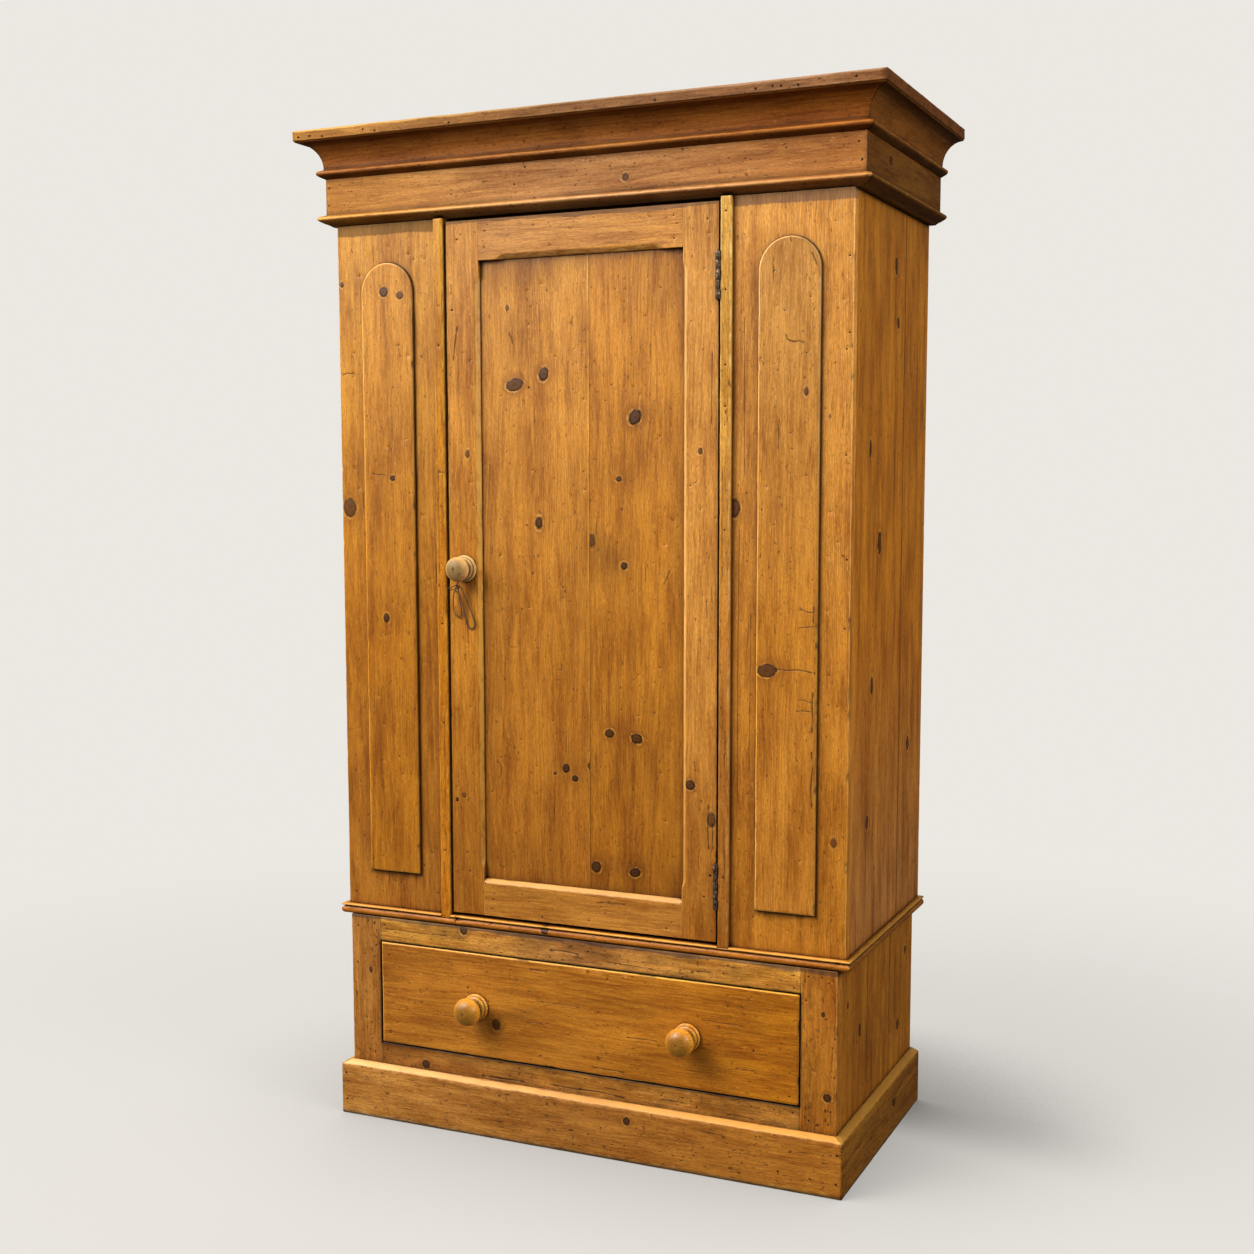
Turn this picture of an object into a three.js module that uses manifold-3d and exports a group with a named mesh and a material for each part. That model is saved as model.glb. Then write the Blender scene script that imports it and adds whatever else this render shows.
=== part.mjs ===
// Waxed-pine single wardrobe: a cornice, an upper carcase with one framed
// door, and a base with one long drawer on a plinth.
// Units are millimetres, +Z is up, the front faces -Y, +X is the viewer's right.
// The design frame has y = 0 on the upper carcase's front face; the whole
// assembly is shifted at the end so that the origin is the centre of the
// bounding box's bottom face.

import * as THREE from "three";
import { mergeVertices } from "three/addons/utils/BufferGeometryUtils.js";
import Module from "manifold-3d";

const wasm = await Module();
wasm.setup();

// ---------------------------------------------------------------- dimensions
const GAP = 0.3; // gap between pieces that meet on a cut or a bore

// Levels
const TOP_Z = 1950; // top of the cornice
const SLAB_Z = 1930; // underside of the cornice's top board
const FRIEZE_TOP_Z = 1861;
const CARCASE_TOP_Z = 1771; // upper carcase top, cornice underside
const CARCASE_BOTTOM_Z = 431; // upper carcase bottom, waist moulding top
const BASE_TOP_Z = 411; // base carcase top, waist moulding underside
const PLINTH_TOP_Z = 110;
const PLINTH_FACE_Z = 102;

// Plan
const BACK_Y = 526;
const UPPER_HALF = 516; // upper carcase half width
const BASE_HALF = 505;
const BASE_FRONT_Y = -12;
const PLINTH_T = 18;
const FRIEZE_HALF = 537;
const FRIEZE_FRONT_Y = -5;
const SLAB_OUT = 45; // top board overhang beyond the frieze
const WAIST_OUT = 12.5; // waist moulding nose beyond the upper carcase
const BOARD = 22; // carcase board thickness
const BACK_T = 12; // back board thickness

// Front of the upper carcase
const OPENING_HALF = 276; // door opening
const STRIP_W = 20;
const STRIP_T = 10;
const STRIP_IN = 278.5; // inner edge of the strips beside the door
const ARCH_X = 404; // centre of each arched panel
const ARCH_W = 112;
const ARCH_T = 7;
const ARCH_Z0 = 505.5;
const ARCH_TOP = 1695.5;

// Door
const DOOR_HALF = 273.5;
const DOOR_FRONT_Y = -4;
const DOOR_T = 24;
const DOOR_Z0 = 437;
const DOOR_Z1 = 1764;
const STILE_IN = 206; // inner edges of the stiles
const RAIL_TOP_Z = 1689; // top rail's lower edge
const RAIL_BOTTOM_Z = 509.5; // bottom rail's upper edge
const GROOVE_Y0 = 6.2;
const GROOVE_Y1 = 15.8;
const GROOVE_D = 8;
const PANEL_JOINT_X = 17.5;
const TENON = 45;
const CHAMFER = 8;
const KNOB_X = -240;
const KNOB_Z = 1112;

// Hinges
const HINGE_X = 273.2;
const HINGE_Y = -8.7;
const HINGE_R = 4;
const HINGE_PIN_R = 1.6;
const HINGE_H = 84;
const HINGE_Z = [500, 1594]; // lower ends
const LEAF_T = 2;

// Drawer
const DRAWER_HALF = 436;
const DRAWER_Z0 = 155;
const DRAWER_Z1 = 360.5;
const DRAWER_FRONT_T = 22;
const DRAWER_SIDE_T = 12;
const DRAWER_BACK_Y = 480;
const DRAWER_KNOB_X = 221;
const DRAWER_KNOB_Z = 254;
const DRAWER_KNOB_L = 59;
const POST_IN = 438.5; // inner edges of the base posts
const RAIL_LOW_Z = 152.2; // top of the lower rail and of the runners
const RAIL_HIGH_Z = 363; // underside of the rail above the drawer

// Hanging rail
const RAIL_R = 14;
const RAIL_Y = 262;
const RAIL_Z = 1650;

// The drawer knobs stand furthest forward, the back boards furthest back
const KNOB_FRONT_Y = BASE_FRONT_Y - DRAWER_KNOB_L - 0.1;
const ORIGIN_Y = (BACK_Y + KNOB_FRONT_Y) / 2;

// ----------------------------------------------------------------- materials
const mat = (color, roughness, metalness = 0) =>
  new THREE.MeshStandardMaterial({ color, roughness, metalness });
const PINE = () => mat(0xb9772e, 0.45);
const PINE_DARK = () => mat(0x9a5a26, 0.5);
const PINE_STRIP = () => mat(0xc4832f, 0.42);
const PINE_INSIDE = () => mat(0xc79a60, 0.75);
const TURNED = () => mat(0xbf8238, 0.35);
const IRON = () => mat(0x2c2723, 0.6, 0.8);
const TWINE = () => mat(0x8a5c3a, 0.95);

// ------------------------------------------------------------------- helpers
const root = new THREE.Group();
const shifted = new THREE.Group();
shifted.position.set(0, -ORIGIN_Y, 0);
root.add(shifted);
const carcase = new THREE.Group();
const door = new THREE.Group();
const drawer = new THREE.Group();
shifted.add(carcase, door, drawer);

function add(group, name, geometry, material) {
  geometry.computeVertexNormals();
  const mesh = new THREE.Mesh(geometry, material);
  mesh.name = name;
  group.add(mesh);
  return mesh;
}

// A board given by its limits, drawn about its own centre and then placed.
function board(group, name, x0, x1, y0, y1, z0, z1, material) {
  const g = new THREE.BoxGeometry(x1 - x0, y1 - y0, z1 - z0);
  const m = add(group, name, g, material);
  m.position.set((x0 + x1) / 2, (y0 + y1) / 2, (z0 + z1) / 2);
  return m;
}

const box = (x0, x1, y0, y1, z0, z1) =>
  new THREE.BoxGeometry(x1 - x0, y1 - y0, z1 - z0).translate(
    (x0 + x1) / 2,
    (y0 + y1) / 2,
    (z0 + z1) / 2,
  );

function toSolid(geometry) {
  const g = geometry.clone();
  for (const key of Object.keys(g.attributes)) if (key !== "position") g.deleteAttribute(key);
  const m = mergeVertices(g.index ? g.toNonIndexed() : g, 1e-4);
  const idx = m.index.array;
  const keep = [];
  for (let i = 0; i < idx.length; i += 3) {
    const [a, b, c] = [idx[i], idx[i + 1], idx[i + 2]];
    if (a !== b && b !== c && a !== c) keep.push(a, b, c);
  }
  return new wasm.Manifold(
    new wasm.Mesh({
      numProp: 3,
      vertProperties: new Float32Array(m.attributes.position.array),
      triVerts: new Uint32Array(keep),
    }),
  );
}

function toGeometry(solid) {
  const mesh = solid.getMesh();
  const g = new THREE.BufferGeometry();
  g.setAttribute("position", new THREE.BufferAttribute(new Float32Array(mesh.vertProperties), 3));
  g.setIndex(new THREE.BufferAttribute(new Uint32Array(mesh.triVerts), 1));
  return g;
}

const cut = (geometry, ...cutters) =>
  toGeometry(cutters.reduce((s, c) => s.subtract(toSolid(c)), toSolid(geometry)));
const join = (geometry, ...more) =>
  toGeometry(more.reduce((s, c) => s.add(toSolid(c)), toSolid(geometry)));

const cylZ = (r, z0, z1, x, y, n = 24) =>
  new THREE.CylinderGeometry(r, r, z1 - z0, n).rotateX(Math.PI / 2).translate(x, y, (z0 + z1) / 2);
const cylY = (r, y0, y1, x, z, n = 32) =>
  new THREE.CylinderGeometry(r, r, y1 - y0, n).translate(x, (y0 + y1) / 2, z);
const cylX = (r, x0, x1, y, z, n = 32) =>
  new THREE.CylinderGeometry(r, r, x1 - x0, n)
    .rotateZ(Math.PI / 2)
    .translate((x0 + x1) / 2, y, z);

// Points of an arc, for moulding profiles.
const arc = (cx, cy, r, a0, a1, n) =>
  Array.from({ length: n + 1 }, (_, i) => {
    const a = ((a0 + ((a1 - a0) * i) / n) * Math.PI) / 180;
    return [cx + r * Math.cos(a), cy + r * Math.sin(a)];
  });

// One run of a mitred moulding. The profile is a list of [out, z]: how far a
// point stands out from the reference face, and its height. The extrusion's
// ends are moved along each point's own offset, which makes the 45 degree cut.
// side: "front", "left" or "right"; half and frontY place the reference faces;
// ends: [first, last] coordinates that replace a mitre with a square cut.
function run(profile, side, half, frontY, ends = [null, null]) {
  const shape = new THREE.Shape(profile.map(([o, z]) => new THREE.Vector2(o, z)));
  const g = new THREE.ExtrudeGeometry(shape, { depth: 100, bevelEnabled: false, steps: 1 });
  const p = g.attributes.position;
  for (let i = 0; i < p.count; i++) {
    const o = p.getX(i);
    const z = p.getY(i);
    const far = p.getZ(i) > 50;
    if (side === "front") {
      const left = ends[0] === null ? -(half + o) : ends[0];
      const right = ends[1] === null ? half + o : ends[1];
      p.setXYZ(i, far ? left : right, frontY - o, z);
    } else if (side === "right") {
      p.setXYZ(i, half + o, far ? frontY - o + GAP * 1.5 : BACK_Y, z);
    } else {
      p.setXYZ(i, -(half + o), far ? BACK_Y : frontY - o + GAP * 1.5, z);
    }
  }
  return g;
}

// A stopped chamfer along Z on the edge at (x, y): a triangular prism whose
// ends run out over a short length. sx, sy point into the timber.
function chamferZ(x, y, z0, z1, c, sx, sy) {
  const tri = [
    new THREE.Vector2(-2, -2),
    new THREE.Vector2(c + 2, -2),
    new THREE.Vector2(-2, c + 2),
  ];
  const g = new THREE.ExtrudeGeometry(new THREE.Shape(tri), {
    depth: 3,
    bevelEnabled: false,
    steps: 3,
  });
  const p = g.attributes.position;
  const runOut = c * 1.6;
  const levels = [z0 - runOut, z0, z1, z1 + runOut];
  for (let i = 0; i < p.count; i++) {
    const k = Math.round(p.getZ(i));
    const s = k === 0 || k === 3 ? 0 : 1;
    const shiftBack = s ? 0 : (c + 0.01) / 2; // slides the triangle out of the timber
    let u = p.getX(i) - shiftBack;
    let v = p.getY(i) - shiftBack;
    p.setXYZ(i, x + sx * u, y + sy * v, levels[k]);
  }
  if (sx * sy < 0) flip(g);
  return g;
}

// The same along X on the edge at (y, z).
function chamferX(y, z, x0, x1, c, sy, sz, stopped = true) {
  const tri = [
    new THREE.Vector2(-2, -2),
    new THREE.Vector2(c + 2, -2),
    new THREE.Vector2(-2, c + 2),
  ];
  const g = new THREE.ExtrudeGeometry(new THREE.Shape(tri), {
    depth: 3,
    bevelEnabled: false,
    steps: 3,
  });
  const p = g.attributes.position;
  const runOut = stopped ? c * 1.6 : 1;
  const levels = [x0 - runOut, x0, x1, x1 + runOut];
  for (let i = 0; i < p.count; i++) {
    const k = Math.round(p.getZ(i));
    const shiftBack = stopped && (k === 0 || k === 3) ? (c + 0.01) / 2 : 0;
    const u = p.getX(i) - shiftBack;
    const v = p.getY(i) - shiftBack;
    p.setXYZ(i, levels[k], y + sy * u, z + sz * v);
  }
  if (sy * sz < 0) flip(g);
  return g;
}

// Turns a geometry's faces over, after a mirrored placement.
function flip(g) {
  const p = g.attributes.position;
  for (let i = 0; i < p.count; i += 3) {
    const a = [p.getX(i), p.getY(i), p.getZ(i)];
    p.setXYZ(i, p.getX(i + 1), p.getY(i + 1), p.getZ(i + 1));
    p.setXYZ(i + 1, ...a);
  }
}

// ------------------------------------------------------------------- cornice
// Frieze board with its foot on the carcase and the small moulding planted on
// its lower edge.
const friezeProfile = [
  [-38, CARCASE_TOP_Z + GAP],
  [-9, CARCASE_TOP_Z + GAP],
  [-5, 1774.2],
  [2, 1777],
  [8, 1780.2],
  [11.6, 1782.6],
  [12.9, 1784.6],
  [13, 1786.8],
  [11.8, 1789],
  [9, 1790.8],
  [4, 1792.4],
  [0, 1794],
  [0, FRIEZE_TOP_Z],
  [-18, FRIEZE_TOP_Z],
  [-18, 1790],
  [-38, 1790],
];
// Cove with the bead on its lower edge, a sprung plank with a hollow back.
const coveProfile = [
  [-18, FRIEZE_TOP_Z + GAP],
  [0.5, FRIEZE_TOP_Z + GAP],
  [4.5, 1863.4],
  [9.5, 1866],
  [12.6, 1868.4],
  [13.8, 1871],
  [13.4, 1873.8],
  [11.4, 1876],
  [7, 1877.8],
  [3, 1879.4],
  ...Array.from({ length: 13 }, (_, i) => {
    const t = (i / 12) * (Math.PI / 2);
    return [3 + 39 * (1 - Math.cos(t)), 1881.5 + 46.2 * Math.sin(t)];
  }),
  [43.5, SLAB_Z],
  [14, SLAB_Z],
  [-4, 1908],
  [-18, 1882],
];
for (const side of ["front", "left", "right"]) {
  add(carcase, `frieze_${side}`, run(friezeProfile, side, FRIEZE_HALF, FRIEZE_FRONT_Y), PINE_DARK());
  add(carcase, `cornice_cove_${side}`, run(coveProfile, side, FRIEZE_HALF, FRIEZE_FRONT_Y), PINE_DARK());
}
board(
  carcase,
  "cornice_top_board",
  -(FRIEZE_HALF + SLAB_OUT),
  FRIEZE_HALF + SLAB_OUT,
  FRIEZE_FRONT_Y - SLAB_OUT,
  BACK_Y,
  SLAB_Z + GAP,
  TOP_Z,
  PINE_DARK(),
);

// ------------------------------------------------------------- upper carcase
for (const [side, s] of [
  ["left", -1],
  ["right", 1],
]) {
  const span = (a, b) => (s < 0 ? [-b, -a] : [a, b]);
  board(
    carcase,
    `side_board_${side}`,
    ...span(UPPER_HALF - BOARD, UPPER_HALF),
    BOARD,
    BACK_Y,
    CARCASE_BOTTOM_Z,
    CARCASE_TOP_Z,
    PINE(),
  );

  let front = box(...span(OPENING_HALF, UPPER_HALF), 0, BOARD, CARCASE_BOTTOM_Z, CARCASE_TOP_Z);
  if (s > 0)
    front = cut(
      front,
      ...HINGE_Z.map((z) =>
        box(OPENING_HALF - 1, OPENING_HALF + 2.4, -1, 16.5, z - 0.3, z + HINGE_H + 0.3),
      ),
    );
  add(carcase, `front_panel_${side}`, front, PINE());

  // Arch-topped raised panel with an eased front edge, planted on the face
  const r = ARCH_W / 2 - 2;
  const shape = new THREE.Shape();
  shape.moveTo(-r, ARCH_Z0 + 2);
  shape.lineTo(r, ARCH_Z0 + 2);
  shape.lineTo(r, ARCH_TOP - 2 - r);
  shape.absarc(0, ARCH_TOP - 2 - r, r, 0, Math.PI, false);
  shape.lineTo(-r, ARCH_Z0 + 2);
  const arch = new THREE.ExtrudeGeometry(shape, {
    depth: 12,
    bevelEnabled: true,
    bevelThickness: 2.2,
    bevelSize: 2,
    bevelSegments: 3,
    curveSegments: 24,
  });
  // extruded along +Z; turned so that the extrusion runs towards the back
  arch.rotateX(Math.PI / 2); // shape's Y becomes Z, depth becomes -Y
  arch.translate(s * ARCH_X, -ARCH_T + 2.2 + 12, 0);
  add(carcase, `arched_panel_${side}`, cut(arch, box(-600, 600, -0.02, 40, 400, 1800)), PINE());

  // Strip beside the door, its lower end over the waist moulding
  const z0 = s < 0 ? 423.8 : 428.8;
  board(
    carcase,
    `door_strip_${side}`,
    ...span(STRIP_IN, STRIP_IN + STRIP_W),
    -STRIP_T,
    -0.02,
    z0,
    CARCASE_TOP_Z,
    PINE_STRIP(),
  );

  // Socket block for the hanging rail
  add(
    carcase,
    `rail_socket_${side}`,
    cut(
      box(...span(UPPER_HALF - BOARD - 20, UPPER_HALF - BOARD), RAIL_Y - 36, RAIL_Y + 36, RAIL_Z - 30, RAIL_Z + 40),
      cylX(RAIL_R + 0.4, ...span(UPPER_HALF - BOARD - 30, UPPER_HALF - BOARD + 1), RAIL_Y, RAIL_Z),
    ),
    PINE_INSIDE(),
  );
}
const inner = UPPER_HALF - BOARD;
board(carcase, "carcase_bottom", -inner, inner, BOARD, BACK_Y - BACK_T, CARCASE_BOTTOM_Z, CARCASE_BOTTOM_Z + BOARD, PINE_INSIDE());
board(carcase, "carcase_top", -inner, inner, BOARD, BACK_Y - BACK_T, CARCASE_TOP_Z - BOARD, CARCASE_TOP_Z, PINE_INSIDE());
const third = inner / 3;
board(carcase, "back_board_left", -inner, -third - 0.4, BACK_Y - BACK_T, BACK_Y, CARCASE_BOTTOM_Z, CARCASE_TOP_Z, PINE_INSIDE());
board(carcase, "back_board_middle", -third + 0.4, third - 0.4, BACK_Y - BACK_T, BACK_Y, CARCASE_BOTTOM_Z, CARCASE_TOP_Z, PINE_INSIDE());
board(carcase, "back_board_right", third + 0.4, inner, BACK_Y - BACK_T, BACK_Y, CARCASE_BOTTOM_Z, CARCASE_TOP_Z, PINE_INSIDE());
add(
  carcase,
  "hanging_rail",
  cylX(RAIL_R, -inner + 1, inner - 1, RAIL_Y, RAIL_Z),
  PINE_INSIDE(),
);

// -------------------------------------------------------------------- hinges
// Iron butt hinges: five knuckles, the frame leaf holds three and the pin.
const knuckle = HINGE_H / 5;
HINGE_Z.forEach((z, i) => {
  const place = i === 0 ? "lower" : "upper";
  const segment = (k) => [z + k * knuckle + (k ? 0.15 : 0), z + (k + 1) * knuckle - (k < 4 ? 0.15 : 0)];
  const bore = cylZ(HINGE_PIN_R + 0.1, z - 5, z + HINGE_H + 5, HINGE_X, HINGE_Y, 16);

  const frameX0 = OPENING_HALF + 0.1;
  let frame = box(frameX0, frameX0 + LEAF_T, -3.4, 16, z, z + HINGE_H);
  for (const k of [0, 2, 4]) {
    const [a, b] = segment(k);
    frame = join(
      frame,
      box(frameX0, frameX0 + LEAF_T, HINGE_Y - 3.4, -3, a, b),
      cylZ(HINGE_R, a, b, HINGE_X, HINGE_Y, 24),
    );
  }
  add(carcase, `hinge_${place}_frame_leaf`, cut(frame, bore), IRON());

  const doorX1 = DOOR_HALF - 0.2;
  let leaf = box(doorX1 - LEAF_T, doorX1, -3.9, 14, z, z + HINGE_H);
  for (const k of [1, 3]) {
    const [a, b] = segment(k);
    leaf = join(
      leaf,
      box(doorX1 - LEAF_T, doorX1, HINGE_Y, -3.5, a, b),
      cylZ(HINGE_R, a, b, HINGE_X, HINGE_Y, 24),
    );
  }
  add(door, `hinge_${place}_door_leaf`, cut(leaf, bore), IRON());
  add(
    carcase,
    `hinge_${place}_pin`,
    cylZ(HINGE_PIN_R, z - 0.4, z + HINGE_H + 0.4, HINGE_X, HINGE_Y, 16),
    IRON(),
  );
});

// ---------------------------------------------------------------------- door
const doorBack = DOOR_FRONT_Y + DOOR_T;
const tenonZ = [
  [445, 495],
  [1703, 1756],
];
for (const [side, s] of [
  ["left", -1],
  ["right", 1],
]) {
  const span = (a, b) => (s < 0 ? [-b, -a] : [a, b]);
  const cutters = [
    box(...span(STILE_IN - 1, STILE_IN + GROOVE_D), GROOVE_Y0, GROOVE_Y1, 500, 1698),
    ...tenonZ.map(([a, b]) =>
      box(...span(STILE_IN - 1, STILE_IN + TENON + 0.6), GROOVE_Y0, GROOVE_Y1, a - GAP, b + GAP),
    ),
    chamferZ(s * STILE_IN, DOOR_FRONT_Y, 543, 1652, CHAMFER, s, 1),
  ];
  if (s > 0)
    HINGE_Z.forEach((z) =>
      cutters.push(
        box(DOOR_HALF - 0.2 - LEAF_T - 0.2, DOOR_HALF + 1, DOOR_FRONT_Y - 1, 14.4, z - 0.3, z + HINGE_H + 0.3),
      ),
    );
  else cutters.push(cylY(7.9, DOOR_FRONT_Y - 1, doorBack + 1, KNOB_X, KNOB_Z));
  add(
    door,
    `door_stile_${side}`,
    cut(box(...span(STILE_IN, DOOR_HALF), DOOR_FRONT_Y, doorBack, DOOR_Z0, DOOR_Z1), ...cutters),
    PINE(),
  );
}
function rail(name, z0, z1, [t0, t1], grooveCut, chamfer) {
  const body = join(
    box(-STILE_IN + 0.01, STILE_IN - 0.01, DOOR_FRONT_Y, doorBack, z0, z1),
    box(-STILE_IN - TENON, STILE_IN + TENON, GROOVE_Y0 + GAP, GROOVE_Y1 - GAP, t0, t1),
  );
  add(door, name, cut(body, grooveCut, chamfer), PINE());
}
rail(
  "door_rail_bottom",
  DOOR_Z0,
  RAIL_BOTTOM_Z,
  tenonZ[0],
  box(-STILE_IN - 1, STILE_IN + 1, GROOVE_Y0, GROOVE_Y1, RAIL_BOTTOM_Z - GROOVE_D, RAIL_BOTTOM_Z + 1),
  chamferX(DOOR_FRONT_Y, RAIL_BOTTOM_Z, -STILE_IN, STILE_IN, CHAMFER, 1, -1, false),
);
rail(
  "door_rail_top",
  RAIL_TOP_Z,
  DOOR_Z1,
  tenonZ[1],
  box(-STILE_IN - 1, STILE_IN + 1, GROOVE_Y0, GROOVE_Y1, RAIL_TOP_Z - 1, RAIL_TOP_Z + GROOVE_D),
  chamferX(DOOR_FRONT_Y, RAIL_TOP_Z, -156, 156, CHAMFER, 1, 1),
);
const panelZ0 = RAIL_BOTTOM_Z - GROOVE_D + 0.6;
const panelZ1 = RAIL_TOP_Z + GROOVE_D - 0.6;
board(door, "door_panel_left_board", -STILE_IN - GROOVE_D + 0.6, PANEL_JOINT_X - 0.25, GROOVE_Y0 + GAP, GROOVE_Y1 - GAP, panelZ0, panelZ1, PINE());
board(door, "door_panel_right_board", PANEL_JOINT_X + 0.25, STILE_IN + GROOVE_D - 0.6, GROOVE_Y0 + GAP, GROOVE_Y1 - GAP, panelZ0, panelZ1, PINE());

// Turned knobs: [radius, distance out from the face], on a round tenon
function knob(group, name, profile, x, faceY, z) {
  const g = new THREE.LatheGeometry(
    profile.map(([r, h]) => new THREE.Vector2(r, h)),
    36,
  );
  const m = add(group, name, g, TURNED());
  m.rotation.x = Math.PI; // the turning axis points out of the face, to -Y
  m.position.set(x, faceY, z);
  return m;
}
knob(
  door,
  "door_knob",
  [
    [0, -20],
    [7.6, -20],
    [7.6, 0.1],
    [25, 0.1],
    [25.6, 1.6],
    [25.4, 4.6],
    [23.6, 6.6],
    [20.6, 7.6],
    [21.4, 9.2],
    [20.8, 11.4],
    [17, 13.2],
    [13, 14.4],
    [12.4, 16.2],
    [14, 18.2],
    [18.6, 20.8],
    [22, 25],
    [23.4, 30],
    [22.8, 35.4],
    [19.8, 41],
    [14.6, 45],
    [8, 47],
    [3, 47.4],
    [0, 46.8],
  ],
  KNOB_X,
  DOOR_FRONT_Y,
  KNOB_Z,
);

// Thin twine tied round the knob's neck: a short end, one turn of the neck,
// two hanging loops and a second short end, as one tube through its knot.
const TWINE_R = 1;
const NECK_Y = DOOR_FRONT_Y - 16;
const NECK_R = 13.9 + TWINE_R;
const twinePath = [
  [-270, -20.5, 1073.5],
  [-262, -21.5, 1076],
  [-254, -21.6, 1079.6],
  [-249.2, -20.8, 1083.6],
  [-247.2, -20, 1089],
];
for (let i = 0; i <= 10; i++) {
  const a = ((-112 - 33.6 * i) * Math.PI) / 180;
  twinePath.push([
    KNOB_X + NECK_R * Math.cos(a),
    NECK_Y + 0.5 - 0.1 * i,
    KNOB_Z + NECK_R * Math.sin(a),
  ]);
}
twinePath.push(
  [-242.4, -22.2, 1090],
  [-247, -23.2, 1083],
  [-254, -20.4, 1070],
  [-260.6, -15, 1052],
  [-262.4, -10, 1034],
  [-259, -7.4, 1022],
  [-253, -6.6, 1018.2],
  [-247.6, -7.2, 1023],
  [-246.4, -9.6, 1036],
  [-247.4, -14.2, 1054],
  [-247.7, -16.7, 1066],
  [-247.6, -17.8, 1072.4],
  [-246.3, -18.4, 1075.6],
  [-243.3, -18.7, 1077],
  [-240.3, -18.4, 1075.6],
  [-239, -17.7, 1072.4],
  [-237.8, -16, 1066],
  [-234.4, -12.4, 1055],
  [-227.4, -8.2, 1034],
  [-221, -6.4, 1014],
  [-219.4, -6, 1004],
  [-223, -6, 997.4],
  [-229.6, -6, 996.6],
  [-235.4, -6.2, 1003],
  [-239.6, -7, 1018],
  [-241, -9.6, 1036],
  [-243.4, -16.8, 1056],
  [-247, -21, 1066.6],
  [-252.2, -24.2, 1072.2],
  [-258.2, -23.2, 1073],
  [-265, -20.6, 1069.4],
);
class Polyline extends THREE.Curve {
  constructor(curve) {
    super();
    this.inner = curve;
  }
  getPoint(t, target = new THREE.Vector3()) {
    return target.copy(this.inner.getPointAt(Math.min(Math.max(t, 0), 1)));
  }
}
const twineCurve = new THREE.CatmullRomCurve3(
  twinePath.map(([x, y, z]) => new THREE.Vector3(x, y, z)),
  false,
  "centripetal",
);
const twineSection = new THREE.Shape(
  Array.from({ length: 8 }, (_, i) => {
    const a = (i / 8) * Math.PI * 2;
    return new THREE.Vector2(TWINE_R * Math.cos(a), TWINE_R * Math.sin(a));
  }),
);
add(
  door,
  "knob_twine",
  new THREE.ExtrudeGeometry(twineSection, {
    steps: 80,
    bevelEnabled: false,
    extrudePath: new Polyline(twineCurve),
  }),
  TWINE(),
);

// -------------------------------------------------------------- waist moulding
// A flat frame between base and upper carcase with a half-round nose.
const waistProfile = [
  [-33, BASE_TOP_Z],
  [2.5, BASE_TOP_Z],
  ...arc(2.5, 421, 10, -67.5, 67.5, 6),
  [2.5, CARCASE_BOTTOM_Z],
  [-33, CARCASE_BOTTOM_Z],
];
const WAIST_JOINT_X = -266;
add(
  carcase,
  "waist_moulding_front_left",
  cut(
    run(waistProfile, "front", UPPER_HALF, 0, [null, WAIST_JOINT_X - GAP]),
    box(-STRIP_IN - STRIP_W - GAP, -STRIP_IN + GAP, -40, 0.0, 423.8 - GAP, 440),
  ),
  PINE_STRIP(),
);
add(
  carcase,
  "waist_moulding_front",
  cut(
    run(waistProfile, "front", UPPER_HALF, 0, [WAIST_JOINT_X, null]),
    box(STRIP_IN - GAP, STRIP_IN + STRIP_W + GAP, -40, 0.0, 428.8 - GAP, 440),
  ),
  PINE_STRIP(),
);
add(carcase, "waist_moulding_left", run(waistProfile, "left", UPPER_HALF, 0), PINE_STRIP());
add(carcase, "waist_moulding_right", run(waistProfile, "right", UPPER_HALF, 0), PINE_STRIP());

// ---------------------------------------------------------------------- base
const postBack = BASE_FRONT_Y + 28;
for (const [side, s] of [
  ["left", -1],
  ["right", 1],
]) {
  const span = (a, b) => (s < 0 ? [-b, -a] : [a, b]);
  board(carcase, `base_post_${side}`, ...span(POST_IN, BASE_HALF), BASE_FRONT_Y, postBack, 0, BASE_TOP_Z, PINE());
  board(carcase, `base_side_${side}`, ...span(BASE_HALF - BOARD, BASE_HALF), postBack, BACK_Y, 0, BASE_TOP_Z, PINE());
  // runner with its guide, an L section along the depth
  const section = new THREE.Shape(
    [
      [415, 128],
      [BASE_HALF - BOARD, 128],
      [BASE_HALF - BOARD, 180],
      [POST_IN - 1.2, 180],
      [POST_IN - 1.2, RAIL_LOW_Z],
      [415, RAIL_LOW_Z],
    ].map(([x, z]) => new THREE.Vector2(s * x, z)),
  );
  const length = BACK_Y - BACK_T - postBack;
  const g = new THREE.ExtrudeGeometry(section, { depth: length, bevelEnabled: false });
  g.rotateX(Math.PI / 2); // Y to Z, depth to -Y
  g.translate(0, BACK_Y - BACK_T, 0);
  add(carcase, `drawer_runner_${side}`, g, PINE_INSIDE());
}
board(carcase, "base_top_rail", -POST_IN, POST_IN, BASE_FRONT_Y, postBack, RAIL_HIGH_Z, BASE_TOP_Z, PINE());
board(carcase, "base_lower_rail", -POST_IN, POST_IN, BASE_FRONT_Y, postBack, 60, RAIL_LOW_Z, PINE());
board(carcase, "base_back", -(BASE_HALF - BOARD), BASE_HALF - BOARD, BACK_Y - BACK_T, BACK_Y, 40, CARCASE_BOTTOM_Z, PINE_INSIDE());

const plinthProfile = [
  [0.02, 0],
  [PLINTH_T, 0],
  [PLINTH_T, PLINTH_FACE_Z],
  [PLINTH_T - 1.5, PLINTH_FACE_Z + 2.6],
  [4, PLINTH_TOP_Z],
  [0.02, PLINTH_TOP_Z],
];
for (const side of ["front", "left", "right"])
  add(carcase, `plinth_${side}`, run(plinthProfile, side, BASE_HALF, BASE_FRONT_Y), PINE());

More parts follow.
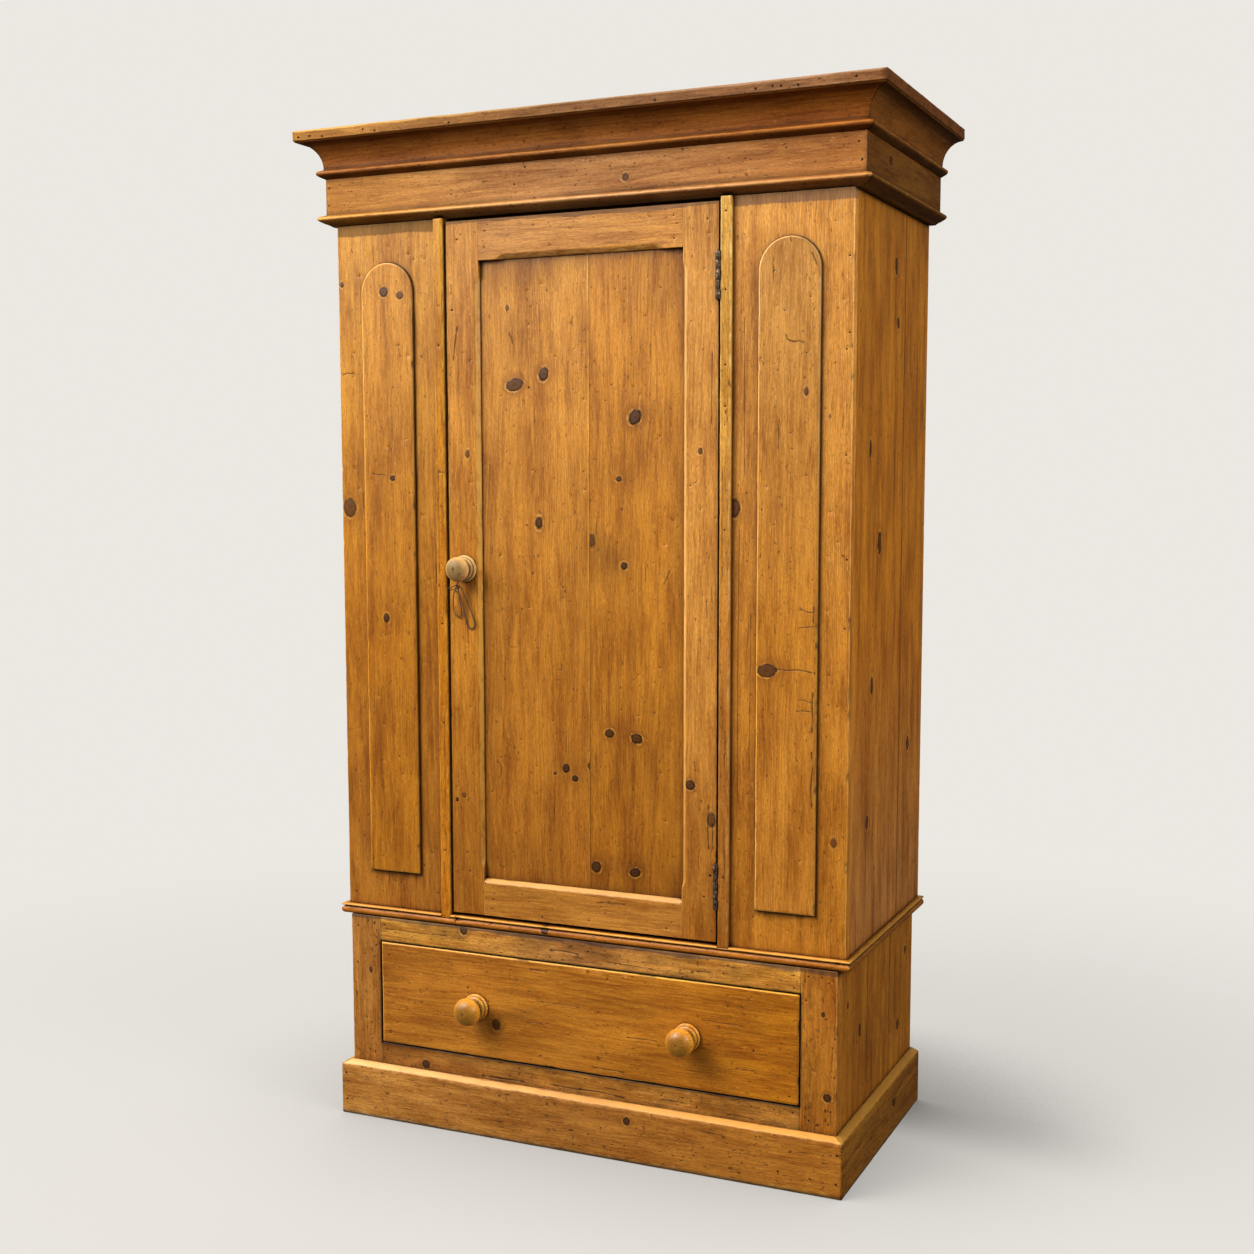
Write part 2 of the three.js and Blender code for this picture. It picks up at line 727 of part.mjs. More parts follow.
// -------------------------------------------------------------------- drawer
const frontBack = BASE_FRONT_Y + DRAWER_FRONT_T;
const sideOut = DRAWER_HALF - 1;
const sideIn = sideOut - DRAWER_SIDE_T;
const sideZ0 = RAIL_LOW_Z + GAP;
const sideZ1 = 348;
const DOVE_DEPTH = 14; // lapped dovetails stop short of the front's face
const doveZ = [190, 253, 316];
// one dovetail, wide end towards the front; grow adds the socket's clearance
function dove(s, zc, grow) {
  const y0 = frontBack - DOVE_DEPTH - grow;
  const w0 = 21 + grow;
  const w1 = 16.5 + grow;
  const shape = new THREE.Shape([
    new THREE.Vector2(y0, zc - w0),
    new THREE.Vector2(frontBack + 1, zc - w1),
    new THREE.Vector2(frontBack + 1, zc + w1),
    new THREE.Vector2(y0, zc + w0),
  ]);
  const x0 = sideIn - grow;
  const x1 = sideOut + (grow ? 3 : 0);
  const g = new THREE.ExtrudeGeometry(shape, { depth: x1 - x0, bevelEnabled: false });
  // shape X -> Y, shape Y -> Z, depth -> X
  const p = g.attributes.position;
  for (let i = 0; i < p.count; i++) {
    const [u, v, w] = [p.getX(i), p.getY(i), p.getZ(i)];
    p.setXYZ(i, s > 0 ? x0 + w : -(x0 + w), u, v);
  }
  if (s < 0) flip(g);
  return g;
}
const bottomZ = 167;
const bottomT = 6;
const drawerFront = box(-DRAWER_HALF, DRAWER_HALF, BASE_FRONT_Y, frontBack, DRAWER_Z0, DRAWER_Z1);
add(
  drawer,
  "drawer_front",
  cut(
    drawerFront,
    ...[-1, 1].flatMap((s) => doveZ.map((z) => dove(s, z, GAP / 2))),
    ...[-1, 1].map((s) => cylY(7.9, BASE_FRONT_Y - 1, frontBack + 1, s * DRAWER_KNOB_X, DRAWER_KNOB_Z)),
    box(-sideIn - 5, sideIn + 5, frontBack - 6, frontBack + 1, bottomZ - GAP, bottomZ + bottomT + GAP),
  ),
  PINE(),
);
for (const [side, s] of [
  ["left", -1],
  ["right", 1],
]) {
  const span = (a, b) => (s < 0 ? [-b, -a] : [a, b]);
  add(
    drawer,
    `drawer_side_${side}`,
    cut(
      join(
        box(...span(sideIn, sideOut), frontBack + 0.02, DRAWER_BACK_Y, sideZ0, sideZ1),
        ...doveZ.map((z) => dove(s, z, 0)),
      ),
      box(...span(sideIn - 1, sideIn + 5), frontBack - 20, DRAWER_BACK_Y + 1, bottomZ - GAP, bottomZ + bottomT + GAP),
    ),
    PINE_INSIDE(),
  );
}
board(drawer, "drawer_bottom", -sideIn - 4.6, sideIn + 4.6, frontBack - 5.5, DRAWER_BACK_Y - 1, bottomZ, bottomZ + bottomT, PINE_INSIDE());
board(drawer, "drawer_back", -sideIn + 0.02, sideIn - 0.02, DRAWER_BACK_Y - 13, DRAWER_BACK_Y - 1, bottomZ + bottomT + GAP, 342, PINE_INSIDE());
const drawerKnobProfile = [
  [0, -20],
  [7.6, -20],
  [7.6, 0.1],
  [25.6, 0.1],
  [26.4, 1.8],
  [26.2, 4.8],
  [24.4, 6.8],
  [21.6, 7.8],
  [22.6, 9.6],
  [22, 12],
  [18, 14.2],
  [13.8, 16],
  [12.8, 19],
  [14.4, 22],
  [19.4, 25],
  [24.2, 30],
  [26.8, 36.6],
  [26.6, 43],
  [23.4, 50],
  [17.4, 55.4],
  [9.6, 58.4],
  [3.4, DRAWER_KNOB_L],
  [0, 58.2],
];
knob(drawer, "drawer_knob_left", drawerKnobProfile, -DRAWER_KNOB_X, BASE_FRONT_Y, DRAWER_KNOB_Z);
knob(drawer, "drawer_knob_right", drawerKnobProfile, DRAWER_KNOB_X, BASE_FRONT_Y, DRAWER_KNOB_Z);

export default root;
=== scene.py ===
import math

import bpy
import numpy as np
from mathutils import Matrix, Vector
from mathutils.geometry import delaunay_2d_cdt
from mathutils.kdtree import KDTree


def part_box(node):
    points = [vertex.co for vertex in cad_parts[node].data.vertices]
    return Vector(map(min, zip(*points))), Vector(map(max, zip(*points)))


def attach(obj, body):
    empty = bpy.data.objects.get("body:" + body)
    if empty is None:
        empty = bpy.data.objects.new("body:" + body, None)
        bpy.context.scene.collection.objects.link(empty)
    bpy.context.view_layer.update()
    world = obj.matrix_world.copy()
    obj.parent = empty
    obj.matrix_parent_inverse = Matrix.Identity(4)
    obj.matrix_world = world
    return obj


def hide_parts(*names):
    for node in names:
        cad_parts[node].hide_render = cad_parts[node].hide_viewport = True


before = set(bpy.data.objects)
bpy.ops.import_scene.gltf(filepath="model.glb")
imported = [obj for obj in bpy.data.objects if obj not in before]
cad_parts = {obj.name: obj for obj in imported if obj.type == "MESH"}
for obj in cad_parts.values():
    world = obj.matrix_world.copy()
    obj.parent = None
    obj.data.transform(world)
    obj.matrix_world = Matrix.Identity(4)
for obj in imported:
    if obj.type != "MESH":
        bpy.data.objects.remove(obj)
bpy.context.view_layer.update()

# Lengths below are millimetres in the design frame (y = 0 on the upper
# carcase's front face) unless a name ends in _M. The row frame is in metres
# with its origin under the middle of the bounding box.
ORIGIN_Y = 227.45
SCENE = bpy.context.scene


def row(p):
    """Design millimetres to row-frame metres, for an (n, 3) array."""
    p = np.asarray(p, float).reshape(-1, 3)
    return (p - np.array([0.0, ORIGIN_Y, 0.0])) / 1000.0


# --------------------------------------------------------------------- camera
cam_data = bpy.data.cameras.new("camera")
cam = bpy.data.objects.new("camera", cam_data)
SCENE.collection.objects.link(cam)
SCENE.camera = cam
CAM_POS = (1348.107, -2912.650, 1284.007)
CAM_RIGHT = (0.9027939, 0.4300391, -0.0054313)
CAM_DOWN = (0.0414849, -0.0996465, -0.9941577)
CAM_FWD = (-0.4280679, 0.8972943, -0.1078004)
m = Matrix.Identity(4)
for i in range(3):
    m[i][0] = CAM_RIGHT[i]
    m[i][1] = -CAM_DOWN[i]
    m[i][2] = -CAM_FWD[i]
    m[i][3] = row(CAM_POS)[0][i]
cam.matrix_world = m
cam_data.sensor_width = 36.0
cam_data.lens = 1727.073 * 36.0 / 1254.0
cam_data.shift_x = (627.0 - 560.0) / 1254.0
cam_data.shift_y = (665.0 - 627.0) / 1254.0
cam_data.clip_end = 100.0


# ---------------------------------------------------------------------- noise
def _hash(ix, seed):
    n = ix[:, 0] * 73856093
    n = n ^ (ix[:, 1] * 19349663)
    if ix.shape[1] > 2:
        n = n ^ (ix[:, 2] * 83492791)
    n = n ^ (int(seed) * 40503 + 12345)
    n = (n ^ (n >> 13)) & 0x7FFFFFFF
    n = (n * 1274126177) & 0x7FFFFFFF
    n = (n ^ (n >> 15)) & 0x7FFFFFFF
    n = (n * 668265263) & 0x7FFFFFFF
    return n / float(0x3FFFFFFF) - 1.0


def noise(p, seed=0):
    """Smooth value noise from -1 to 1 at an (n, 2) or (n, 3) array of points."""
    p = np.asarray(p, float)
    i = np.floor(p).astype(np.int64)
    f = p - i
    f = f * f * (3 - 2 * f)
    out = np.zeros(len(p))
    d = p.shape[1]
    for c in range(2**d):
        off = np.array([(c >> k) & 1 for k in range(d)])
        w = np.prod(np.where(off[None, :] == 1, f, 1 - f), axis=1)
        out += w * _hash(i + off[None, :], seed)
    return out


def noise1(t, seed=0):
    t = np.atleast_1d(np.asarray(t, float))
    return noise(np.column_stack([t, np.zeros_like(t) + 0.37]), seed)


def smooth(a, b, x):
    t = np.clip((np.asarray(x, float) - a) / (b - a), 0, 1)
    return t * t * (3 - 2 * t)


# ------------------------------------------------------------------ materials
class Graph:
    """A short way to write a node tree: numbers and sockets mix freely."""

    def __init__(self, name):
        self.mat = bpy.data.materials.new(name)
        self.mat.use_nodes = True
        self.nt = self.mat.node_tree
        self.nt.nodes.clear()
        self.x = 0

    def node(self, kind, **props):
        n = self.nt.nodes.new(kind)
        self.x += 1
        n.location = ((self.x % 12) * 200, -(self.x // 12) * 220)
        for k, v in props.items():
            setattr(n, k, v)
        return n

    def put(self, socket, value):
        if isinstance(value, bpy.types.NodeSocket):
            self.nt.links.new(value, socket)
        elif value is not None:
            socket.default_value = value

    def math(self, op, a, b=None, c=None, clamp=False):
        n = self.node("ShaderNodeMath", operation=op, use_clamp=clamp)
        self.put(n.inputs[0], a)
        if b is not None:
            self.put(n.inputs[1], b)
        if c is not None:
            self.put(n.inputs[2], c)
        return n.outputs[0]

    def add(self, a, b):
        return self.math("ADD", a, b)

    def sub(self, a, b):
        return self.math("SUBTRACT", a, b)

    def mul(self, a, b):
        return self.math("MULTIPLY", a, b)

    def madd(self, a, b, c):
        return self.math("MULTIPLY_ADD", a, b, c)

    def attr(self, name):
        n = self.node("ShaderNodeAttribute", attribute_name=name, attribute_type="GEOMETRY")
        return n.outputs["Vector"]

    def sep(self, v):
        n = self.node("ShaderNodeSeparateXYZ")
        self.put(n.inputs[0], v)
        return n.outputs[0], n.outputs[1], n.outputs[2]

    def comb(self, x, y, z):
        n = self.node("ShaderNodeCombineXYZ")
        for s, v in zip(n.inputs, (x, y, z)):
            self.put(s, v)
        return n.outputs[0]

    def vec(self, op, a, b=None):
        n = self.node("ShaderNodeVectorMath", operation=op)
        self.put(n.inputs[0], a)
        if b is not None:
            self.put(n.inputs[1], b)
        return n.outputs[0]

    def noise(self, v, detail=2.0, rough=0.5, distortion=0.0):
        n = self.node("ShaderNodeTexNoise")
        n.inputs["Scale"].default_value = 1.0
        n.inputs["Detail"].default_value = detail
        n.inputs["Roughness"].default_value = rough
        n.inputs["Distortion"].default_value = distortion
        self.put(n.inputs["Vector"], v)
        return n.outputs[0]

    def voronoi(self, v, feature="F1"):
        n = self.node("ShaderNodeTexVoronoi", feature=feature)
        n.inputs["Scale"].default_value = 1.0
        self.put(n.inputs["Vector"], v)
        return n.outputs["Distance"], n.outputs["Color"]

    def ramp(self, value, a, b, lo=0.0, hi=1.0, kind="SMOOTHSTEP"):
        n = self.node("ShaderNodeMapRange", interpolation_type=kind)
        self.put(n.inputs["Value"], value)
        n.inputs["From Min"].default_value = a
        n.inputs["From Max"].default_value = b
        n.inputs["To Min"].default_value = lo
        n.inputs["To Max"].default_value = hi
        return n.outputs["Result"]

    def mix(self, fac, a, b, blend="MIX"):
        n = self.node("ShaderNodeMix", data_type="RGBA", blend_type=blend)
        self.put(n.inputs["Factor"], fac)
        for s, v in ((n.inputs[6], a), (n.inputs[7], b)):
            if isinstance(v, (tuple, list)) and len(v) == 3:
                v = (*v, 1.0)
            self.put(s, v)
        return n.outputs[2]

    def bump(self, height, distance=0.001, strength=1.0, normal=None):
        n = self.node("ShaderNodeBump")
        n.inputs["Strength"].default_value = strength
        n.inputs["Distance"].default_value = distance
        self.put(n.inputs["Height"], height)
        if normal is not None:
            self.put(n.inputs["Normal"], normal)
        return n.outputs[0]

    def finish(self, color, rough, normal=None, metallic=0.0, **sockets):
        b = self.node("ShaderNodeBsdfPrincipled")
        self.put(b.inputs["Base Color"], color)
        self.put(b.inputs["Roughness"], rough)
        self.put(b.inputs["Metallic"], metallic)
        if normal is not None:
            self.put(b.inputs["Normal"], normal)
        for k, v in sockets.items():
            b.inputs[k.replace("_", " ")].default_value = v
        out = self.node("ShaderNodeOutputMaterial")
        self.nt.links.new(b.outputs[0], out.inputs[0])
        return self.mat


def srgb(r, g, b):
    return tuple((c / 255 / 12.92) if c / 255 <= 0.04045 else ((c / 255 + 0.055) / 1.055) ** 2.4 for c in (r, g, b))


def pine(name, light, mid, dark, knot, worn, rough=0.42, ring=0.5, streak=1.0, coat=0.0, fleck=1.0, grey=(0.165, 0.083, 0.036), spec=0.25):
    """Solid pine. Its grain is a set of growth rings about a pith line, warped by
    slow noise and pushed aside by the knots. These attributes drive it, in mm:
    wood (across, along, depth), pith (across, depth, seed), kn (knot offset over
    its radius, twice, and 1 where no knot is near), kp (knot radius, darkness,
    seed), fx (worn, hole or crack, distance past the unfinished band's edge),
    tint (a colour multiplier, which also holds painted light and shade)."""
    g = Graph(name)
    a, l, d = g.sep(g.attr("wood"))
    pu, pw, seed = g.sep(g.attr("pith"))
    nx, nz, far = g.sep(g.attr("kn"))
    kr, kdark, kseed = g.sep(g.attr("kp"))
    wear, hole, band = g.sep(g.attr("fx"))
    sa = g.madd(seed, 317.0, a)
    sl = g.madd(seed, 791.0, l)
    sd = g.madd(seed, 153.0, d)

    def space(ca, cl, cd=None):
        return g.comb(g.mul(sa, 1 / ca), g.mul(sl, 1 / cl), g.mul(sd, 1 / (cd or ca)))

    slow = g.sub(g.noise(space(75, 300), 2.0), 0.5)
    mid_n = g.sub(g.noise(space(24, 120), 2.0), 0.5)
    aw = g.madd(slow, 26.0, a)
    aw = g.madd(mid_n, 6.0, aw)

    # knots push the rings to either side
    e2 = g.add(g.math("MULTIPLY_ADD", nx, nx, g.mul(nz, nz)), g.mul(far, 60.0))
    fade = g.ramp(e2, 16.0, 0.5)
    defl = g.mul(g.mul(g.math("DIVIDE", nx, g.add(e2, 0.4)), kr), fade)
    aw = g.madd(defl, -1.15, aw)
    sdef = g.madd(defl, -0.9, sa)

    dx = g.sub(aw, pu)
    dz = g.sub(d, pw)
    rho = g.math("SQRT", g.math("MULTIPLY_ADD", dx, dx, g.mul(dz, dz)))
    rho = g.madd(l, 0.012, rho)
    rho = g.madd(g.noise(g.comb(g.mul(rho, 0.045), seed, 0.0), 1.0), 9.0, rho)
    t = g.madd(rho, 1 / 3.9, g.mul(seed, 17.0))
    ringf = g.math("FRACT", t)
    ringn = g.node("ShaderNodeTexWhiteNoise", noise_dimensions="2D")
    g.put(ringn.inputs["Vector"], g.comb(g.math("FLOOR", t), seed, 0.0))
    late = g.mul(g.math("POWER", ringf, 2.2), g.ramp(ringf, 1.0, 0.84))
    late = g.mul(late, g.madd(ringn.outputs["Value"], 0.8, 0.35))
    blotch = g.noise(space(80, 230), 2.0, 0.5)
    late = g.mul(late, g.ramp(blotch, 0.34, 0.62, 0.35, 1.0))

    # soft streaks, mottling and fibres, all drawn out along the grain
    s1 = g.noise(g.comb(g.mul(g.madd(slow, 20.0, sdef), 1 / 16), g.mul(sl, 1 / 210), g.mul(sd, 1 / 16)), 3.0, 0.62)
    s4 = g.noise(g.comb(g.mul(g.madd(slow, 20.0, sdef), 1 / 6.5), g.mul(sl, 1 / 105), g.mul(sd, 1 / 6.5)), 3.0, 0.62)
    mott = g.noise(space(24, 125), 3.0, 0.58)
    broad = g.noise(space(70, 190), 2.0, 0.5)
    s2 = g.noise(g.comb(g.mul(sdef, 1 / 2.5), g.mul(sl, 1 / 32), g.mul(sd, 1 / 2.5)), 2.0, 0.65)
    s3 = g.noise(space(1.3, 7), 2.0, 0.6)

    tone = g.mul(g.ramp(s1, 0.34, 0.66), 0.38 * streak)
    tone = g.madd(g.ramp(s4, 0.34, 0.70), 0.26 * streak, tone)
    tone = g.madd(g.ramp(mott, 0.32, 0.70), 0.28, tone)
    tone = g.madd(g.ramp(broad, 0.30, 0.70), 0.40, tone)
    tone = g.madd(g.sub(blotch, 0.5), 0.5, tone)
    tone = g.madd(g.sub(s2, 0.5), 1.45, tone)
    tone = g.sub(tone, 0.14)
    col = g.mix(g.math("MULTIPLY", tone, 1.0, clamp=True), light, mid)
    col = g.mix(g.mul(late, ring), col, dark)
    col = g.mix(g.mul(g.ramp(s4, 0.57, 0.76), g.mul(g.ramp(mott, 0.42, 0.62), 0.42 * streak)), col, dark)
    col = g.mix(g.mul(g.ramp(mott, 0.58, 0.80), 0.26 * streak), col, dark)
    fine = g.madd(g.sub(s3, 0.5), 1.05, 1.0)
    col = g.mix(1.0, col, g.comb(fine, fine, fine), "MULTIPLY")

    # short dark flecks and pale scratches along the grain, dents filled with old
    # wax, and thin shakes
    clump = g.noise(space(46, 90), 2.0, 0.5)
    nick = g.noise(space(3.4, 9.5), 2.0, 0.6)
    gouge = g.noise(g.comb(g.mul(sa, 1 / 6.5), g.madd(sl, 1 / 15.0, 4.1), g.mul(sd, 1 / 6.5)), 2.0, 0.6)
    few = 0.045 * (1.0 - fleck)
    flk = g.mul(g.ramp(nick, 0.615 + few, 0.68 + few), g.ramp(clump, 0.38 + few, 0.58 + few, 0.30 * fleck, 1.0))
    flk = g.math("MAXIMUM", flk, g.ramp(gouge, 0.668 + 0.6 * few, 0.708 + 0.6 * few))
    nickp = g.noise(g.comb(g.mul(sa, 1 / 2.8), g.madd(sl, 1 / 15.0, 9.7), g.mul(sd, 1 / 2.8)), 2.0, 0.6)
    pale = g.mul(g.ramp(nickp, 0.63, 0.72), g.ramp(clump, 0.62, 0.42, 0.3, 1.0))
    vd2, vc2 = g.voronoi(space(19.0, 25.0))
    vr2 = g.sep(vc2)[1]
    pit = g.mul(g.ramp(vd2, 0.105, 0.055), g.math("GREATER_THAN", vr2, 0.50))
    sh = g.noise(g.comb(g.mul(sdef, 1 / 3.0), g.mul(sl, 1 / 95), g.mul(sd, 1 / 3.0)), 1.0, 0.5)
    shake = g.mul(g.ramp(sh, 0.70, 0.745), g.ramp(mott, 0.48, 0.60))
    flecks = g.math("MAXIMUM", g.mul(flk, 0.56 + 0.2 * fleck), g.mul(pit, 0.50 + 0.42 * fleck), clamp=True)
    flecks = g.math("MAXIMUM", flecks, g.mul(shake, 0.8 * fleck), clamp=True)
    col = g.mix(g.mul(pale, 0.36 + 0.12 * fleck), col, worn)
    col = g.mix(flecks, col, tuple(c * 0.22 for c in dark))

    # knots: a soft dark halo, a pale collar, a dark rim and a ringed core
    wob = g.noise(g.comb(g.madd(kseed, 7.0, g.mul(nx, 1.5)), g.mul(nz, 1.5), kseed), 3.0, 0.65)
    e = g.madd(g.sub(wob, 0.5), 0.62, g.math("SQRT", e2))
    halo = g.mul(g.ramp(e, 2.8, 1.1), g.madd(kdark, 0.48, 0.15))
    col = g.mix(halo, col, g.mix(0.45, mid, dark))
    rimw = g.math("MINIMUM", g.math("DIVIDE", 2.3, kr), 0.42)
    edge = g.math("DIVIDE", g.sub(e, 0.95), rimw)
    part = g.noise(g.comb(g.mul(nx, 0.8), g.mul(nz, 0.8), g.madd(kseed, 1.0, 3.3)), 2.0, 0.6)
    collar = g.mul(g.ramp(g.math("ABSOLUTE", g.sub(edge, 1.7)), 1.0, 0.3), g.ramp(part, 0.40, 0.58))
    col = g.mix(g.mul(collar, g.madd(kdark, 0.3, 0.25)), col, worn)
    core = g.ramp(e, 1.05, 0.90)
    rings = g.math("SINE", g.madd(e, 15.0, g.mul(wob, 7.0)))
    grit = g.noise(g.comb(g.mul(nx, 5.0), g.mul(nz, 5.0), kseed), 3.0, 0.7)
    kcol = g.mix(g.madd(rings, 0.25, g.mul(grit, 0.8)), tuple(c * 1.15 for c in knot), tuple(c * 0.28 for c in knot))
    kcol = g.mix(g.mul(g.ramp(grit, 0.58, 0.70), 0.35), kcol, mid)
    kcol = g.mix(g.mul(g.ramp(e, 0.30, 0.10), 0.8), kcol, tuple(c * 0.3 for c in knot))
    col = g.mix(g.mul(core, g.madd(kdark, 0.40, 0.5)), col, kcol)
    rim = g.mul(g.ramp(g.math("ABSOLUTE", edge), 0.95, 0.35), g.mul(kdark, g.ramp(grit, 0.26, 0.46)))
    col = g.mix(rim, col, (0.018, 0.007, 0.002))

    # worn arrises, unfinished wood behind the band line, holes and cracks
    wn = g.noise(space(7, 26), 3.0, 0.65)
    wmask = g.ramp(g.add(wear, g.mul(g.sub(wn, 0.5), 1.3)), 0.34, 0.80)
    col = g.mix(g.mul(wmask, 0.62), col, worn)
    bmask = g.ramp(g.add(band, g.mul(g.sub(s2, 0.5), 6.0)), -1.0, 1.6)
    gcol = g.mix(s2, grey, tuple(c * 0.45 for c in grey))
    col = g.mix(g.mul(bmask, 0.70), col, gcol)
    tint = g.attr("tint")
    col = g.mix(1.0, col, tint, "MULTIPLY")
    col = g.vec("MINIMUM", col, (0.90, 0.90, 0.90))
    # dirt and old wax in the corners where pieces meet, and painted shade there too: an ambient-occlusion mask darkens
    # the colour in the corners
    ao = g.node("ShaderNodeAmbientOcclusion", samples=4, only_local=False)
    ao.inputs["Distance"].default_value = 0.013
    dirt_and_ao_shade = g.ramp(g.add(ao.outputs["AO"], g.mul(g.sub(s2, 0.5), 0.35)), 0.84, 0.44)
    col = g.mix(g.mul(dirt_and_ao_shade, 0.90), col, (0.022, 0.007, 0.0015))
    col = g.mix(g.mul(hole, 0.93), col, (0.016, 0.007, 0.002))

    r = g.madd(g.sub(s1, 0.5), 0.20, rough)
    r = g.madd(g.sub(s3, 0.5), 0.14, r)
    r = g.madd(bmask, 0.3, r)
    r = g.madd(wmask, -0.05, r)
    r = g.madd(dirt_and_ao_shade, 0.25, r)
    r = g.math("MULTIPLY_ADD", hole, 0.4, r, clamp=True)
    h = g.madd(late, 0.08, g.mul(s2, 0.30))
    h = g.madd(s3, 0.10, h)
    h = g.madd(flecks, -0.45, h)
    h = g.madd(pale, 0.10, h)
    h = g.madd(core, 0.10, h)
    h = g.madd(grit, g.mul(core, 0.12), h)
    h = g.madd(g.noise(space(30, 80), 2.0), 0.7, h)
    h = g.madd(s4, 0.30, h)
    n = g.bump(h, 0.001, 1.0)
    mat = g.finish(col, r, n, IOR=1.5, Coat_Weight=coat, Coat_Roughness=0.3, Specular_IOR_Level=spec)
    return mat


WAXED = pine(
    "pine_waxed", (0.560, 0.235, 0.030), (0.300, 0.098, 0.007), (0.115, 0.027, 0.002), (0.072, 0.026, 0.010), (0.74, 0.40, 0.10), rough=0.44, fleck=0.25
)
# the base has had more knocks than the doors and panels above it
WAXED_ROUGH = pine(
    "pine_waxed_rough", (0.560, 0.235, 0.030), (0.300, 0.098, 0.007), (0.115, 0.027, 0.002), (0.072, 0.026, 0.010), (0.74, 0.40, 0.10), rough=0.47,
    fleck=0.95, streak=1.15
)
CORNICE = pine(
    "pine_cornice", (0.440, 0.180, 0.042), (0.245, 0.083, 0.015), (0.090, 0.024, 0.0045), (0.080, 0.032, 0.014), (0.62, 0.32, 0.11), rough=0.50, ring=0.5, fleck=0.6, spec=0.10
)
GOLDEN = pine(
    "pine_golden", (0.600, 0.250, 0.032), (0.340, 0.112, 0.007), (0.125, 0.030, 0.002), (0.070, 0.025, 0.010), (0.80, 0.48, 0.15), rough=0.38, fleck=0.7
)
BARE = pine(
    "pine_bare", (0.44, 0.275, 0.135), (0.31, 0.180, 0.082), (0.150, 0.074, 0.030), (0.110, 0.046, 0.022), (0.54, 0.37, 0.21), rough=0.80, ring=0.55, fleck=0.6, spec=0.2
)
TURNED = pine(
    "pine_turned", (0.83, 0.420, 0.058), (0.70, 0.280, 0.026), (0.220, 0.062, 0.005), (0.130, 0.045, 0.016), (0.92, 0.58, 0.18), rough=0.32, ring=0.75, coat=0.10, fleck=0.1, spec=0.35
)

# the door knob is paler, its polish handled away
TURNED_PALE = pine(
    "pine_turned_pale", (0.90, 0.585, 0.212), (0.85, 0.475, 0.145), (0.42, 0.185, 0.050), (0.130, 0.045, 0.016), (0.89, 0.70, 0.34), rough=0.36, ring=0.85, coat=0.03, fleck=0.2, spec=0.25
)


def iron_material(name="iron", rubbed=0.85, metal=0.75, shade=(1.0, 1.0, 1.0), spec=0.5):
    g = Graph(name)
    tc = g.node("ShaderNodeTexCoord").outputs["Object"]
    v = g.vec("MULTIPLY", tc, (1000.0, 1000.0, 1000.0))
    n1 = g.noise(g.vec("MULTIPLY", v, (0.16, 0.16, 0.16)), 4.0, 0.65)
    n2 = g.noise(g.vec("MULTIPLY", v, (1.3, 1.3, 1.3)), 3.0, 0.6)
    col = g.mix(g.ramp(n1, 0.35, 0.65), (0.048, 0.037, 0.029), (0.090, 0.056, 0.034))
    col = g.mix(g.mul(g.ramp(n2, 0.55, 0.75), 0.6), col, (0.13, 0.062, 0.028))
    # rubbed spots on the knuckles, where the dark skin has gone
    n3 = g.noise(g.vec("MULTIPLY", v, (0.34, 0.34, 0.20)), 2.0, 0.6)
    col = g.mix(g.mul(g.ramp(n3, 0.57, 0.64), rubbed), col, (0.52, 0.36, 0.24))
    col = g.vec("MULTIPLY", col, shade)
    rough = g.madd(n2, 0.3, 0.42)
    bump = g.bump(g.add(g.mul(n2, 0.12), g.mul(n1, 0.3)), 0.001, 0.8)
    return g.finish(col, rough, bump, metallic=metal, Specular_IOR_Level=spec)


IRON = iron_material()
# the nail heads are rusted brown-black all over
NAIL_IRON = iron_material("nail_iron", rubbed=0.0, metal=0.0, shade=(0.42, 0.26, 0.15), spec=0.06)


def twine_material():
    g = Graph("twine")
    tc = g.node("ShaderNodeTexCoord").outputs["Object"]
    v = g.vec("MULTIPLY", tc, (1000.0, 1000.0, 1000.0))
    wave = g.node("ShaderNodeTexWave", wave_type="BANDS", bands_direction="DIAGONAL")
    wave.inputs["Scale"].default_value = 0.55
    wave.inputs["Distortion"].default_value = 1.2
    wave.inputs["Detail"].default_value = 2.0
    g.put(wave.inputs["Vector"], v)
    n = g.noise(g.vec("MULTIPLY", v, (2.6, 2.6, 2.6)), 3.0, 0.7)
    n1 = g.noise(g.vec("MULTIPLY", v, (0.05, 0.05, 0.05)), 2.0, 0.5)
    col = g.mix(wave.outputs["Fac"], (0.020, 0.008, 0.004), (0.150, 0.068, 0.028))
    col = g.mix(g.mul(n, 0.30), col, (0.34, 0.19, 0.085))
    col = g.mix(g.ramp(n1, 0.45, 0.70, 0.0, 0.6), col, (0.035, 0.015, 0.007))
    bump = g.bump(g.add(g.mul(wave.outputs["Fac"], 0.25), g.mul(n, 0.15)), 0.001, 0.8)
    return g.finish(col, 0.85, bump, Sheen_Weight=0.02, Sheen_Roughness=0.5)


TWINE = twine_material()

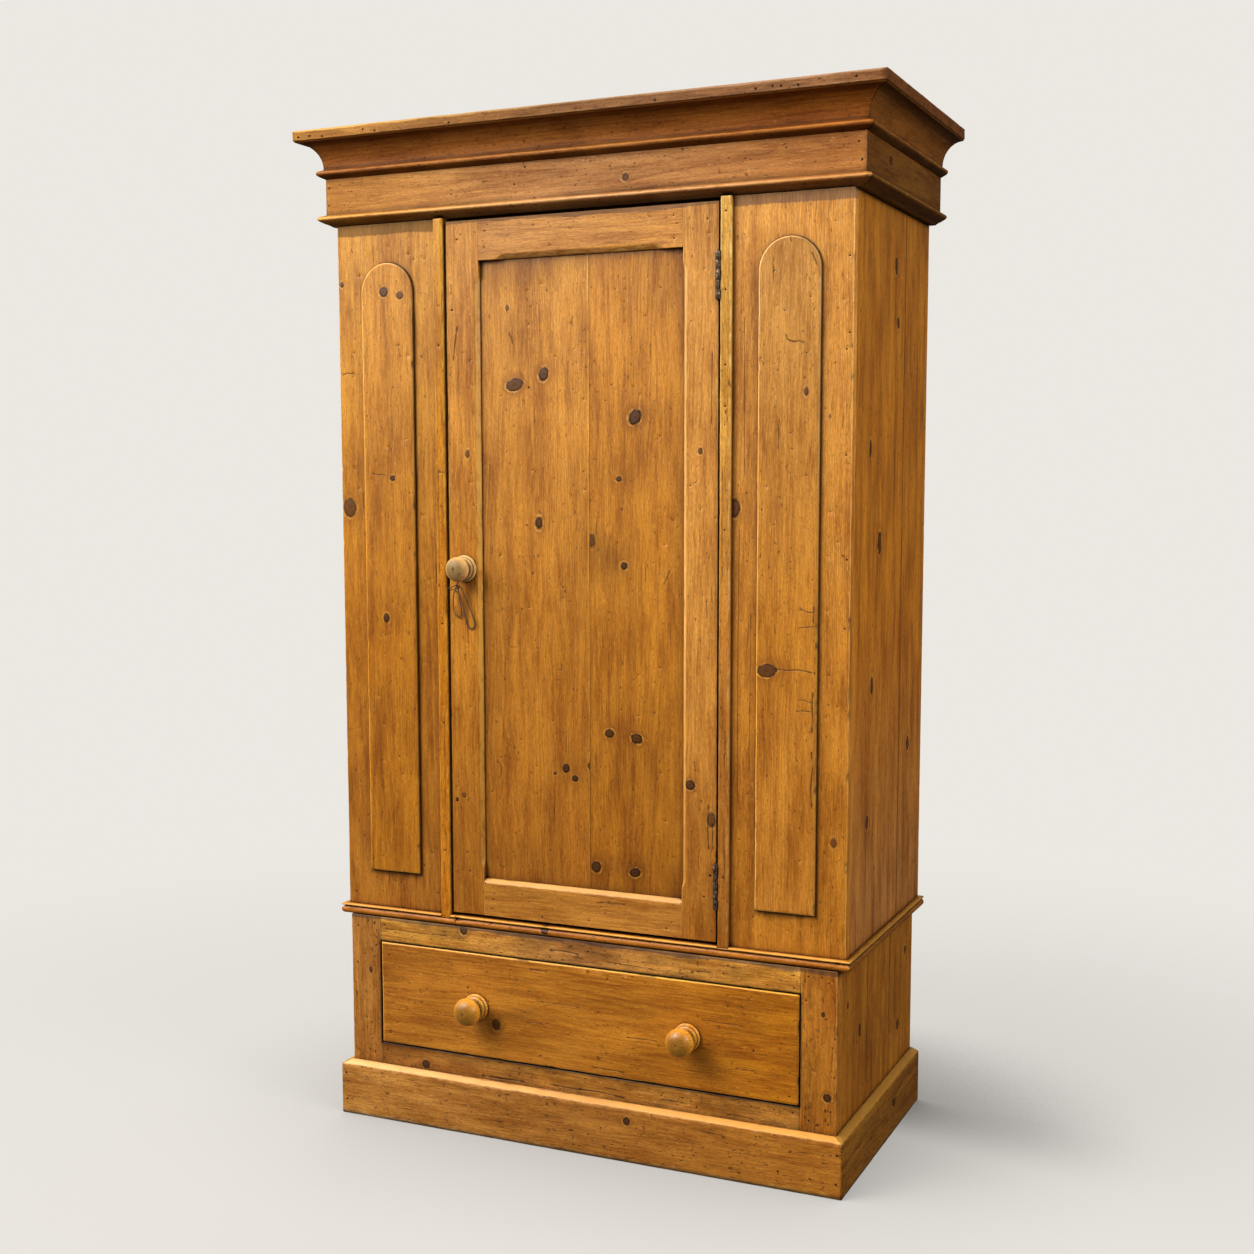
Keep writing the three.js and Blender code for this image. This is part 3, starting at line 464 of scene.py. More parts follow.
# ----------------------------------------------------------------- the twine
# It repeats the route of the CAD tube: a short end, one turn of the knob's
# neck, two hanging loops and a second short end.
KNOB_X, KNOB_Z, DOOR_FRONT_Y = -240.0, 1112.0, -4.0
NECK_Y = DOOR_FRONT_Y - 16
NECK_R = 13.9 + 1
route = [(-270, -20.5, 1073.5), (-262, -21.5, 1076), (-254, -21.6, 1079.6), (-249.2, -20.8, 1083.6), (-247.2, -20, 1089)]
for i in range(11):
    ang = math.radians(-112 - 33.6 * i)
    route.append((KNOB_X + NECK_R * math.cos(ang), NECK_Y + 0.5 - 0.1 * i, KNOB_Z + NECK_R * math.sin(ang)))
route += [
    (-242.4, -22.2, 1090), (-247, -23.2, 1083), (-254, -20.4, 1070), (-260.6, -15, 1052), (-262.4, -10, 1034),
    (-259, -7.4, 1022), (-253, -6.6, 1018.2), (-247.6, -7.2, 1023), (-246.4, -9.6, 1036), (-247.4, -14.2, 1054),
    (-247.7, -16.7, 1066), (-247.6, -17.8, 1072.4), (-246.3, -18.4, 1075.6), (-243.3, -18.7, 1077), (-240.3, -18.4, 1075.6),
    (-239, -17.7, 1072.4), (-237.8, -16, 1066), (-234.4, -12.4, 1055), (-227.4, -8.2, 1034),
    (-221, -6.4, 1014), (-219.4, -6, 1004), (-223, -6, 997.4), (-229.6, -6, 996.6), (-235.4, -6.2, 1003),
    (-239.6, -7, 1018), (-241, -9.6, 1036), (-243.4, -16.8, 1056), (-247, -21, 1066.6), (-252.2, -24.2, 1072.2),
    (-258.2, -23.2, 1073), (-265, -20.6, 1069.4),
]


def centripetal(points, per=12):
    """A centripetal Catmull-Rom curve through the points, as the CAD tube follows."""
    p = [np.array(q, float) for q in points]
    p = [2 * p[0] - p[1]] + p + [2 * p[-1] - p[-2]]
    out = []
    for i in range(1, len(p) - 2):
        a, b, c, d = p[i - 1 : i + 3]
        ta = 0.0
        tb = ta + max(np.linalg.norm(b - a), 1e-6) ** 0.5
        tc = tb + max(np.linalg.norm(c - b), 1e-6) ** 0.5
        td = tc + max(np.linalg.norm(d - c), 1e-6) ** 0.5
        for k in range(per):
            t = tb + (tc - tb) * k / per
            a1 = (tb - t) / (tb - ta) * a + (t - ta) / (tb - ta) * b
            a2 = (tc - t) / (tc - tb) * b + (t - tb) / (tc - tb) * c
            a3 = (td - t) / (td - tc) * c + (t - tc) / (td - tc) * d
            b1 = (tc - t) / (tc - ta) * a1 + (t - ta) / (tc - ta) * a2
            b2 = (td - t) / (td - tb) * a2 + (t - tb) / (td - tb) * a3
            out.append((tc - t) / (tc - tb) * b1 + (t - tb) / (tc - tb) * b2)
    out.append(p[-2])
    return np.array(out)


twine_line = row(centripetal(route))
crv = bpy.data.curves.new("twine_on_knob", "CURVE")
crv.dimensions = "3D"
crv.bevel_depth = 0.001
crv.bevel_resolution = 3
crv.use_fill_caps = True
sp = crv.splines.new("POLY")
sp.points.add(len(twine_line) - 1)
for q, pt in zip(sp.points, twine_line):
    q.co = (*pt, 1.0)
crv.materials.append(TWINE)
twine = bpy.data.objects.new("twine_on_knob", crv)
SCENE.collection.objects.link(twine)


def knot_on_twine():
    """The small tight knot that gathers the loops just under the knob."""
    n, m, r, k = 108, 10, 1.0, 1.45
    t = np.arange(n) / n * 2 * np.pi
    c = np.column_stack([k * (np.sin(t) + 2 * np.sin(2 * t)), -1.9 * np.sin(3 * t), 1.1 * k * (np.cos(t) - 2 * np.cos(2 * t))])
    tan = np.roll(c, -1, 0) - np.roll(c, 1, 0)
    tan /= np.linalg.norm(tan, axis=1)[:, None]
    b = np.cross(tan, (0.0, 1.0, 0.0))
    b /= np.linalg.norm(b, axis=1)[:, None]
    w = np.cross(b, tan)
    phi = np.arange(m) / m * 2 * np.pi
    v = (c[:, None, :] + r * (np.cos(phi)[None, :, None] * b[:, None, :] + np.sin(phi)[None, :, None] * w[:, None, :])).reshape(-1, 3)
    ca, sa = math.cos(-0.44), math.sin(-0.44)
    v = np.column_stack([v[:, 0] * ca - v[:, 2] * sa, v[:, 1], v[:, 0] * sa + v[:, 2] * ca]) + (-247.5, -21.5, 1078.3)
    f = [[i * m + j, i * m + (j + 1) % m, ((i + 1) % n) * m + (j + 1) % m, ((i + 1) % n) * m + j] for i in range(n) for j in range(m)]
    o = v.mean(0)
    vol = sum(np.dot(v[q[0]] - o, np.cross(v[q[1]] - o, v[q[2]] - o)) + np.dot(v[q[0]] - o, np.cross(v[q[2]] - o, v[q[3]] - o)) for q in f)
    if vol < 0:
        f = [q[::-1] for q in f]
    mesh = bpy.data.meshes.new("twine_knot")
    mesh.from_pydata(row(v).tolist(), [], f)
    mesh.materials.append(TWINE)
    mesh.polygons.foreach_set("use_smooth", np.ones(len(mesh.polygons), bool))
    obj = bpy.data.objects.new("twine_knot", mesh)
    SCENE.collection.objects.link(obj)
    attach(obj, "door")
    return obj


twine_knot = knot_on_twine()
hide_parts("knob_twine")
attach(twine, "door")

# --------------------------------------------------------------- mesh builders
ORIENT = {
    "front": ((1, 0, 0), (0, 0, 1), (0, -1, 0)),
    "back": ((-1, 0, 0), (0, 0, 1), (0, 1, 0)),
    "right": ((0, 1, 0), (0, 0, 1), (1, 0, 0)),
    "left": ((0, -1, 0), (0, 0, 1), (-1, 0, 0)),
    "top": ((1, 0, 0), (0, 1, 0), (0, 0, 1)),
    "bottom": ((1, 0, 0), (0, -1, 0), (0, 0, -1)),
}
_seed = [11]


def next_seed():
    _seed[0] += 1
    return _seed[0]


def limits(node):
    """A node's box in design millimetres: x0, x1, y0, y1, z0, z1."""
    lo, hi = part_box(node)
    return (
        lo[0] * 1000, hi[0] * 1000, lo[1] * 1000 + ORIGIN_Y, hi[1] * 1000 + ORIGIN_Y, lo[2] * 1000, hi[2] * 1000,
    )


def signed_volume(verts, faces):
    """Six times a closed mesh's volume: negative when its faces point inwards."""
    tris = np.array([(f[0], f[t], f[t + 1]) for f in faces for t in range(1, len(f) - 1)])
    a, b, c = verts[tris[:, 0]], verts[tris[:, 1]], verts[tris[:, 2]]
    return float((a * np.cross(b, c)).sum())


def set_attr(mesh, name, values):
    att = mesh.attributes.new(name, "FLOAT_VECTOR", "POINT")
    att.data.foreach_set("vector", np.asarray(values, np.float32).ravel())


def finish_piece(name, verts_mm, faces, smooth_flags, attrs, mat, node, body):
    mesh = bpy.data.meshes.new(name)
    mesh.from_pydata(row(verts_mm).tolist(), [], faces)
    mesh.polygons.foreach_set("use_smooth", np.asarray(smooth_flags, bool))
    for k, v in attrs.items():
        set_attr(mesh, k, v)
    mesh.materials.append(mat)
    mesh.validate(clean_customdata=False)
    obj = bpy.data.objects.new(name, mesh)
    SCENE.collection.objects.link(obj)
    if node:
        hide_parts(*([node] if isinstance(node, str) else node))
    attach(obj, body)
    return obj


def knot_attrs(a, l, knots):
    """kn and kp for points at across a and along l; knots are (a, l, R, stretch, dark)."""
    n = len(a)
    kn = np.zeros((n, 3))
    kn[:, 0] = 9.0
    kn[:, 2] = 1.0
    kp = np.zeros((n, 3))
    kp[:, 0] = 5.0
    if not knots:
        return kn, kp
    best = np.full(n, 1e9)
    for i, (ka, kl, R, st, dk, *lean) in enumerate(knots):
        ct, sn = (math.cos(lean[0]), math.sin(lean[0])) if lean else (1.0, 0.0)
        da, dl = ((a - ka) * ct - (l - kl) * sn) / R, ((a - ka) * sn + (l - kl) * ct) / (R * st)
        dist = np.hypot(a - ka, l - kl)
        others = [math.hypot(ka - q[0], kl - q[1]) for j, q in enumerate(knots) if j != i]
        reach = min([5.2 * R * max(1, st * 0.8)] + [0.5 * o - 3.0 for o in others])
        near = dist < best
        best = np.where(near, dist, best)
        kn[near, 0] = da[near]
        kn[near, 1] = dl[near]
        kn[near, 2] = (dist[near] > reach) * 1.0
        kp[near, 0] = R
        kp[near, 1] = dk
        kp[near, 2] = 3.1 + 1.7 * i
    return kn, kp


def tint_of(verts, tint):
    """tint is a colour multiplier, or an axis and a list of (position, multiplier)."""
    if isinstance(tint[0], str):
        q = verts[:, "xyz".index(tint[0])]
        at = [t[0] for t in tint[1]]
        return np.column_stack([np.interp(q, at, [t[1][c] for t in tint[1]]) for c in range(3)])
    return np.tile(np.array(tint, float), (len(verts), 1))


def ring_points(r, n, phase=0.0):
    t = phase + np.arange(n) / n * 2 * np.pi
    return np.column_stack([r * np.cos(t), r * np.sin(t)])


def board(
    name, node, body, mat, orient, *, outline=None, face=None, depth=None, grain="v", step=9.0, r=1.1, r_fn=None,
    chamfer=None, groove=None, holes=(), knots=(), cracks=(), worms=1.0, wavy=0.25, tint=(1, 1, 1), pith=None, band=None,
    back_r=0.6, wear=0.7, seed=None, dents=1.0, wall_rows=1, marks_and_painted_light=None, wall_noise=0.0, extra_pts=None, extra_clear=None,
    chip_at=(), fade_edge=0.0, trim=True,
):
    """A board with a detailed face. outline is a counter-clockwise polygon on the
    face (u, v); the rest of the board is drawn behind it. The arris is rounded by
    r, worn unevenly; r_fn(u, v, edge) may give a radius and how flat its cut is.
    holes: (u, v, radius, depth); knots: (u, v, radius, stretch, darkness);
    cracks: (points, width, depth); worms scales a scatter of small holes."""
    seed = next_seed() if seed is None else seed
    rng = np.random.default_rng(seed * 977 + 5)
    U, V, N = (np.array(q, float) for q in ORIENT[orient])
    x0, x1, y0, y1, z0, z1 = limits(node if isinstance(node, str) else node[0])
    corners = np.array([[x, y, z] for x in (x0, x1) for y in (y0, y1) for z in (z0, z1)])
    if outline is None:
        us, vs = corners @ U, corners @ V
        outline = [(us.min(), vs.min()), (us.max(), vs.min()), (us.max(), vs.max()), (us.min(), vs.max())]
    if face is None:
        face = (corners @ N).max()
    if depth is None:
        depth = (corners @ N).max() - (corners @ N).min()
    poly = np.array(outline, float)
    m = len(poly)

    # the perimeter, cut into short lengths
    P, nprev, nnext, eid, along = [], [], [], [], []
    for i in range(m):
        a, b = poly[i], poly[(i + 1) % m]
        L = np.linalg.norm(b - a)
        tdir = (b - a) / L
        nin = np.array([-tdir[1], tdir[0]])
        z = poly[i - 1]
        tp = (a - z) / np.linalg.norm(a - z)
        npv = np.array([-tp[1], tp[0]])
        k = max(1, int(round(L / (step * 0.8))))
        for j in range(k):
            P.append(a + tdir * L * j / k)
            nprev.append(npv if j == 0 else nin)
            nnext.append(nin)
            eid.append(i)
            along.append(L * j / k)
    P, nprev, nnext, eid = np.array(P), np.array(nprev), np.array(nnext), np.array(eid)
    n = len(P)

    per = np.cumsum(np.r_[0, np.linalg.norm(np.diff(P, axis=0), axis=1)])
    base = r * (1 + 0.45 * noise1(per / 37.0, seed) + 0.3 * noise1(per / 11.0, seed + 1))
    chips = np.zeros(n)
    for _ in range(int(per[-1] / 260 * wear) + 1):
        c, w = rng.uniform(0, per[-1]), rng.uniform(3, 9)
        chips += rng.uniform(0.2, 1.3) * r * np.exp(-(((per - c) / w) ** 2))
    chip_dark = np.zeros(n)
    for cx, cy, cw, cd in chip_at:
        near = np.exp(-(((P[:, 0] - cx) ** 2 + (P[:, 1] - cy) ** 2) / cw**2))
        chips += cd * near
        chip_dark = np.maximum(chip_dark, 0.90 * smooth(0.10, 0.42, near) * (0.55 + 0.45 * noise1(per / 4.0, seed + 6)))
    rad = np.clip(base + chips, 0.25, 4.0 * r)
    flat = np.zeros(n)
    rprev, rnext, fprev, fnext = rad.copy(), rad.copy(), flat.copy(), flat.copy()
    if r_fn is not None:
        for i in range(n):
            q = r_fn(P[i][0], P[i][1], int(eid[i]), float(along[i]))
            if q is not None:
                rnext[i], fnext[i] = q[0] + (rad[i] - r) * 0.35 * (q[1] < 0.5), q[1]
            e_before = int(eid[i - 1])
            if e_before != eid[i]:
                Lb = np.linalg.norm(poly[(e_before + 1) % m] - poly[e_before])
                q = r_fn(P[i][0], P[i][1], e_before, float(Lb))
                if q is not None:
                    rprev[i], fprev[i] = q[0] + (rad[i] - r) * 0.35 * (q[1] < 0.5), q[1]
            else:
                rprev[i], fprev[i] = rnext[i], fnext[i]

    def inset(dp, dn):
        """Perimeter points moved in by dp from the edge before and dn from the edge after."""
        out = np.empty((n, 2))
        det = nprev[:, 0] * nnext[:, 1] - nprev[:, 1] * nnext[:, 0]
        ok = np.abs(det) > 0.05
        sd = np.where(ok, det, 1.0)
        ox = (dp * nnext[:, 1] - dn * nprev[:, 1]) / sd
        oy = (nprev[:, 0] * dn - nnext[:, 0] * dp) / sd
        avg = (nprev + nnext) / 2
        avg /= np.linalg.norm(avg, axis=1)[:, None]
        d = (dp + dn) / 2
        out[:, 0] = P[:, 0] + np.where(ok, ox, avg[:, 0] * d)
        out[:, 1] = P[:, 1] + np.where(ok, oy, avg[:, 1] * d)
        return out

    def arris(t, rp, fp):
        """Inset and drop at t (0 on the face, 1 on the side) for radius rp, flatness fp."""
        ph = t * math.pi / 2
        round_i, round_w = 1 - np.sin(ph), 1 - np.cos(ph)
        flat_i, flat_w = 1 - t, t
        return rp * (fp * flat_i + (1 - fp) * round_i), rp * (fp * flat_w + (1 - fp) * round_w)

    # features on the face
    lo, hi = poly.min(0), poly.max(0)
    area = (hi[0] - lo[0]) * (hi[1] - lo[1])
    holes = list(holes)
    for _ in range(int(area / 5200 * worms)):
        q = lo + (hi - lo) * rng.uniform(0.02, 0.98, 2)
        holes.append((q[0], q[1], rng.uniform(0.55, 1.15), rng.uniform(0.8, 1.8)))
    dent = []
    for _ in range(int(area / 9000 * dents)):
        q = lo + (hi - lo) * rng.uniform(0.02, 0.98, 2)
        dent.append((q[0], q[1], rng.uniform(2.2, 7.0), rng.uniform(0.12, 0.42)))
    cracks = [(np.array(c[0], float), c[1], c[2]) for c in cracks]
    for _ in range(int(area / 42000 * dents)):
        q = lo + (hi - lo) * rng.uniform(0.05, 0.95, 2)
        L = rng.uniform(8, 46)
        k = max(3, int(L / 5))
        s = np.linspace(0, L, k)
        wob = np.cumsum(rng.normal(0, 0.35, k))
        pts = np.column_stack([q[0] + wob, q[1] + s]) if grain == "v" else np.column_stack([q[0] + s, q[1] + wob])
        cracks.append((pts, rng.uniform(0.45, 0.8), rng.uniform(0.4, 0.9)))

    inner = inset(*(arris(0.0, q, f)[0] + 2.4 for q, f in ((rprev, fprev), (rnext, fnext))))
    ilo, ihi = inner.min(0), inner.max(0)

    def inside(q, margin=0.0):
        """Which points lie in the inner outline, at least margin from its corners' box."""
        q = np.asarray(q, float)
        ok = (q[:, 0] > ilo[0] + margin) & (q[:, 0] < ihi[0] - margin) & (q[:, 1] > ilo[1] + margin) & (q[:, 1] < ihi[1] - margin)
        if m > 4 or r_fn is not None:
            c = np.zeros(len(q), bool)
            A, B = inner, np.roll(inner, -1, axis=0)
            for p1, p2 in zip(A, B):
                if p1[1] == p2[1]:
                    continue
                hit = ((p1[1] > q[:, 1]) != (p2[1] > q[:, 1])) & (
                    q[:, 0] < (p2[0] - p1[0]) * (q[:, 1] - p1[1]) / (p2[1] - p1[1]) + p1[0]
                )
                c ^= hit
            ok &= c
            near = np.full(len(q), 1e9)
            for s in range(0, len(q), 4000):
                dd = q[s : s + 4000, None, :] - inner[None, :, :]
                near[s : s + 4000] = np.sqrt((dd**2).sum(2)).min(1)
            ok &= near > margin
        return ok

    feat_pts, clear = [], []
    keep_holes = []
    for hx, hy, hr, hd in holes:
        if not inside([[hx, hy]], hr * 2.2)[0]:
            continue
        if any(math.hypot(hx - q[0], hy - q[1]) < (hr + q[2]) * 2.4 for q in keep_holes):
            continue
        keep_holes.append((hx, hy, hr, hd))
        c = np.array([hx, hy])
        feat_pts += [c[None, :], c + ring_points(hr * 0.6, 6), c + ring_points(hr, 8, 0.3), c + ring_points(hr * 1.35, 8)]
        clear.append((hx, hy, hr * 2.3))
    for hx, hy, hr, hd in dent:
        if not inside([[hx, hy]], hr * 1.1)[0] or any(math.hypot(hx - q[0], hy - q[1]) < hr + q[2] for q in keep_holes):
            continue
        c = np.array([hx, hy])
        feat_pts += [c[None, :], c + ring_points(hr * 0.5, 5), c + ring_points(hr, 7, 0.4)]
        clear.append((hx, hy, hr * 1.2))
    kk = []
    for kx, ky, kR, st, dk, *lean in knots:
        kk.append((kx, ky, kR, st, dk, *lean))
        c = np.array([kx, ky])
        sc = np.array([1, st]) if grain == "v" else np.array([st, 1])
        for f, k in ((0.35, 6), (0.7, 10), (0.95, 14), (1.15, 14), (1.6, 14), (2.3, 14), (3.2, 14)):
            q = c + ring_points(kR * f, k, f) * sc
            feat_pts.append(q[inside(q, 0.8)])
        feat_pts.append(c[None, :])
        clear.append((kx, ky, kR * max(1, st) * 1.3))
    crack_edges = []
    crack_pts = []
    for pts, cw, cd in cracks:
        seg = np.diff(pts, axis=0)
        tn = np.vstack([seg, seg[-1:]])
        tn = tn / np.maximum(np.linalg.norm(tn, axis=1), 1e-6)[:, None]
        nn = np.column_stack([-tn[:, 1], tn[:, 0]])
        k = len(pts)
        taper = np.sin(np.linspace(0.12, math.pi - 0.12, k)) if k < 60 else np.ones(k)
        ok = inside(pts, 1.5)
        if not ok.all():
            pts, nn, taper = pts[ok], nn[ok], taper[ok]
        if len(pts) < 3:
            continue
        crack_pts.append((pts, nn, taper, cw, cd))
    allp = [inner]
    count = n
    edges = [(i, (i + 1) % n) for i in range(n)]
    for pts, nn, taper, cw, cd in crack_pts:
        for off in (-0.5, 0.0, 0.5):
            q = pts + nn * (off * cw * taper)[:, None]
            allp.append(q)
            edges += [(count + i, count + i + 1) for i in range(len(q) - 1)]
            count += len(q)
        for off in (-2.2, 2.2):
            q = pts + nn * (off * cw)
            q = q[inside(q, 0.6)]
            allp.append(q)
            count += len(q)
    crack_all = np.vstack([c[0] for c in crack_pts]) if crack_pts else np.zeros((0, 2))

    def far_from_cracks(q, dist):
        if not len(crack_all) or not len(q):
            return np.ones(len(q), bool)
        out = np.ones(len(q), bool)
        for s in range(0, len(q), 4000):
            dd = q[s : s + 4000, None, :] - crack_all[None, :, :]
            out[s : s + 4000] = np.sqrt((dd**2).sum(2)).min(1) > dist
        return out

    if feat_pts:
        fp = np.vstack(feat_pts)
        fp = fp[inside(fp, 0.4)]
        fp = fp[far_from_cracks(fp, 1.6)]
        allp.append(fp)
    gx = np.arange(ilo[0] + step * 0.6, ihi[0], step)
    gy = np.arange(ilo[1] + step * 0.6, ihi[1], step)
    if extra_pts is not None:
        q = extra_pts[inside(extra_pts, 0.8)]
        for cx, cy, cr in clear:
            q = q[np.hypot(q[:, 0] - cx, q[:, 1] - cy) > cr * 0.8]
        allp.append(q[far_from_cracks(q, 1.8)])
    if len(gx) and len(gy):
        G = np.array(np.meshgrid(gx, gy)).reshape(2, -1).T
        G = G + rng.uniform(-0.25, 0.25, G.shape) * step
        G = G[inside(G, step * 0.45)]
        if extra_clear is not None:
            G = G[extra_clear(G)]
        for cx, cy, cr in clear:
            G = G[np.hypot(G[:, 0] - cx, G[:, 1] - cy) > cr]
        G = G[far_from_cracks(G, 3.0)]
        allp.append(G)
    pts2 = np.vstack(allp)
    rv, re, rf, ov, oe, of_ = delaunay_2d_cdt([Vector(q) for q in pts2.tolist()], edges, [], 1, 1e-4, True)
    fv = np.array([(q[0], q[1]) for q in rv])
    first = {}
    for i, src in enumerate(ov):
        for s in src:
            if s < n:
                first[s] = i
    tri = []
    for f in rf:
        a, b, c = (fv[k] for k in f[:3])
        turn = (b[0] - a[0]) * (c[1] - a[1]) - (b[1] - a[1]) * (c[0] - a[0])
        tri.append(list(f) if turn > 0 else list(f)[::-1])

    # The triangulation also bridges the small hollows of the uneven outline. The
    # face is only what is reached from inside without crossing the outline.
    rim = {frozenset((first[i], first[(i + 1) % n])) for i in range(n)}
    beside = {}
    for k, f in enumerate(tri):
        for e in zip(f, f[1:] + f[:1]):
            beside.setdefault(frozenset(e), []).append(k)
    on_rim = set(first.values())
    todo = [k for k, f in enumerate(tri) if not trim or not on_rim.issuperset(f)]
    kept = set(todo)
    while todo:
        f = tri[todo.pop()]
        for e in zip(f, f[1:] + f[:1]):
            if frozenset(e) not in rim:
                more = [j for j in beside[frozenset(e)] if j not in kept]
                kept.update(more)
                todo += more
    tri = [f for k, f in enumerate(tri) if k in kept]

    def height(q):
        """How far the face stands from its plane; never above it."""
        q = np.asarray(q, float)
        s = np.array([1 / 95.0, 1 / 310.0]) if grain == "v" else np.array([1 / 310.0, 1 / 95.0])
        h = -wavy * (0.5 + 0.5 * noise(q * s, seed + 3))
        s2 = np.array([1 / 21.0, 1 / 70.0]) if grain == "v" else np.array([1 / 70.0, 1 / 21.0])
        h -= wavy * 0.35 * (0.5 + 0.5 * noise(q * s2, seed + 4))
        dark = np.zeros(len(q))
        for hx, hy, hr, hd in dent:
            dd = ((q[:, 0] - hx) ** 2 + (q[:, 1] - hy) ** 2) / (hr * hr)
            h -= hd * np.exp(-2.2 * dd) * (dd < 4)
        for hx, hy, hr, hd in keep_holes:
            dd = np.hypot(q[:, 0] - hx, q[:, 1] - hy) / hr
            near = dd < 1.6
            h -= np.where(near, hd * (1 - smooth(0.55, 1.15, dd)), 0)
            dark = np.maximum(dark, np.where(near, 1 - smooth(0.85, 1.4, dd), 0))
        for kx, ky, kR, st, dk, *_ in kk:
            sx, sy = (1, st) if grain == "v" else (st, 1)
            dd = np.hypot((q[:, 0] - kx) / sx, (q[:, 1] - ky) / sy) / kR
            h += 0.16 * (1 - smooth(0.75, 1.0, dd)) * min(1, kR / 8)
            h -= 0.22 * np.exp(-(((dd - 1.05) / 0.12) ** 2)) * dk
        for pts, nn, taper, cw, cd in crack_pts:
            plo, phi = pts.min(0) - 3, pts.max(0) + 3
            sel = np.where((q[:, 0] > plo[0]) & (q[:, 0] < phi[0]) & (q[:, 1] > plo[1]) & (q[:, 1] < phi[1]))[0]
            if not len(sel):
                continue
            dd = np.sqrt(((q[sel][:, None, :] - pts[None, :, :]) ** 2).sum(2))
            k = dd.argmin(1)
            perp = np.abs(((q[sel] - pts[k]) * nn[k]).sum(1))
            tl = np.sqrt(np.maximum(dd.min(1) ** 2 - perp**2, 0))
            on = (perp < 0.2 * cw) & (tl < 4)
            h[sel] -= np.where(on, cd * taper[k], 0)
            dark[sel] = np.maximum(dark[sel], np.where(on, 0.9, np.where((perp < 0.6 * cw) & (tl < 4), 0.45 * taper[k], 0)))
        return np.minimum(h, 0.0), dark

    hf, df = height(fv)
    loc = [np.column_stack([fv, hf])]
    wearv = [np.zeros(len(fv))]
    darkv = [df]
    faces = []
    smooth_f = []
    for f in tri:
        faces.append(f)
        smooth_f.append(True)
    prev = [first[i] for i in range(n)]
    idx = len(fv)

    def add_ring(q2, w, wr, smooth_flag=True, dk=None):
        nonlocal prev, idx
        loc.append(np.column_stack([q2, w]))
        wearv.append(np.full(n, wr) if np.isscalar(wr) else wr)
        darkv.append(np.zeros(n) if dk is None else dk)
        cur = list(range(idx, idx + n))
        for i in range(n):
            j = (i + 1) % n
            faces.append([prev[i], cur[i], cur[j], prev[j]])
            smooth_f.append(smooth_flag)
        prev = cur
        idx += n

    hedge = height(P)[0]
    K = 4
    for k in range(K + 1):
        t = k / K
        ip, wp = arris(t, rprev, fprev)
        in_, wn_ = arris(t, rnext, fnext)
        q2 = inset(ip, in_)
        w = hedge * (1 - t) - (wp + wn_) / 2
        wr = wear * (0.45 if k == 0 else 1.0 if k < K else 0.75)
        add_ring(q2, w, wr, True, chip_dark * (0.6 if k == 0 else 1.0))
    side_in = np.zeros(n)
    start_w = -(rprev + rnext) / 2
    inner_wall = inset(np.full(n, 0.0), np.full(n, 0.0))
    levels = []
    if groove is not None:
        gw0, gw1, gfun = groove
        gp = np.array([gfun(P[i][0], P[i][1], int(eid[i - 1]) if eid[i - 1] != eid[i] else int(eid[i])) for i in range(n)])
        gn = np.array([gfun(P[i][0], P[i][1], int(eid[i])) for i in range(n)])
        add_ring(inset(side_in, side_in), np.full(n, -gw0 + 0.01), 0.0, False)
        add_ring(inset(gp, gn), np.full(n, -gw0), 0.0, False, np.full(n, 0.3))
        add_ring(inset(gp, gn), np.full(n, -gw1), 0.0, False, np.full(n, 0.3))
        add_ring(inset(side_in, side_in), np.full(n, -gw1 - 0.01), 0.0, False)
    else:
        for k in range(1, wall_rows + 1):
            f = k / (wall_rows + 1)
            wn = wall_noise * (0.5 + 0.5 * noise(np.column_stack([per / 14.0, np.full(n, k * 0.8)]), seed + 9))
            add_ring(inset(wn, wn), start_w * (1 - f) + (-depth + back_r) * f, 0.15 * (wall_noise > 0), wall_noise > 0)
    add_ring(inset(side_in, side_in), np.full(n, -depth + back_r), 0.3, False)
    add_ring(inset(side_in + back_r, side_in + back_r), np.full(n, -depth), 0.3, False)
    back2 = inset(side_in + back_r, side_in + back_r)
    # back face
    rv2, _, rf2, ov2, _, _ = delaunay_2d_cdt(
        [Vector(q) for q in back2.tolist()], [(i, (i + 1) % n) for i in range(n)], [], 1, 1e-4, True
    )
    m2 = {}
    for i, src in enumerate(ov2):
        if src:
            m2[i] = prev[src[0]]
    for f in rf2:
        if all(k in m2 for k in f):
            faces.append([m2[k] for k in reversed(f)])
            smooth_f.append(False)

    L = np.vstack(loc)
    world = L[:, 0:1] * U + L[:, 1:2] * V + (face + L[:, 2:3]) * N
    if grain == "v":
        ac, al = L[:, 0], L[:, 1]
        kl = kk
    else:
        ac, al = L[:, 1], L[:, 0]
        kl = [(k[1], k[0], *k[2:]) for k in kk]
    centre = (ac.min() + ac.max()) / 2
    kn, kp = knot_attrs(ac, al, kl)
    nv = len(L)
    if pith is None:
        pith = (rng.uniform(-0.35, 0.35) * (ac.max() - ac.min()), -rng.uniform(35, 130))
    wood = np.column_stack([ac - centre, al, L[:, 2]])
    pithv = np.tile(np.array([pith[0], pith[1], (seed * 0.37) % 7.0 + 0.3]), (nv, 1))
    wv = np.concatenate(wearv)
    dv = np.concatenate(darkv)
    bandv = np.full(nv, -50.0) if band is None else band(world)
    tv = tint_of(world, tint)
    # stains, streaks and dark joints, and painted light and shade, multiply the colour here
    if marks_and_painted_light is not None:
        tv = tv * marks_and_painted_light(world)[:, None]
    return finish_piece(
        name, world, faces, smooth_f,
        dict(wood=wood, pith=pithv, kn=kn, kp=kp, fx=np.column_stack([wv, dv, bandv]), tint=tv),
        mat, node, body,
    )


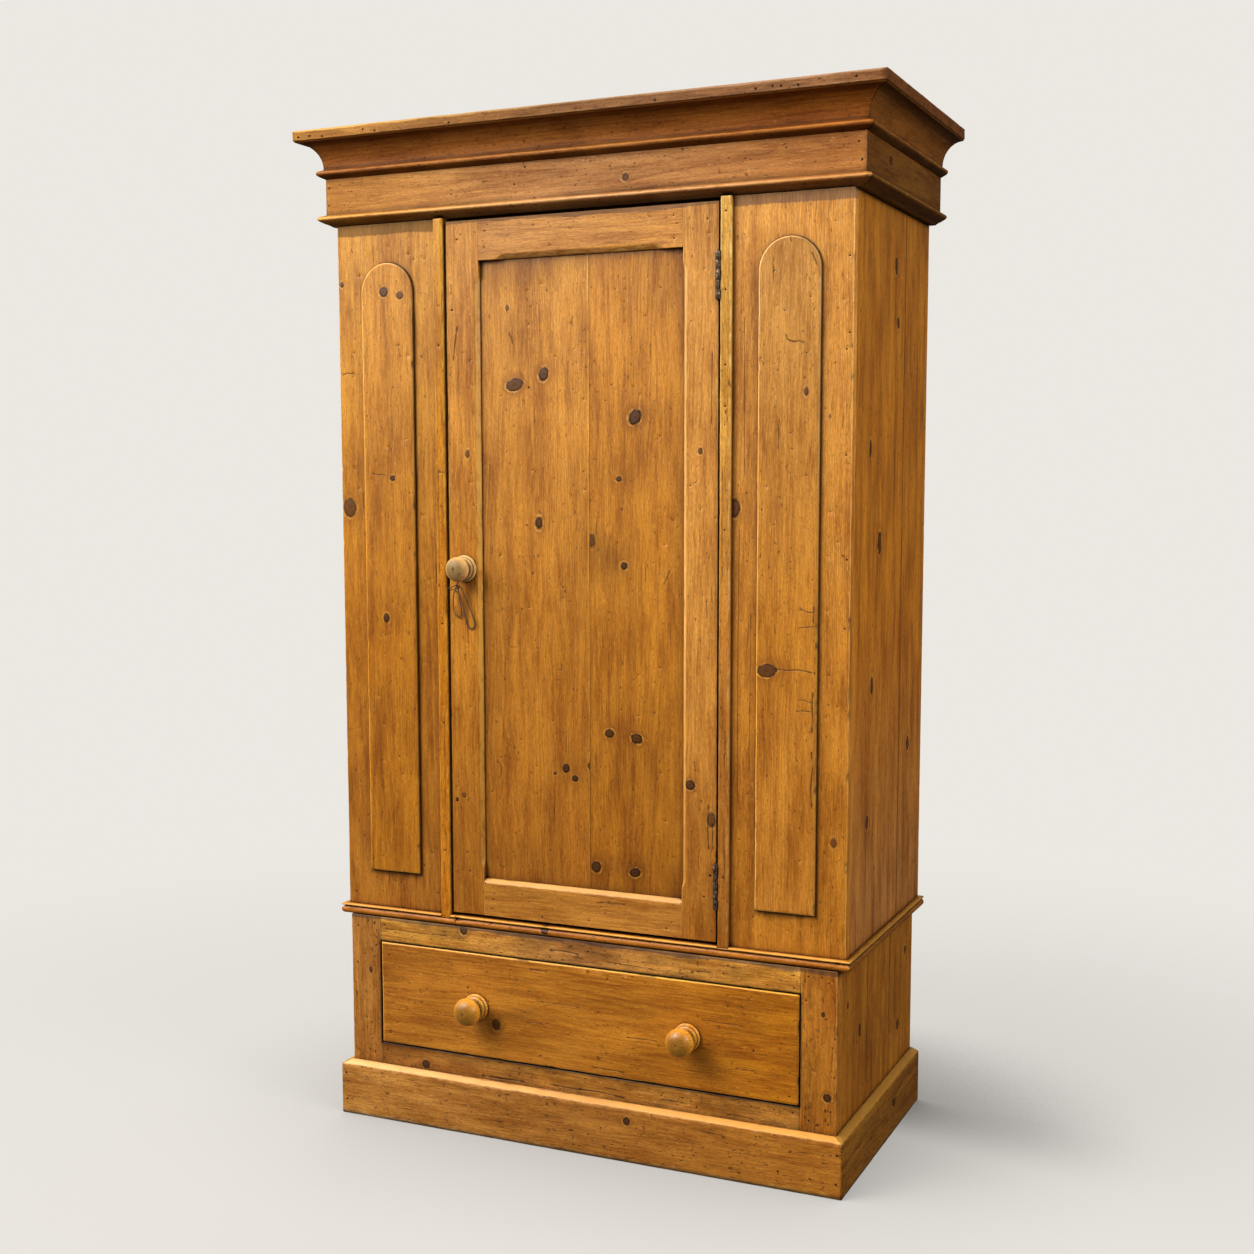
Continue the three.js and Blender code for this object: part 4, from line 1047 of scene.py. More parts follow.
def resample(profile, curved=1.6, straight=7.0):
    """A closed profile with its straight lengths cut up, for a smooth uneven surface."""
    out = []
    k = len(profile)
    for i in range(k):
        a, b = np.array(profile[i], float), np.array(profile[(i + 1) % k], float)
        L = np.linalg.norm(b - a)
        s = straight if L > 6 else curved
        c = max(1, int(round(L / s)))
        for j in range(c):
            out.append(a + (b - a) * j / c)
    return np.array(out)


def round_corners(profile, radii):
    """Rounds profile corners: radii maps a point's index to its radius."""
    out = []
    k = len(profile)
    for i in range(k):
        p = np.array(profile[i], float)
        if i not in radii:
            out.append(tuple(p))
            continue
        rr = radii[i]
        a, b = np.array(profile[i - 1], float), np.array(profile[(i + 1) % k], float)
        da, db = (a - p) / np.linalg.norm(a - p), (b - p) / np.linalg.norm(b - p)
        for t in np.linspace(0, 1, 5):
            q0, q1, q2 = p + da * rr, p, p + db * rr
            out.append(tuple((1 - t) ** 2 * q0 + 2 * t * (1 - t) * q1 + t * t * q2))
    return out


def moulding(
    name, node, body, mat, profile, side, half, front, *, ends=(None, None), step=9.0, wear=0.35, chips=(),
    tint=(1, 1, 1), knots=(), notch=None, pith=(20, -60), band=None, seed=None, hidden=lambda o, z: False, extra_cols=(),
    wear_fn=None, shade=(),
):
    """A mitred run of moulding, worn unevenly along its length. shade lists (z0, z1,
    gain): bands of the profile where gain multiplies the colour, a painted highlight
    where gain is above one and painted shade where it is below. chips are
    (position along, half length, depth, z) hollows knocked out of it."""
    seed = next_seed() if seed is None else seed
    prof = resample(profile)
    k = len(prof)
    tang = np.roll(prof, -1, axis=0) - np.roll(prof, 1, axis=0)
    tang /= np.maximum(np.linalg.norm(tang, axis=1), 1e-9)[:, None]
    nout = np.column_stack([tang[:, 1], -tang[:, 0]])  # the profile runs counter-clockwise in (o, z)
    prev_d = prof - np.roll(prof, 1, axis=0)
    next_d = np.roll(prof, -1, axis=0) - prof
    cross = prev_d[:, 0] * next_d[:, 1] - prev_d[:, 1] * next_d[:, 0]
    ang = np.arctan2(cross, (prev_d * next_d).sum(1))
    convex = np.clip(ang / 0.6, 0, 1)
    hid = np.array([hidden(o, z) for o, z in prof])
    if side == "front":
        s0 = -half if ends[0] is None else ends[0]
        s1 = half if ends[1] is None else ends[1]
    else:
        s0, s1 = front, 526.0
    cols = np.arange(0, 1.0001, 1 / max(2, int((s1 - s0) / step)))
    srun = s0 + (s1 - s0) * cols
    if len(extra_cols):
        more = np.array(extra_cols, float)
        srun = np.unique(np.r_[srun, more[(more > s0) & (more < s1)]])
    V, wv, dv = [], [], []
    for s in srun:
        f = (s - s0) / (s1 - s0)
        if side == "front":
            left = -(half + prof[:, 0]) if ends[0] is None else np.full(k, ends[0])
            right = (half + prof[:, 0]) if ends[1] is None else np.full(k, ends[1])
            # columns stay square in the middle and lean over to the mitres at the ends
            reach = 90.0
            fl = np.clip((s - s0) / reach, 0, 1)
            fr = np.clip((s1 - s) / reach, 0, 1)
            x = s + (left - s0) * (1 - fl) * (ends[0] is None) + (right - s1) * (1 - fr) * (ends[1] is None)
            run_c = x
        else:
            start = -prof[:, 0] + 0.45
            reach = 90.0
            fl = np.clip((s - s0) / reach, 0, 1)
            run_c = s + start * (1 - fl)
        o, z = prof[:, 0].copy(), prof[:, 1].copy()
        q = np.column_stack([run_c / 48.0, z / 30.0 + o / 30.0])
        amt = 0.12 * (0.5 + 0.5 * noise(q, seed)) + wear * convex * (0.35 + 0.65 * noise(q * 2.3, seed + 1).clip(-0.5, 1))
        amt = np.maximum(amt, 0.0)
        for cs, cl, cd, cz in chips:
            amt += cd * np.exp(-(((run_c - cs) / cl) ** 2)) * np.exp(-(((z - cz) / 5.0) ** 2))
        end_fade = 1.0
        amt = np.where(hid, 0.0, amt) * end_fade
        o = o - nout[:, 0] * amt
        z = z - nout[:, 1] * amt
        if notch is not None:
            o, z = notch(run_c, o, z)
        if side == "front":
            V.append(np.column_stack([run_c, front - o, z]))
        elif side == "right":
            V.append(np.column_stack([half + o, run_c, z]))
        else:
            V.append(np.column_stack([-(half + o), run_c, z]))
        w_ = convex * 0.9
        w_ = np.maximum(w_, np.maximum(np.roll(w_, 1), np.roll(w_, -1)) * 0.45)
        if wear_fn is not None:
            w_ = np.maximum(w_, wear_fn(run_c, prof[:, 0], prof[:, 1]))
        wv.append(np.where(hid, 0, w_))
        dv.append(np.zeros(k))
    c = len(srun)
    verts = np.vstack(V)
    faces, sm = [], []
    forward = side in ("front", "left")
    for i in range(c - 1):
        for j in range(k):
            j2 = (j + 1) % k
            a, b, d_, e = i * k + j, i * k + j2, (i + 1) * k + j2, (i + 1) * k + j
            faces.append([a, e, d_, b] if not forward else [a, b, d_, e])
            sm.append(not (hid[j] or hid[j2]))
    faces.append(list(range(k)) if not forward else list(range(k))[::-1])
    faces.append([(c - 1) * k + j for j in range(k)] if forward else [(c - 1) * k + j for j in range(k)][::-1])
    sm += [False, False]
    if signed_volume(verts, faces) < 0:
        faces = [f[::-1] for f in faces]
    if side == "front":
        al, dd = verts[:, 0], verts[:, 1]
    else:
        al, dd = verts[:, 1], np.abs(verts[:, 0])
    ac = verts[:, 2]
    centre = (ac.min() + ac.max()) / 2
    kn, kp = knot_attrs(ac, al, [(q[1], q[0], q[2], q[3], q[4]) for q in knots])
    nv = len(verts)
    bandv = np.full(nv, -50.0) if band is None else band(verts)
    # painted highlight and painted shade across the bands of the profile
    tone = np.ones(nv)
    pz = np.tile(prof[:, 1], c)
    for b0, b1, gain in shade:
        wob = 1 + 0.30 * noise1(al / 46.0, seed + 7) + 0.15 * noise1(al / 13.0, seed + 8)
        tone *= 1 + (gain - 1) * wob * smooth(b0 - 1.0, b0 + 0.6, pz) * smooth(b1 + 1.0, b1 - 0.6, pz)
    return finish_piece(
        name, verts, faces, sm,
        dict(
            wood=np.column_stack([ac - centre, al, dd - dd.min()]), pith=np.tile([pith[0], pith[1], (seed * 0.37) % 7 + 0.3], (nv, 1)),
            kn=kn, kp=kp, fx=np.column_stack([np.concatenate(wv), np.concatenate(dv), bandv]), tint=tint_of(verts, tint) * tone[:, None],
        ),
        mat, node, body,
    )


def turned(name, node, body, mat, profile, x, y, z, *, tint=(1, 1, 1), seg=96, seed=None, check=2.0):
    """A turned knob: profile is (radius, distance out of the face)."""
    seed = next_seed() if seed is None else seed
    pr = []
    p = [np.array(q, float) for q in profile]
    for i in range(len(p) - 1):
        a, b = p[i], p[i + 1]
        L = np.linalg.norm(b - a)
        k = max(1, int(L / 1.0)) if a[1] > 0 or b[1] > 0 else 1
        z0, z3 = p[max(i - 1, 0)], p[min(i + 2, len(p) - 1)]
        for j in range(k):
            t = j / k
            # a soft Catmull-Rom, held close to the straight line
            cr = 0.5 * (
                2 * a + (b - z0) * t + (2 * z0 - 5 * a + 4 * b - z3) * t * t + (3 * a - z0 - 3 * b + z3) * t**3
            )
            q = (cr * 0.8 + (a + (b - a) * t) * 0.2) if a[1] > 0.5 else a + (b - a) * t
            pr.append((max(q[0], 0.0), q[1]))
    pr.append(tuple(p[-1]))
    rows_ = [q for q in pr if q[0] > 1e-6]
    V = []
    top = pr[-1][1]
    ang = np.arange(seg) / seg * 2 * np.pi
    for rr, h in rows_:
        wob = 1 + 0.004 * np.sin(ang * 2 + seed) * (h > 0.5)
        V.append(np.column_stack([x + rr * wob * np.cos(ang), np.full(seg, y - h), z + rr * wob * np.sin(ang)]))
    verts = np.vstack(V + [np.array([[x, y - pr[0][1], z]]), np.array([[x, y - top, z]])])
    faces = []
    R = len(rows_)
    for i in range(R - 1):
        for j in range(seg):
            j2 = (j + 1) % seg
            faces.append([i * seg + j, i * seg + j2, (i + 1) * seg + j2, (i + 1) * seg + j])
    b0, b1 = R * seg, R * seg + 1
    for j in range(seg):
        j2 = (j + 1) % seg
        faces.append([b0, j2, j])
        faces.append([b1, (R - 1) * seg + j, (R - 1) * seg + j2])
    if signed_volume(verts, faces) < 0:
        faces = [f[::-1] for f in faces]
    nv = len(verts)
    h = y - verts[:, 1]
    rr = np.hypot(verts[:, 0] - x, verts[:, 2] - z)
    kn = np.tile([9.0, 0, 1.0], (nv, 1))
    kp = np.tile([5.0, 0, 0], (nv, 1))
    hs = np.array([q[1] for q in rows_])
    rs = np.array([q[0] for q in rows_])
    # the grooves between the rings are darker, the more so the deeper they are
    groove = np.zeros(R)
    for i in range(R):
        lo, hi = max(0, i - 4), min(R, i + 5)
        if hs[i] > 3:
            groove[i] = max(0.0, min(1.0, (max(rs[lo:hi]) - rs[i]) / 4.0))
    gv = np.r_[np.repeat(groove, seg), 0, 0]
    t = tint_of(verts, tint) * (1 - 0.66 * gv)[:, None]
    # a short drying check across the end grain
    cx_, cz_ = verts[:, 0] - x, verts[:, 2] - z
    dark = np.clip(1.35 - np.hypot((cx_ + 0.12 * cz_) / (1.3 + 0.22 * max(check - 2.2, 0.0)), cz_ / check), 0, 1) * (h > top - 4) * 0.95
    return finish_piece(
        name, verts, faces, [True] * len(faces),
        dict(
            wood=np.column_stack([verts[:, 0] - x, h * 1.0, verts[:, 2] - z]), pith=np.tile([14.0, -9.0, (seed * 0.37) % 7 + 0.3], (nv, 1)),
            kn=kn, kp=kp, fx=np.column_stack([np.zeros(nv), dark, np.full(nv, -50.0)]), tint=t,
        ),
        mat, node, body,
    )


def from_cad(name, node, body, mat, *, bevel=0.4, wood_axes=None, tint=(1, 1, 1), segments=2, seed=None):
    """A piece drawn from a copy of the node's mesh, with its arrises eased."""
    import bmesh

    seed = next_seed() if seed is None else seed
    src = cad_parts[node].data
    bm = bmesh.new()
    bm.from_mesh(src)
    bmesh.ops.remove_doubles(bm, verts=bm.verts, dist=1e-6)
    bmesh.ops.dissolve_limit(bm, angle_limit=math.radians(2), verts=bm.verts, edges=bm.edges)
    if bevel:
        sharp = [e for e in bm.edges if len(e.link_faces) == 2 and e.calc_face_angle(0) > math.radians(24)]
        bmesh.ops.bevel(bm, geom=sharp, offset=bevel / 1000, segments=segments, profile=0.5, affect="EDGES", clamp_overlap=True)
    bmesh.ops.triangulate(bm, faces=bm.faces)
    mesh = bpy.data.meshes.new(name)
    bm.to_mesh(mesh)
    bm.free()
    co = np.array([v.co for v in mesh.vertices]) * 1000 + np.array([0, ORIGIN_Y, 0])
    nv = len(co)
    if wood_axes:
        ax = {"x": 0, "y": 1, "z": 2}
        w = np.column_stack([co[:, ax[c]] for c in wood_axes])
        w[:, 0] -= (w[:, 0].min() + w[:, 0].max()) / 2
        set_attr(mesh, "wood", w)
        set_attr(mesh, "pith", np.tile([12.0, -60.0, (seed * 0.37) % 7 + 0.3], (nv, 1)))
        set_attr(mesh, "kn", np.tile([9.0, 0, 1.0], (nv, 1)))
        set_attr(mesh, "kp", np.tile([5.0, 0, 0], (nv, 1)))
        set_attr(mesh, "fx", np.tile([0, 0, -50.0], (nv, 1)))
        set_attr(mesh, "tint", tint_of(co, tint))
    mesh.materials.clear()
    mesh.materials.append(mat)
    obj = bpy.data.objects.new(name, mesh)
    SCENE.collection.objects.link(obj)
    with bpy.context.temp_override(object=obj):
        pass
    mesh.polygons.foreach_set("use_smooth", np.ones(len(mesh.polygons), bool))
    mesh.set_sharp_from_angle(angle=math.radians(35))
    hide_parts(node)
    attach(obj, body)
    return obj


# Colour multipliers for each board, set from its colour in two or three places. Besides the board's own tone they hold
# painted light and shade: their gradients along z and x paint how the light falls across the boards, and the darker
# right-hand pieces and cove are painted shade.
ONE = (1.0, 1.0, 1.0)
TINT_AND_PAINTED_LIGHT = {
    "front_panel_left": ("z", [(480, (0.85, 0.78, 0.67)), (1000, (1.00, 0.91, 0.39)), (1660, (1.19, 1.29, 1.06))]),
    "front_panel_right": ("z", [(480, (1.08, 1.01, 0.70)), (1000, (1.09, 1.03, 0.82)), (1660, (1.42, 1.57, 2.19))]),
    "arched_panel_left": ("z", [(480, (0.95, 0.88, 0.47)), (1000, (0.91, 0.81, 0.30)), (1660, (1.17, 1.25, 1.24))]),
    "arched_panel_right": ("z", [(480, (1.11, 1.07, 1.01)), (1000, (1.09, 1.04, 0.72)), (1660, (1.08, 1.22, 1.89))]),
    "door_strip_left": ("z", [(480, (1.06, 0.91, 0.41)), (1000, (1.03, 0.91, 0.33)), (1660, (1.09, 1.15, 0.47))]),
    "door_strip_right": ("z", [(480, (0.76, 0.68, 0.68)), (1000, (0.94, 0.90, 1.01)), (1660, (1.33, 1.73, 2.20))]),
    "door_stile_left": ("z", [(480, (0.77, 0.69, 0.50)), (1000, (1.20, 1.18, 0.74)), (1660, (1.12, 1.18, 1.34))]),
    "door_stile_right": ("z", [(480, (0.81, 0.72, 0.56)), (1000, (1.26, 1.33, 1.70)), (1660, (1.21, 1.31, 1.81))]),
    "door_panel_left_board": ("z", [(480, (0.90, 0.79, 0.53)), (1000, (0.96, 0.91, 0.59)), (1660, (1.19, 1.27, 1.49))]),
    "door_panel_right_board": ("z", [(480, (0.83, 0.72, 0.37)), (1000, (0.96, 0.89, 0.48)), (1660, (1.18, 1.18, 1.06))]),
    "side_board_right": ("z", [(480, (0.96, 0.94, 1.57)), (1000, (1.10, 0.95, 0.30)), (1660, (0.89, 0.81, 0.30))]),
    "base_post_left": ("z", [(140, (0.96, 0.95, 1.27)), (370, (0.97, 0.98, 1.40))]),
    "base_post_right": ("z", [(140, (0.94, 0.86, 0.62)), (370, (1.14, 1.03, 0.87))]),
    "base_side_right": ("z", [(150, (0.88, 0.78, 0.36)), (370, (0.83, 0.74, 0.30))]),
    "door_rail_top": ("x", [(-150, (0.91, 0.94, 1.30)), (150, (1.21, 1.29, 1.78))]),
    "door_rail_bottom": ("x", [(-150, (1.04, 1.08, 1.22)), (150, (1.06, 1.07, 1.30))]),
    "base_top_rail": ("x", [(-380, (1.52, 1.77, 2.20)), (0, (0.78, 0.79, 1.47)), (380, (1.57, 1.79, 2.20))]),
    "base_lower_rail": ("x", [(-380, (0.67, 0.64, 0.82)), (0, (1.02, 1.12, 1.56)), (380, (0.93, 1.00, 1.31))]),
    "drawer_front": ("x", [(-400, (0.94, 0.86, 0.69)), (0, (1.04, 0.97, 0.70)), (400, (1.04, 0.90, 0.31))]),
    "plinth_front": ("x", [(-470, (1.14, 1.24, 1.99)), (0, (0.86, 0.84, 1.05)), (470, (0.94, 0.87, 0.76))]),
    "frieze_front": ("x", [(-480, (1.20, 1.27, 0.89)), (0, (1.15, 1.33, 1.91)), (480, (1.10, 1.08, 1.09))]),
    # the cove is darker: painted shade under the top board's overhang
    "cornice_cove_front": ("x", [(-480, (0.67, 0.53, 0.35)), (0, (0.69, 0.59, 0.41)), (480, (0.75, 0.56, 0.31))]),
    "cornice_top_board": ("x", [(-500, (1.13, 1.25, 0.76)), (0, (0.57, 0.60, 0.74)), (500, (0.76, 0.86, 1.42)), (574, (0.76, 0.80, 1.20)), (581, (0.76, 0.64, 0.58))]),
    # the right-hand pieces are darker: painted shade on the shaded side
    "frieze_right": (0.37, 0.35, 0.15),
    "cornice_cove_right": (0.44, 0.39, 0.20),
    "plinth_right": (0.58, 0.55, 0.30),
    "waist_right": (0.53, 0.46, 0.19),
    "waist_front": (0.92, 0.76, 0.47),
    "frieze_left": (0.92, 0.88, 0.80),
    "cornice_cove_left": (0.78, 0.68, 0.52),
    "side_board_left": (0.95, 0.90, 0.80),
    "base_side_left": (0.85, 0.80, 0.78),
    "plinth_left": (0.85, 0.82, 0.85),
    "waist_left": (0.70, 0.62, 0.55),
    "inside": ONE,
    "back": ONE,
    "drawer_inside": ONE,
    "door_knob": (1.00, 1.00, 1.00),
    "drawer_knob": (1.20, 1.12, 0.92),
}
# <tints>

# ------------------------------------------------------------ carving a board
def solid_mesh(name, shapes):
    """A mesh of separate convex or prismatic solids: (points in mm, faces)."""
    V, F = [], []
    for pts, faces in shapes:
        b = len(V)
        V += [tuple(q) for q in row(pts)]
        F += [[b + k for k in f] for f in faces]
    mesh = bpy.data.meshes.new(name)
    mesh.from_pydata(V, [], F)
    return mesh


def block(x0, x1, y0, y1, z0, z1):
    pts = [(x, y, z) for x in (x0, x1) for y in (y0, y1) for z in (z0, z1)]
    return pts, [[0, 1, 3, 2], [4, 6, 7, 5], [0, 4, 5, 1], [2, 3, 7, 6], [0, 2, 6, 4], [1, 5, 7, 3]]


def prism_x(poly, x0, x1):
    """A prism along X of a polygon in (y, z), counter-clockwise seen from +X."""
    k = len(poly)
    pts = [(x0, y, z) for y, z in poly] + [(x1, y, z) for y, z in poly]
    faces = [list(range(k))[::-1], [k + i for i in range(k)]]
    faces += [[i, (i + 1) % k, k + (i + 1) % k, k + i] for i in range(k)]
    return pts, faces


def carve(obj, shapes, grain_axes):
    """Takes sinkings out of a board. The cut faces get the board's own grain."""
    mesh = solid_mesh(obj.name + "_cutter", shapes)
    src = obj.data
    n0 = len(src.vertices)
    co = np.empty(n0 * 3, np.float32)
    src.vertices.foreach_get("co", co)
    co = co.reshape(-1, 3).astype(float)
    keep = {}
    for key in ("wood", "pith", "kn", "kp", "fx", "tint"):
        v = np.empty(n0 * 3, np.float32)
        src.attributes[key].data.foreach_get("vector", v)
        keep[key] = v.reshape(-1, 3).astype(float)
    cutter = bpy.data.objects.new(obj.name + "_cutter", mesh)
    SCENE.collection.objects.link(cutter)
    md = obj.modifiers.new("carve", "BOOLEAN")
    md.operation, md.solver, md.object = "DIFFERENCE", "EXACT", cutter
    dg = bpy.context.evaluated_depsgraph_get()
    dg.update()
    new = bpy.data.meshes.new_from_object(obj.evaluated_get(dg))
    obj.modifiers.clear()
    mat = src.materials[0]
    obj.data = new
    new.polygons.foreach_set("material_index", np.zeros(len(new.polygons), np.int32))
    new.materials.clear()
    new.materials.append(mat)
    bpy.data.objects.remove(cutter)
    bpy.data.meshes.remove(mesh)
    bpy.data.meshes.remove(src)
    n1 = len(new.vertices)
    nc = np.empty(n1 * 3, np.float32)
    new.vertices.foreach_get("co", nc)
    nc = nc.reshape(-1, 3).astype(float)
    tree = KDTree(n0)
    for i in range(n0):
        tree.insert(co[i], i)
    tree.balance()
    near, gap = np.zeros(n1, int), np.zeros(n1)
    for i in range(n1):
        _, near[i], gap[i] = tree.find(nc[i])
    made = gap > 5e-5
    ax = [{"x": 0, "y": 1, "z": 2}[c] for c in grain_axes]
    for key, v in keep.items():
        out = v[near]
        if key == "wood":
            # each grain coordinate runs straight along one axis of the frame
            for k in range(3):
                a_, b_ = co[:, ax[k]] * 1000, v[:, k]
                slope = 1.0 if np.corrcoef(a_, b_)[0, 1] > 0 else -1.0
                out[made, k] = slope * nc[made, ax[k]] * 1000 + np.median(b_ - slope * a_)
        elif key == "kn":
            out[made] = (9.0, 0.0, 1.0)
        elif key == "fx":
            out[made] = (0.0, 0.15, -50.0)
        elif key == "tint":
            out[made] *= 0.75
        if key in new.attributes:
            new.attributes.remove(new.attributes[key])
        set_attr(new, key, out)
    return obj


def line_crack(points, width, depth, step=5.0):
    """A crack through the given points, cut up into short lengths."""
    out = []
    for a, b in zip(points[:-1], points[1:]):
        a, b = np.array(a, float), np.array(b, float)
        k = max(1, int(np.linalg.norm(b - a) / step))
        out += [a + (b - a) * j / k for j in range(k)]
    out.append(np.array(points[-1], float))
    return np.array(out), width, depth


def rings_round(poly, offsets, spacing=4.0):
    """Points on rings round a closed outline, at the given distances outside it."""
    poly = np.array(poly, float)
    nxt, prv = np.roll(poly, -1, axis=0), np.roll(poly, 1, axis=0)
    t = nxt - prv
    t /= np.linalg.norm(t, axis=1)[:, None]
    n = np.column_stack([t[:, 1], -t[:, 0]])
    out = []
    for o in offsets:
        ring = poly + n * o
        d = np.r_[0, np.cumsum(np.linalg.norm(np.diff(np.vstack([ring, ring[:1]]), axis=0), axis=1))]
        s = np.arange(0, d[-1], spacing)
        closed = np.vstack([ring, ring[:1]])
        out.append(np.column_stack([np.interp(s, d, closed[:, k]) for k in (0, 1)]))
    return np.vstack(out)


def poly_distance(q, poly):
    """Distance from points to a closed outline."""
    best = np.full(len(q), 1e9)
    m_ = len(poly)
    for i in range(m_):
        a, b = np.array(poly[i], float), np.array(poly[(i + 1) % m_], float)
        ab = b - a
        t = np.clip(((q - a) @ ab) / (ab @ ab), 0, 1)
        best = np.minimum(best, np.linalg.norm(q - a - t[:, None] * ab, axis=1))
    return best


# ------------------------------------------------------------------ the cornice
def catmull(points, per=5):
    p = [np.array(q, float) for q in points]
    p = [2 * p[0] - p[1]] + p + [2 * p[-1] - p[-2]]
    out = []
    for i in range(1, len(p) - 2):
        a, b, c, d = p[i - 1 : i + 3]
        for k in range(per):
            t = k / per
            out.append(tuple(0.5 * (2 * b + (c - a) * t + (2 * a - 5 * b + 4 * c - d) * t * t + (3 * b - a - 3 * c + d) * t**3)))
    out.append(tuple(p[-2]))
    return out


FRIEZE = (
    [(-38, 1771.3), (-9, 1771.3), (-5, 1774.2)]
    + catmull([(2, 1777), (8, 1780.2), (11.6, 1782.6), (12.9, 1784.6), (13, 1786.8), (11.8, 1789), (9, 1790.8), (4, 1792.4), (0.3, 1794)], 3)
    + [(0, 1795.5), (0, 1861), (-18, 1861), (-18, 1790), (-38, 1790)]
)
COVE = (
    [(-18, 1861.3), (0.5, 1861.3)]
    + catmull([(4.5, 1863.4), (9.5, 1866), (12.6, 1868.4), (13.8, 1871), (13.4, 1873.8), (11.4, 1876), (7, 1877.8), (3.2, 1879.4)], 3)
    + [(3 + 39 * (1 - math.cos(t)), 1881.5 + 46.2 * math.sin(t)) for t in np.linspace(0, math.pi / 2, 25)]
    + [(43.5, 1929.6), (14, 1929.6), (-4, 1908), (-18, 1882)]
)


def nose_wear_and_highlight(z0, z1, gain):
    """Pale wear on a moulding's nose between two heights, which also serves as a painted highlight along the nose."""
    return lambda s, o, z: gain * smooth(z0, (z0 + z1) / 2, z) * smooth(z1 + 1.5, (z0 + z1) / 2, z)


for sd in ("front", "left", "right"):
    # the right-hand side's noses are less pale: less painted highlight on the shaded side
    gain = 1.0 if sd != "right" else 0.7
    # shade darkens the undersides and creases of each profile as painted shade, and lightens its noses as painted
    # highlight
    moulding(
        "frieze_" + sd + "_worn", "frieze_" + sd, "carcase", CORNICE, FRIEZE, sd, 537, -5,
        tint=TINT_AND_PAINTED_LIGHT["frieze_" + sd], hidden=lambda o, z: o < -8 or z > 1860.5, wear=0.35,
        wear_fn=nose_wear_and_highlight(1783, 1790, 0.85 * gain), shade=((1771, 1783, 0.62), (1786.5, 1790.5, 1.12), (1793, 1799, 0.60)),
        knots=[(96, 1818, 5.5, 1.0, 0.55)] if sd == "front" else ((150, 1835, 7, 1.1, 0.5),) if sd == "right" else (),
        chips=[(-470, 9, 1.2, 1785), (-300, 5, 1.0, 1784), (130, 6, 1.0, 1787), (410, 8, 1.3, 1785)] if sd == "front" else [(60, 8, 1.4, 1786)],
        extra_cols=np.arange(-530, 530, 4.0) if sd == "front" else (),
    )
    moulding(
        "cornice_cove_" + sd + "_worn", "cornice_cove_" + sd, "carcase", CORNICE, COVE, sd, 537, -5,
        tint=TINT_AND_PAINTED_LIGHT["cornice_cove_" + sd], hidden=lambda o, z: o < 0.2 or z > 1929.2, wear=0.35,
        wear_fn=nose_wear_and_highlight(1870, 1877, 0.8 * gain), shade=((1861, 1869, 0.50), (1873, 1876.5, 1.18), (1879, 1884, 0.62), (1922, 1930, 0.72)), chips=[(-200, 6, 1.0, 1871), (300, 7, 1.2, 1871)],
    )

board(
    "cornice_top_board_worn", "cornice_top_board", "carcase", CORNICE, "top", grain="h", step=14, r=1.3,
    tint=TINT_AND_PAINTED_LIGHT["cornice_top_board"], wear=0.95, wall_rows=5, wall_noise=0.45, back_r=1.2, worms=0.3, dents=1.6, wavy=0.4,
    r_fn=lambda u, v, e, s: (3.2 + 1.6 * float(noise1(s / 60.0, 3)[0]), 0.3) if e == 0 else None,
    knots=[(150, 120, 16, 1.4, 0.8), (-320, 330, 13, 1.3, 0.7), (-60, 420, 11, 1.2, 0.8), (420, 260, 9, 1.2, 0.7)],
    cracks=[line_crack([(-560, 262), (-100, 259), (300, 264), (560, 261)], 1.2, 1.6)],
    # the right-hand end is darker: painted shade on the shaded side
    fade_edge=1.0, marks_and_painted_light=lambda w: 1 - 0.54 * smooth(579.6, 581.2, w[:, 0]),
)

# ------------------------------------------------------------- upper carcase
ARCH_X, ARCH_HALF, ARCH_Z0, ARCH_TOP = 404.0, 56.0, 505.5, 1695.5


def arch_outline(s, grow=0.0, k=30):
    r0 = ARCH_HALF + grow
    zc = ARCH_TOP - ARCH_HALF
    pts = [(s * ARCH_X - r0, ARCH_Z0 - grow), (s * ARCH_X + r0, ARCH_Z0 - grow)]
    pts += [(s * ARCH_X + r0 * math.cos(a), zc + r0 * math.sin(a)) for a in np.linspace(0, math.pi, k)]
    return pts


def unfinished_below(z_edge, drift, seed):
    """Bare wood above a ragged line at z_edge."""
    return lambda w: (w[:, 2] - z_edge) + drift * noise(np.column_stack([w[:, 0] / 60.0, w[:, 1] / 60.0]), seed)


# Painted shade round the raised arched panel, beside the strip, in the corner above the waist and under the frieze.
def arch_painted_shade(s, strip_x):
    outl = arch_outline(s, 0.0, 24)

    def f(w):
        d = poly_distance(w[:, [0, 2]], outl)
        q = 1 - 0.62 * np.exp(-((d / 2.6) ** 2)) - 0.16 * np.exp(-d / 11.0)
        dx = np.abs(w[:, 0] - strip_x)
        q *= 1 - 0.35 * np.exp(-dx / 3.5) - 0.10 * np.exp(-dx / 22.0)
        q *= 1 - 0.22 * np.exp(-(w[:, 2] - 431) / 9.0) - 0.25 * np.exp(-np.maximum(1771 - w[:, 2], 0) / 9.0)
        return q

    return f


def arch_arris_light_and_shade(s):
    """The raised panel's arris gets a painted highlight on the left and over the arch, and painted shade on the right.
    """
    outl = arch_outline(s, 0.0, 24)

    def f(w):
        d = poly_distance(w[:, [0, 2]], outl)
        lit = smooth(34, -20, w[:, 0] - s * ARCH_X) * smooth(508, 514, w[:, 2])
        return 1 + np.exp(-((d / 2.6) ** 2)) * (0.60 * lit - 0.42 * (1 - lit))

    return f


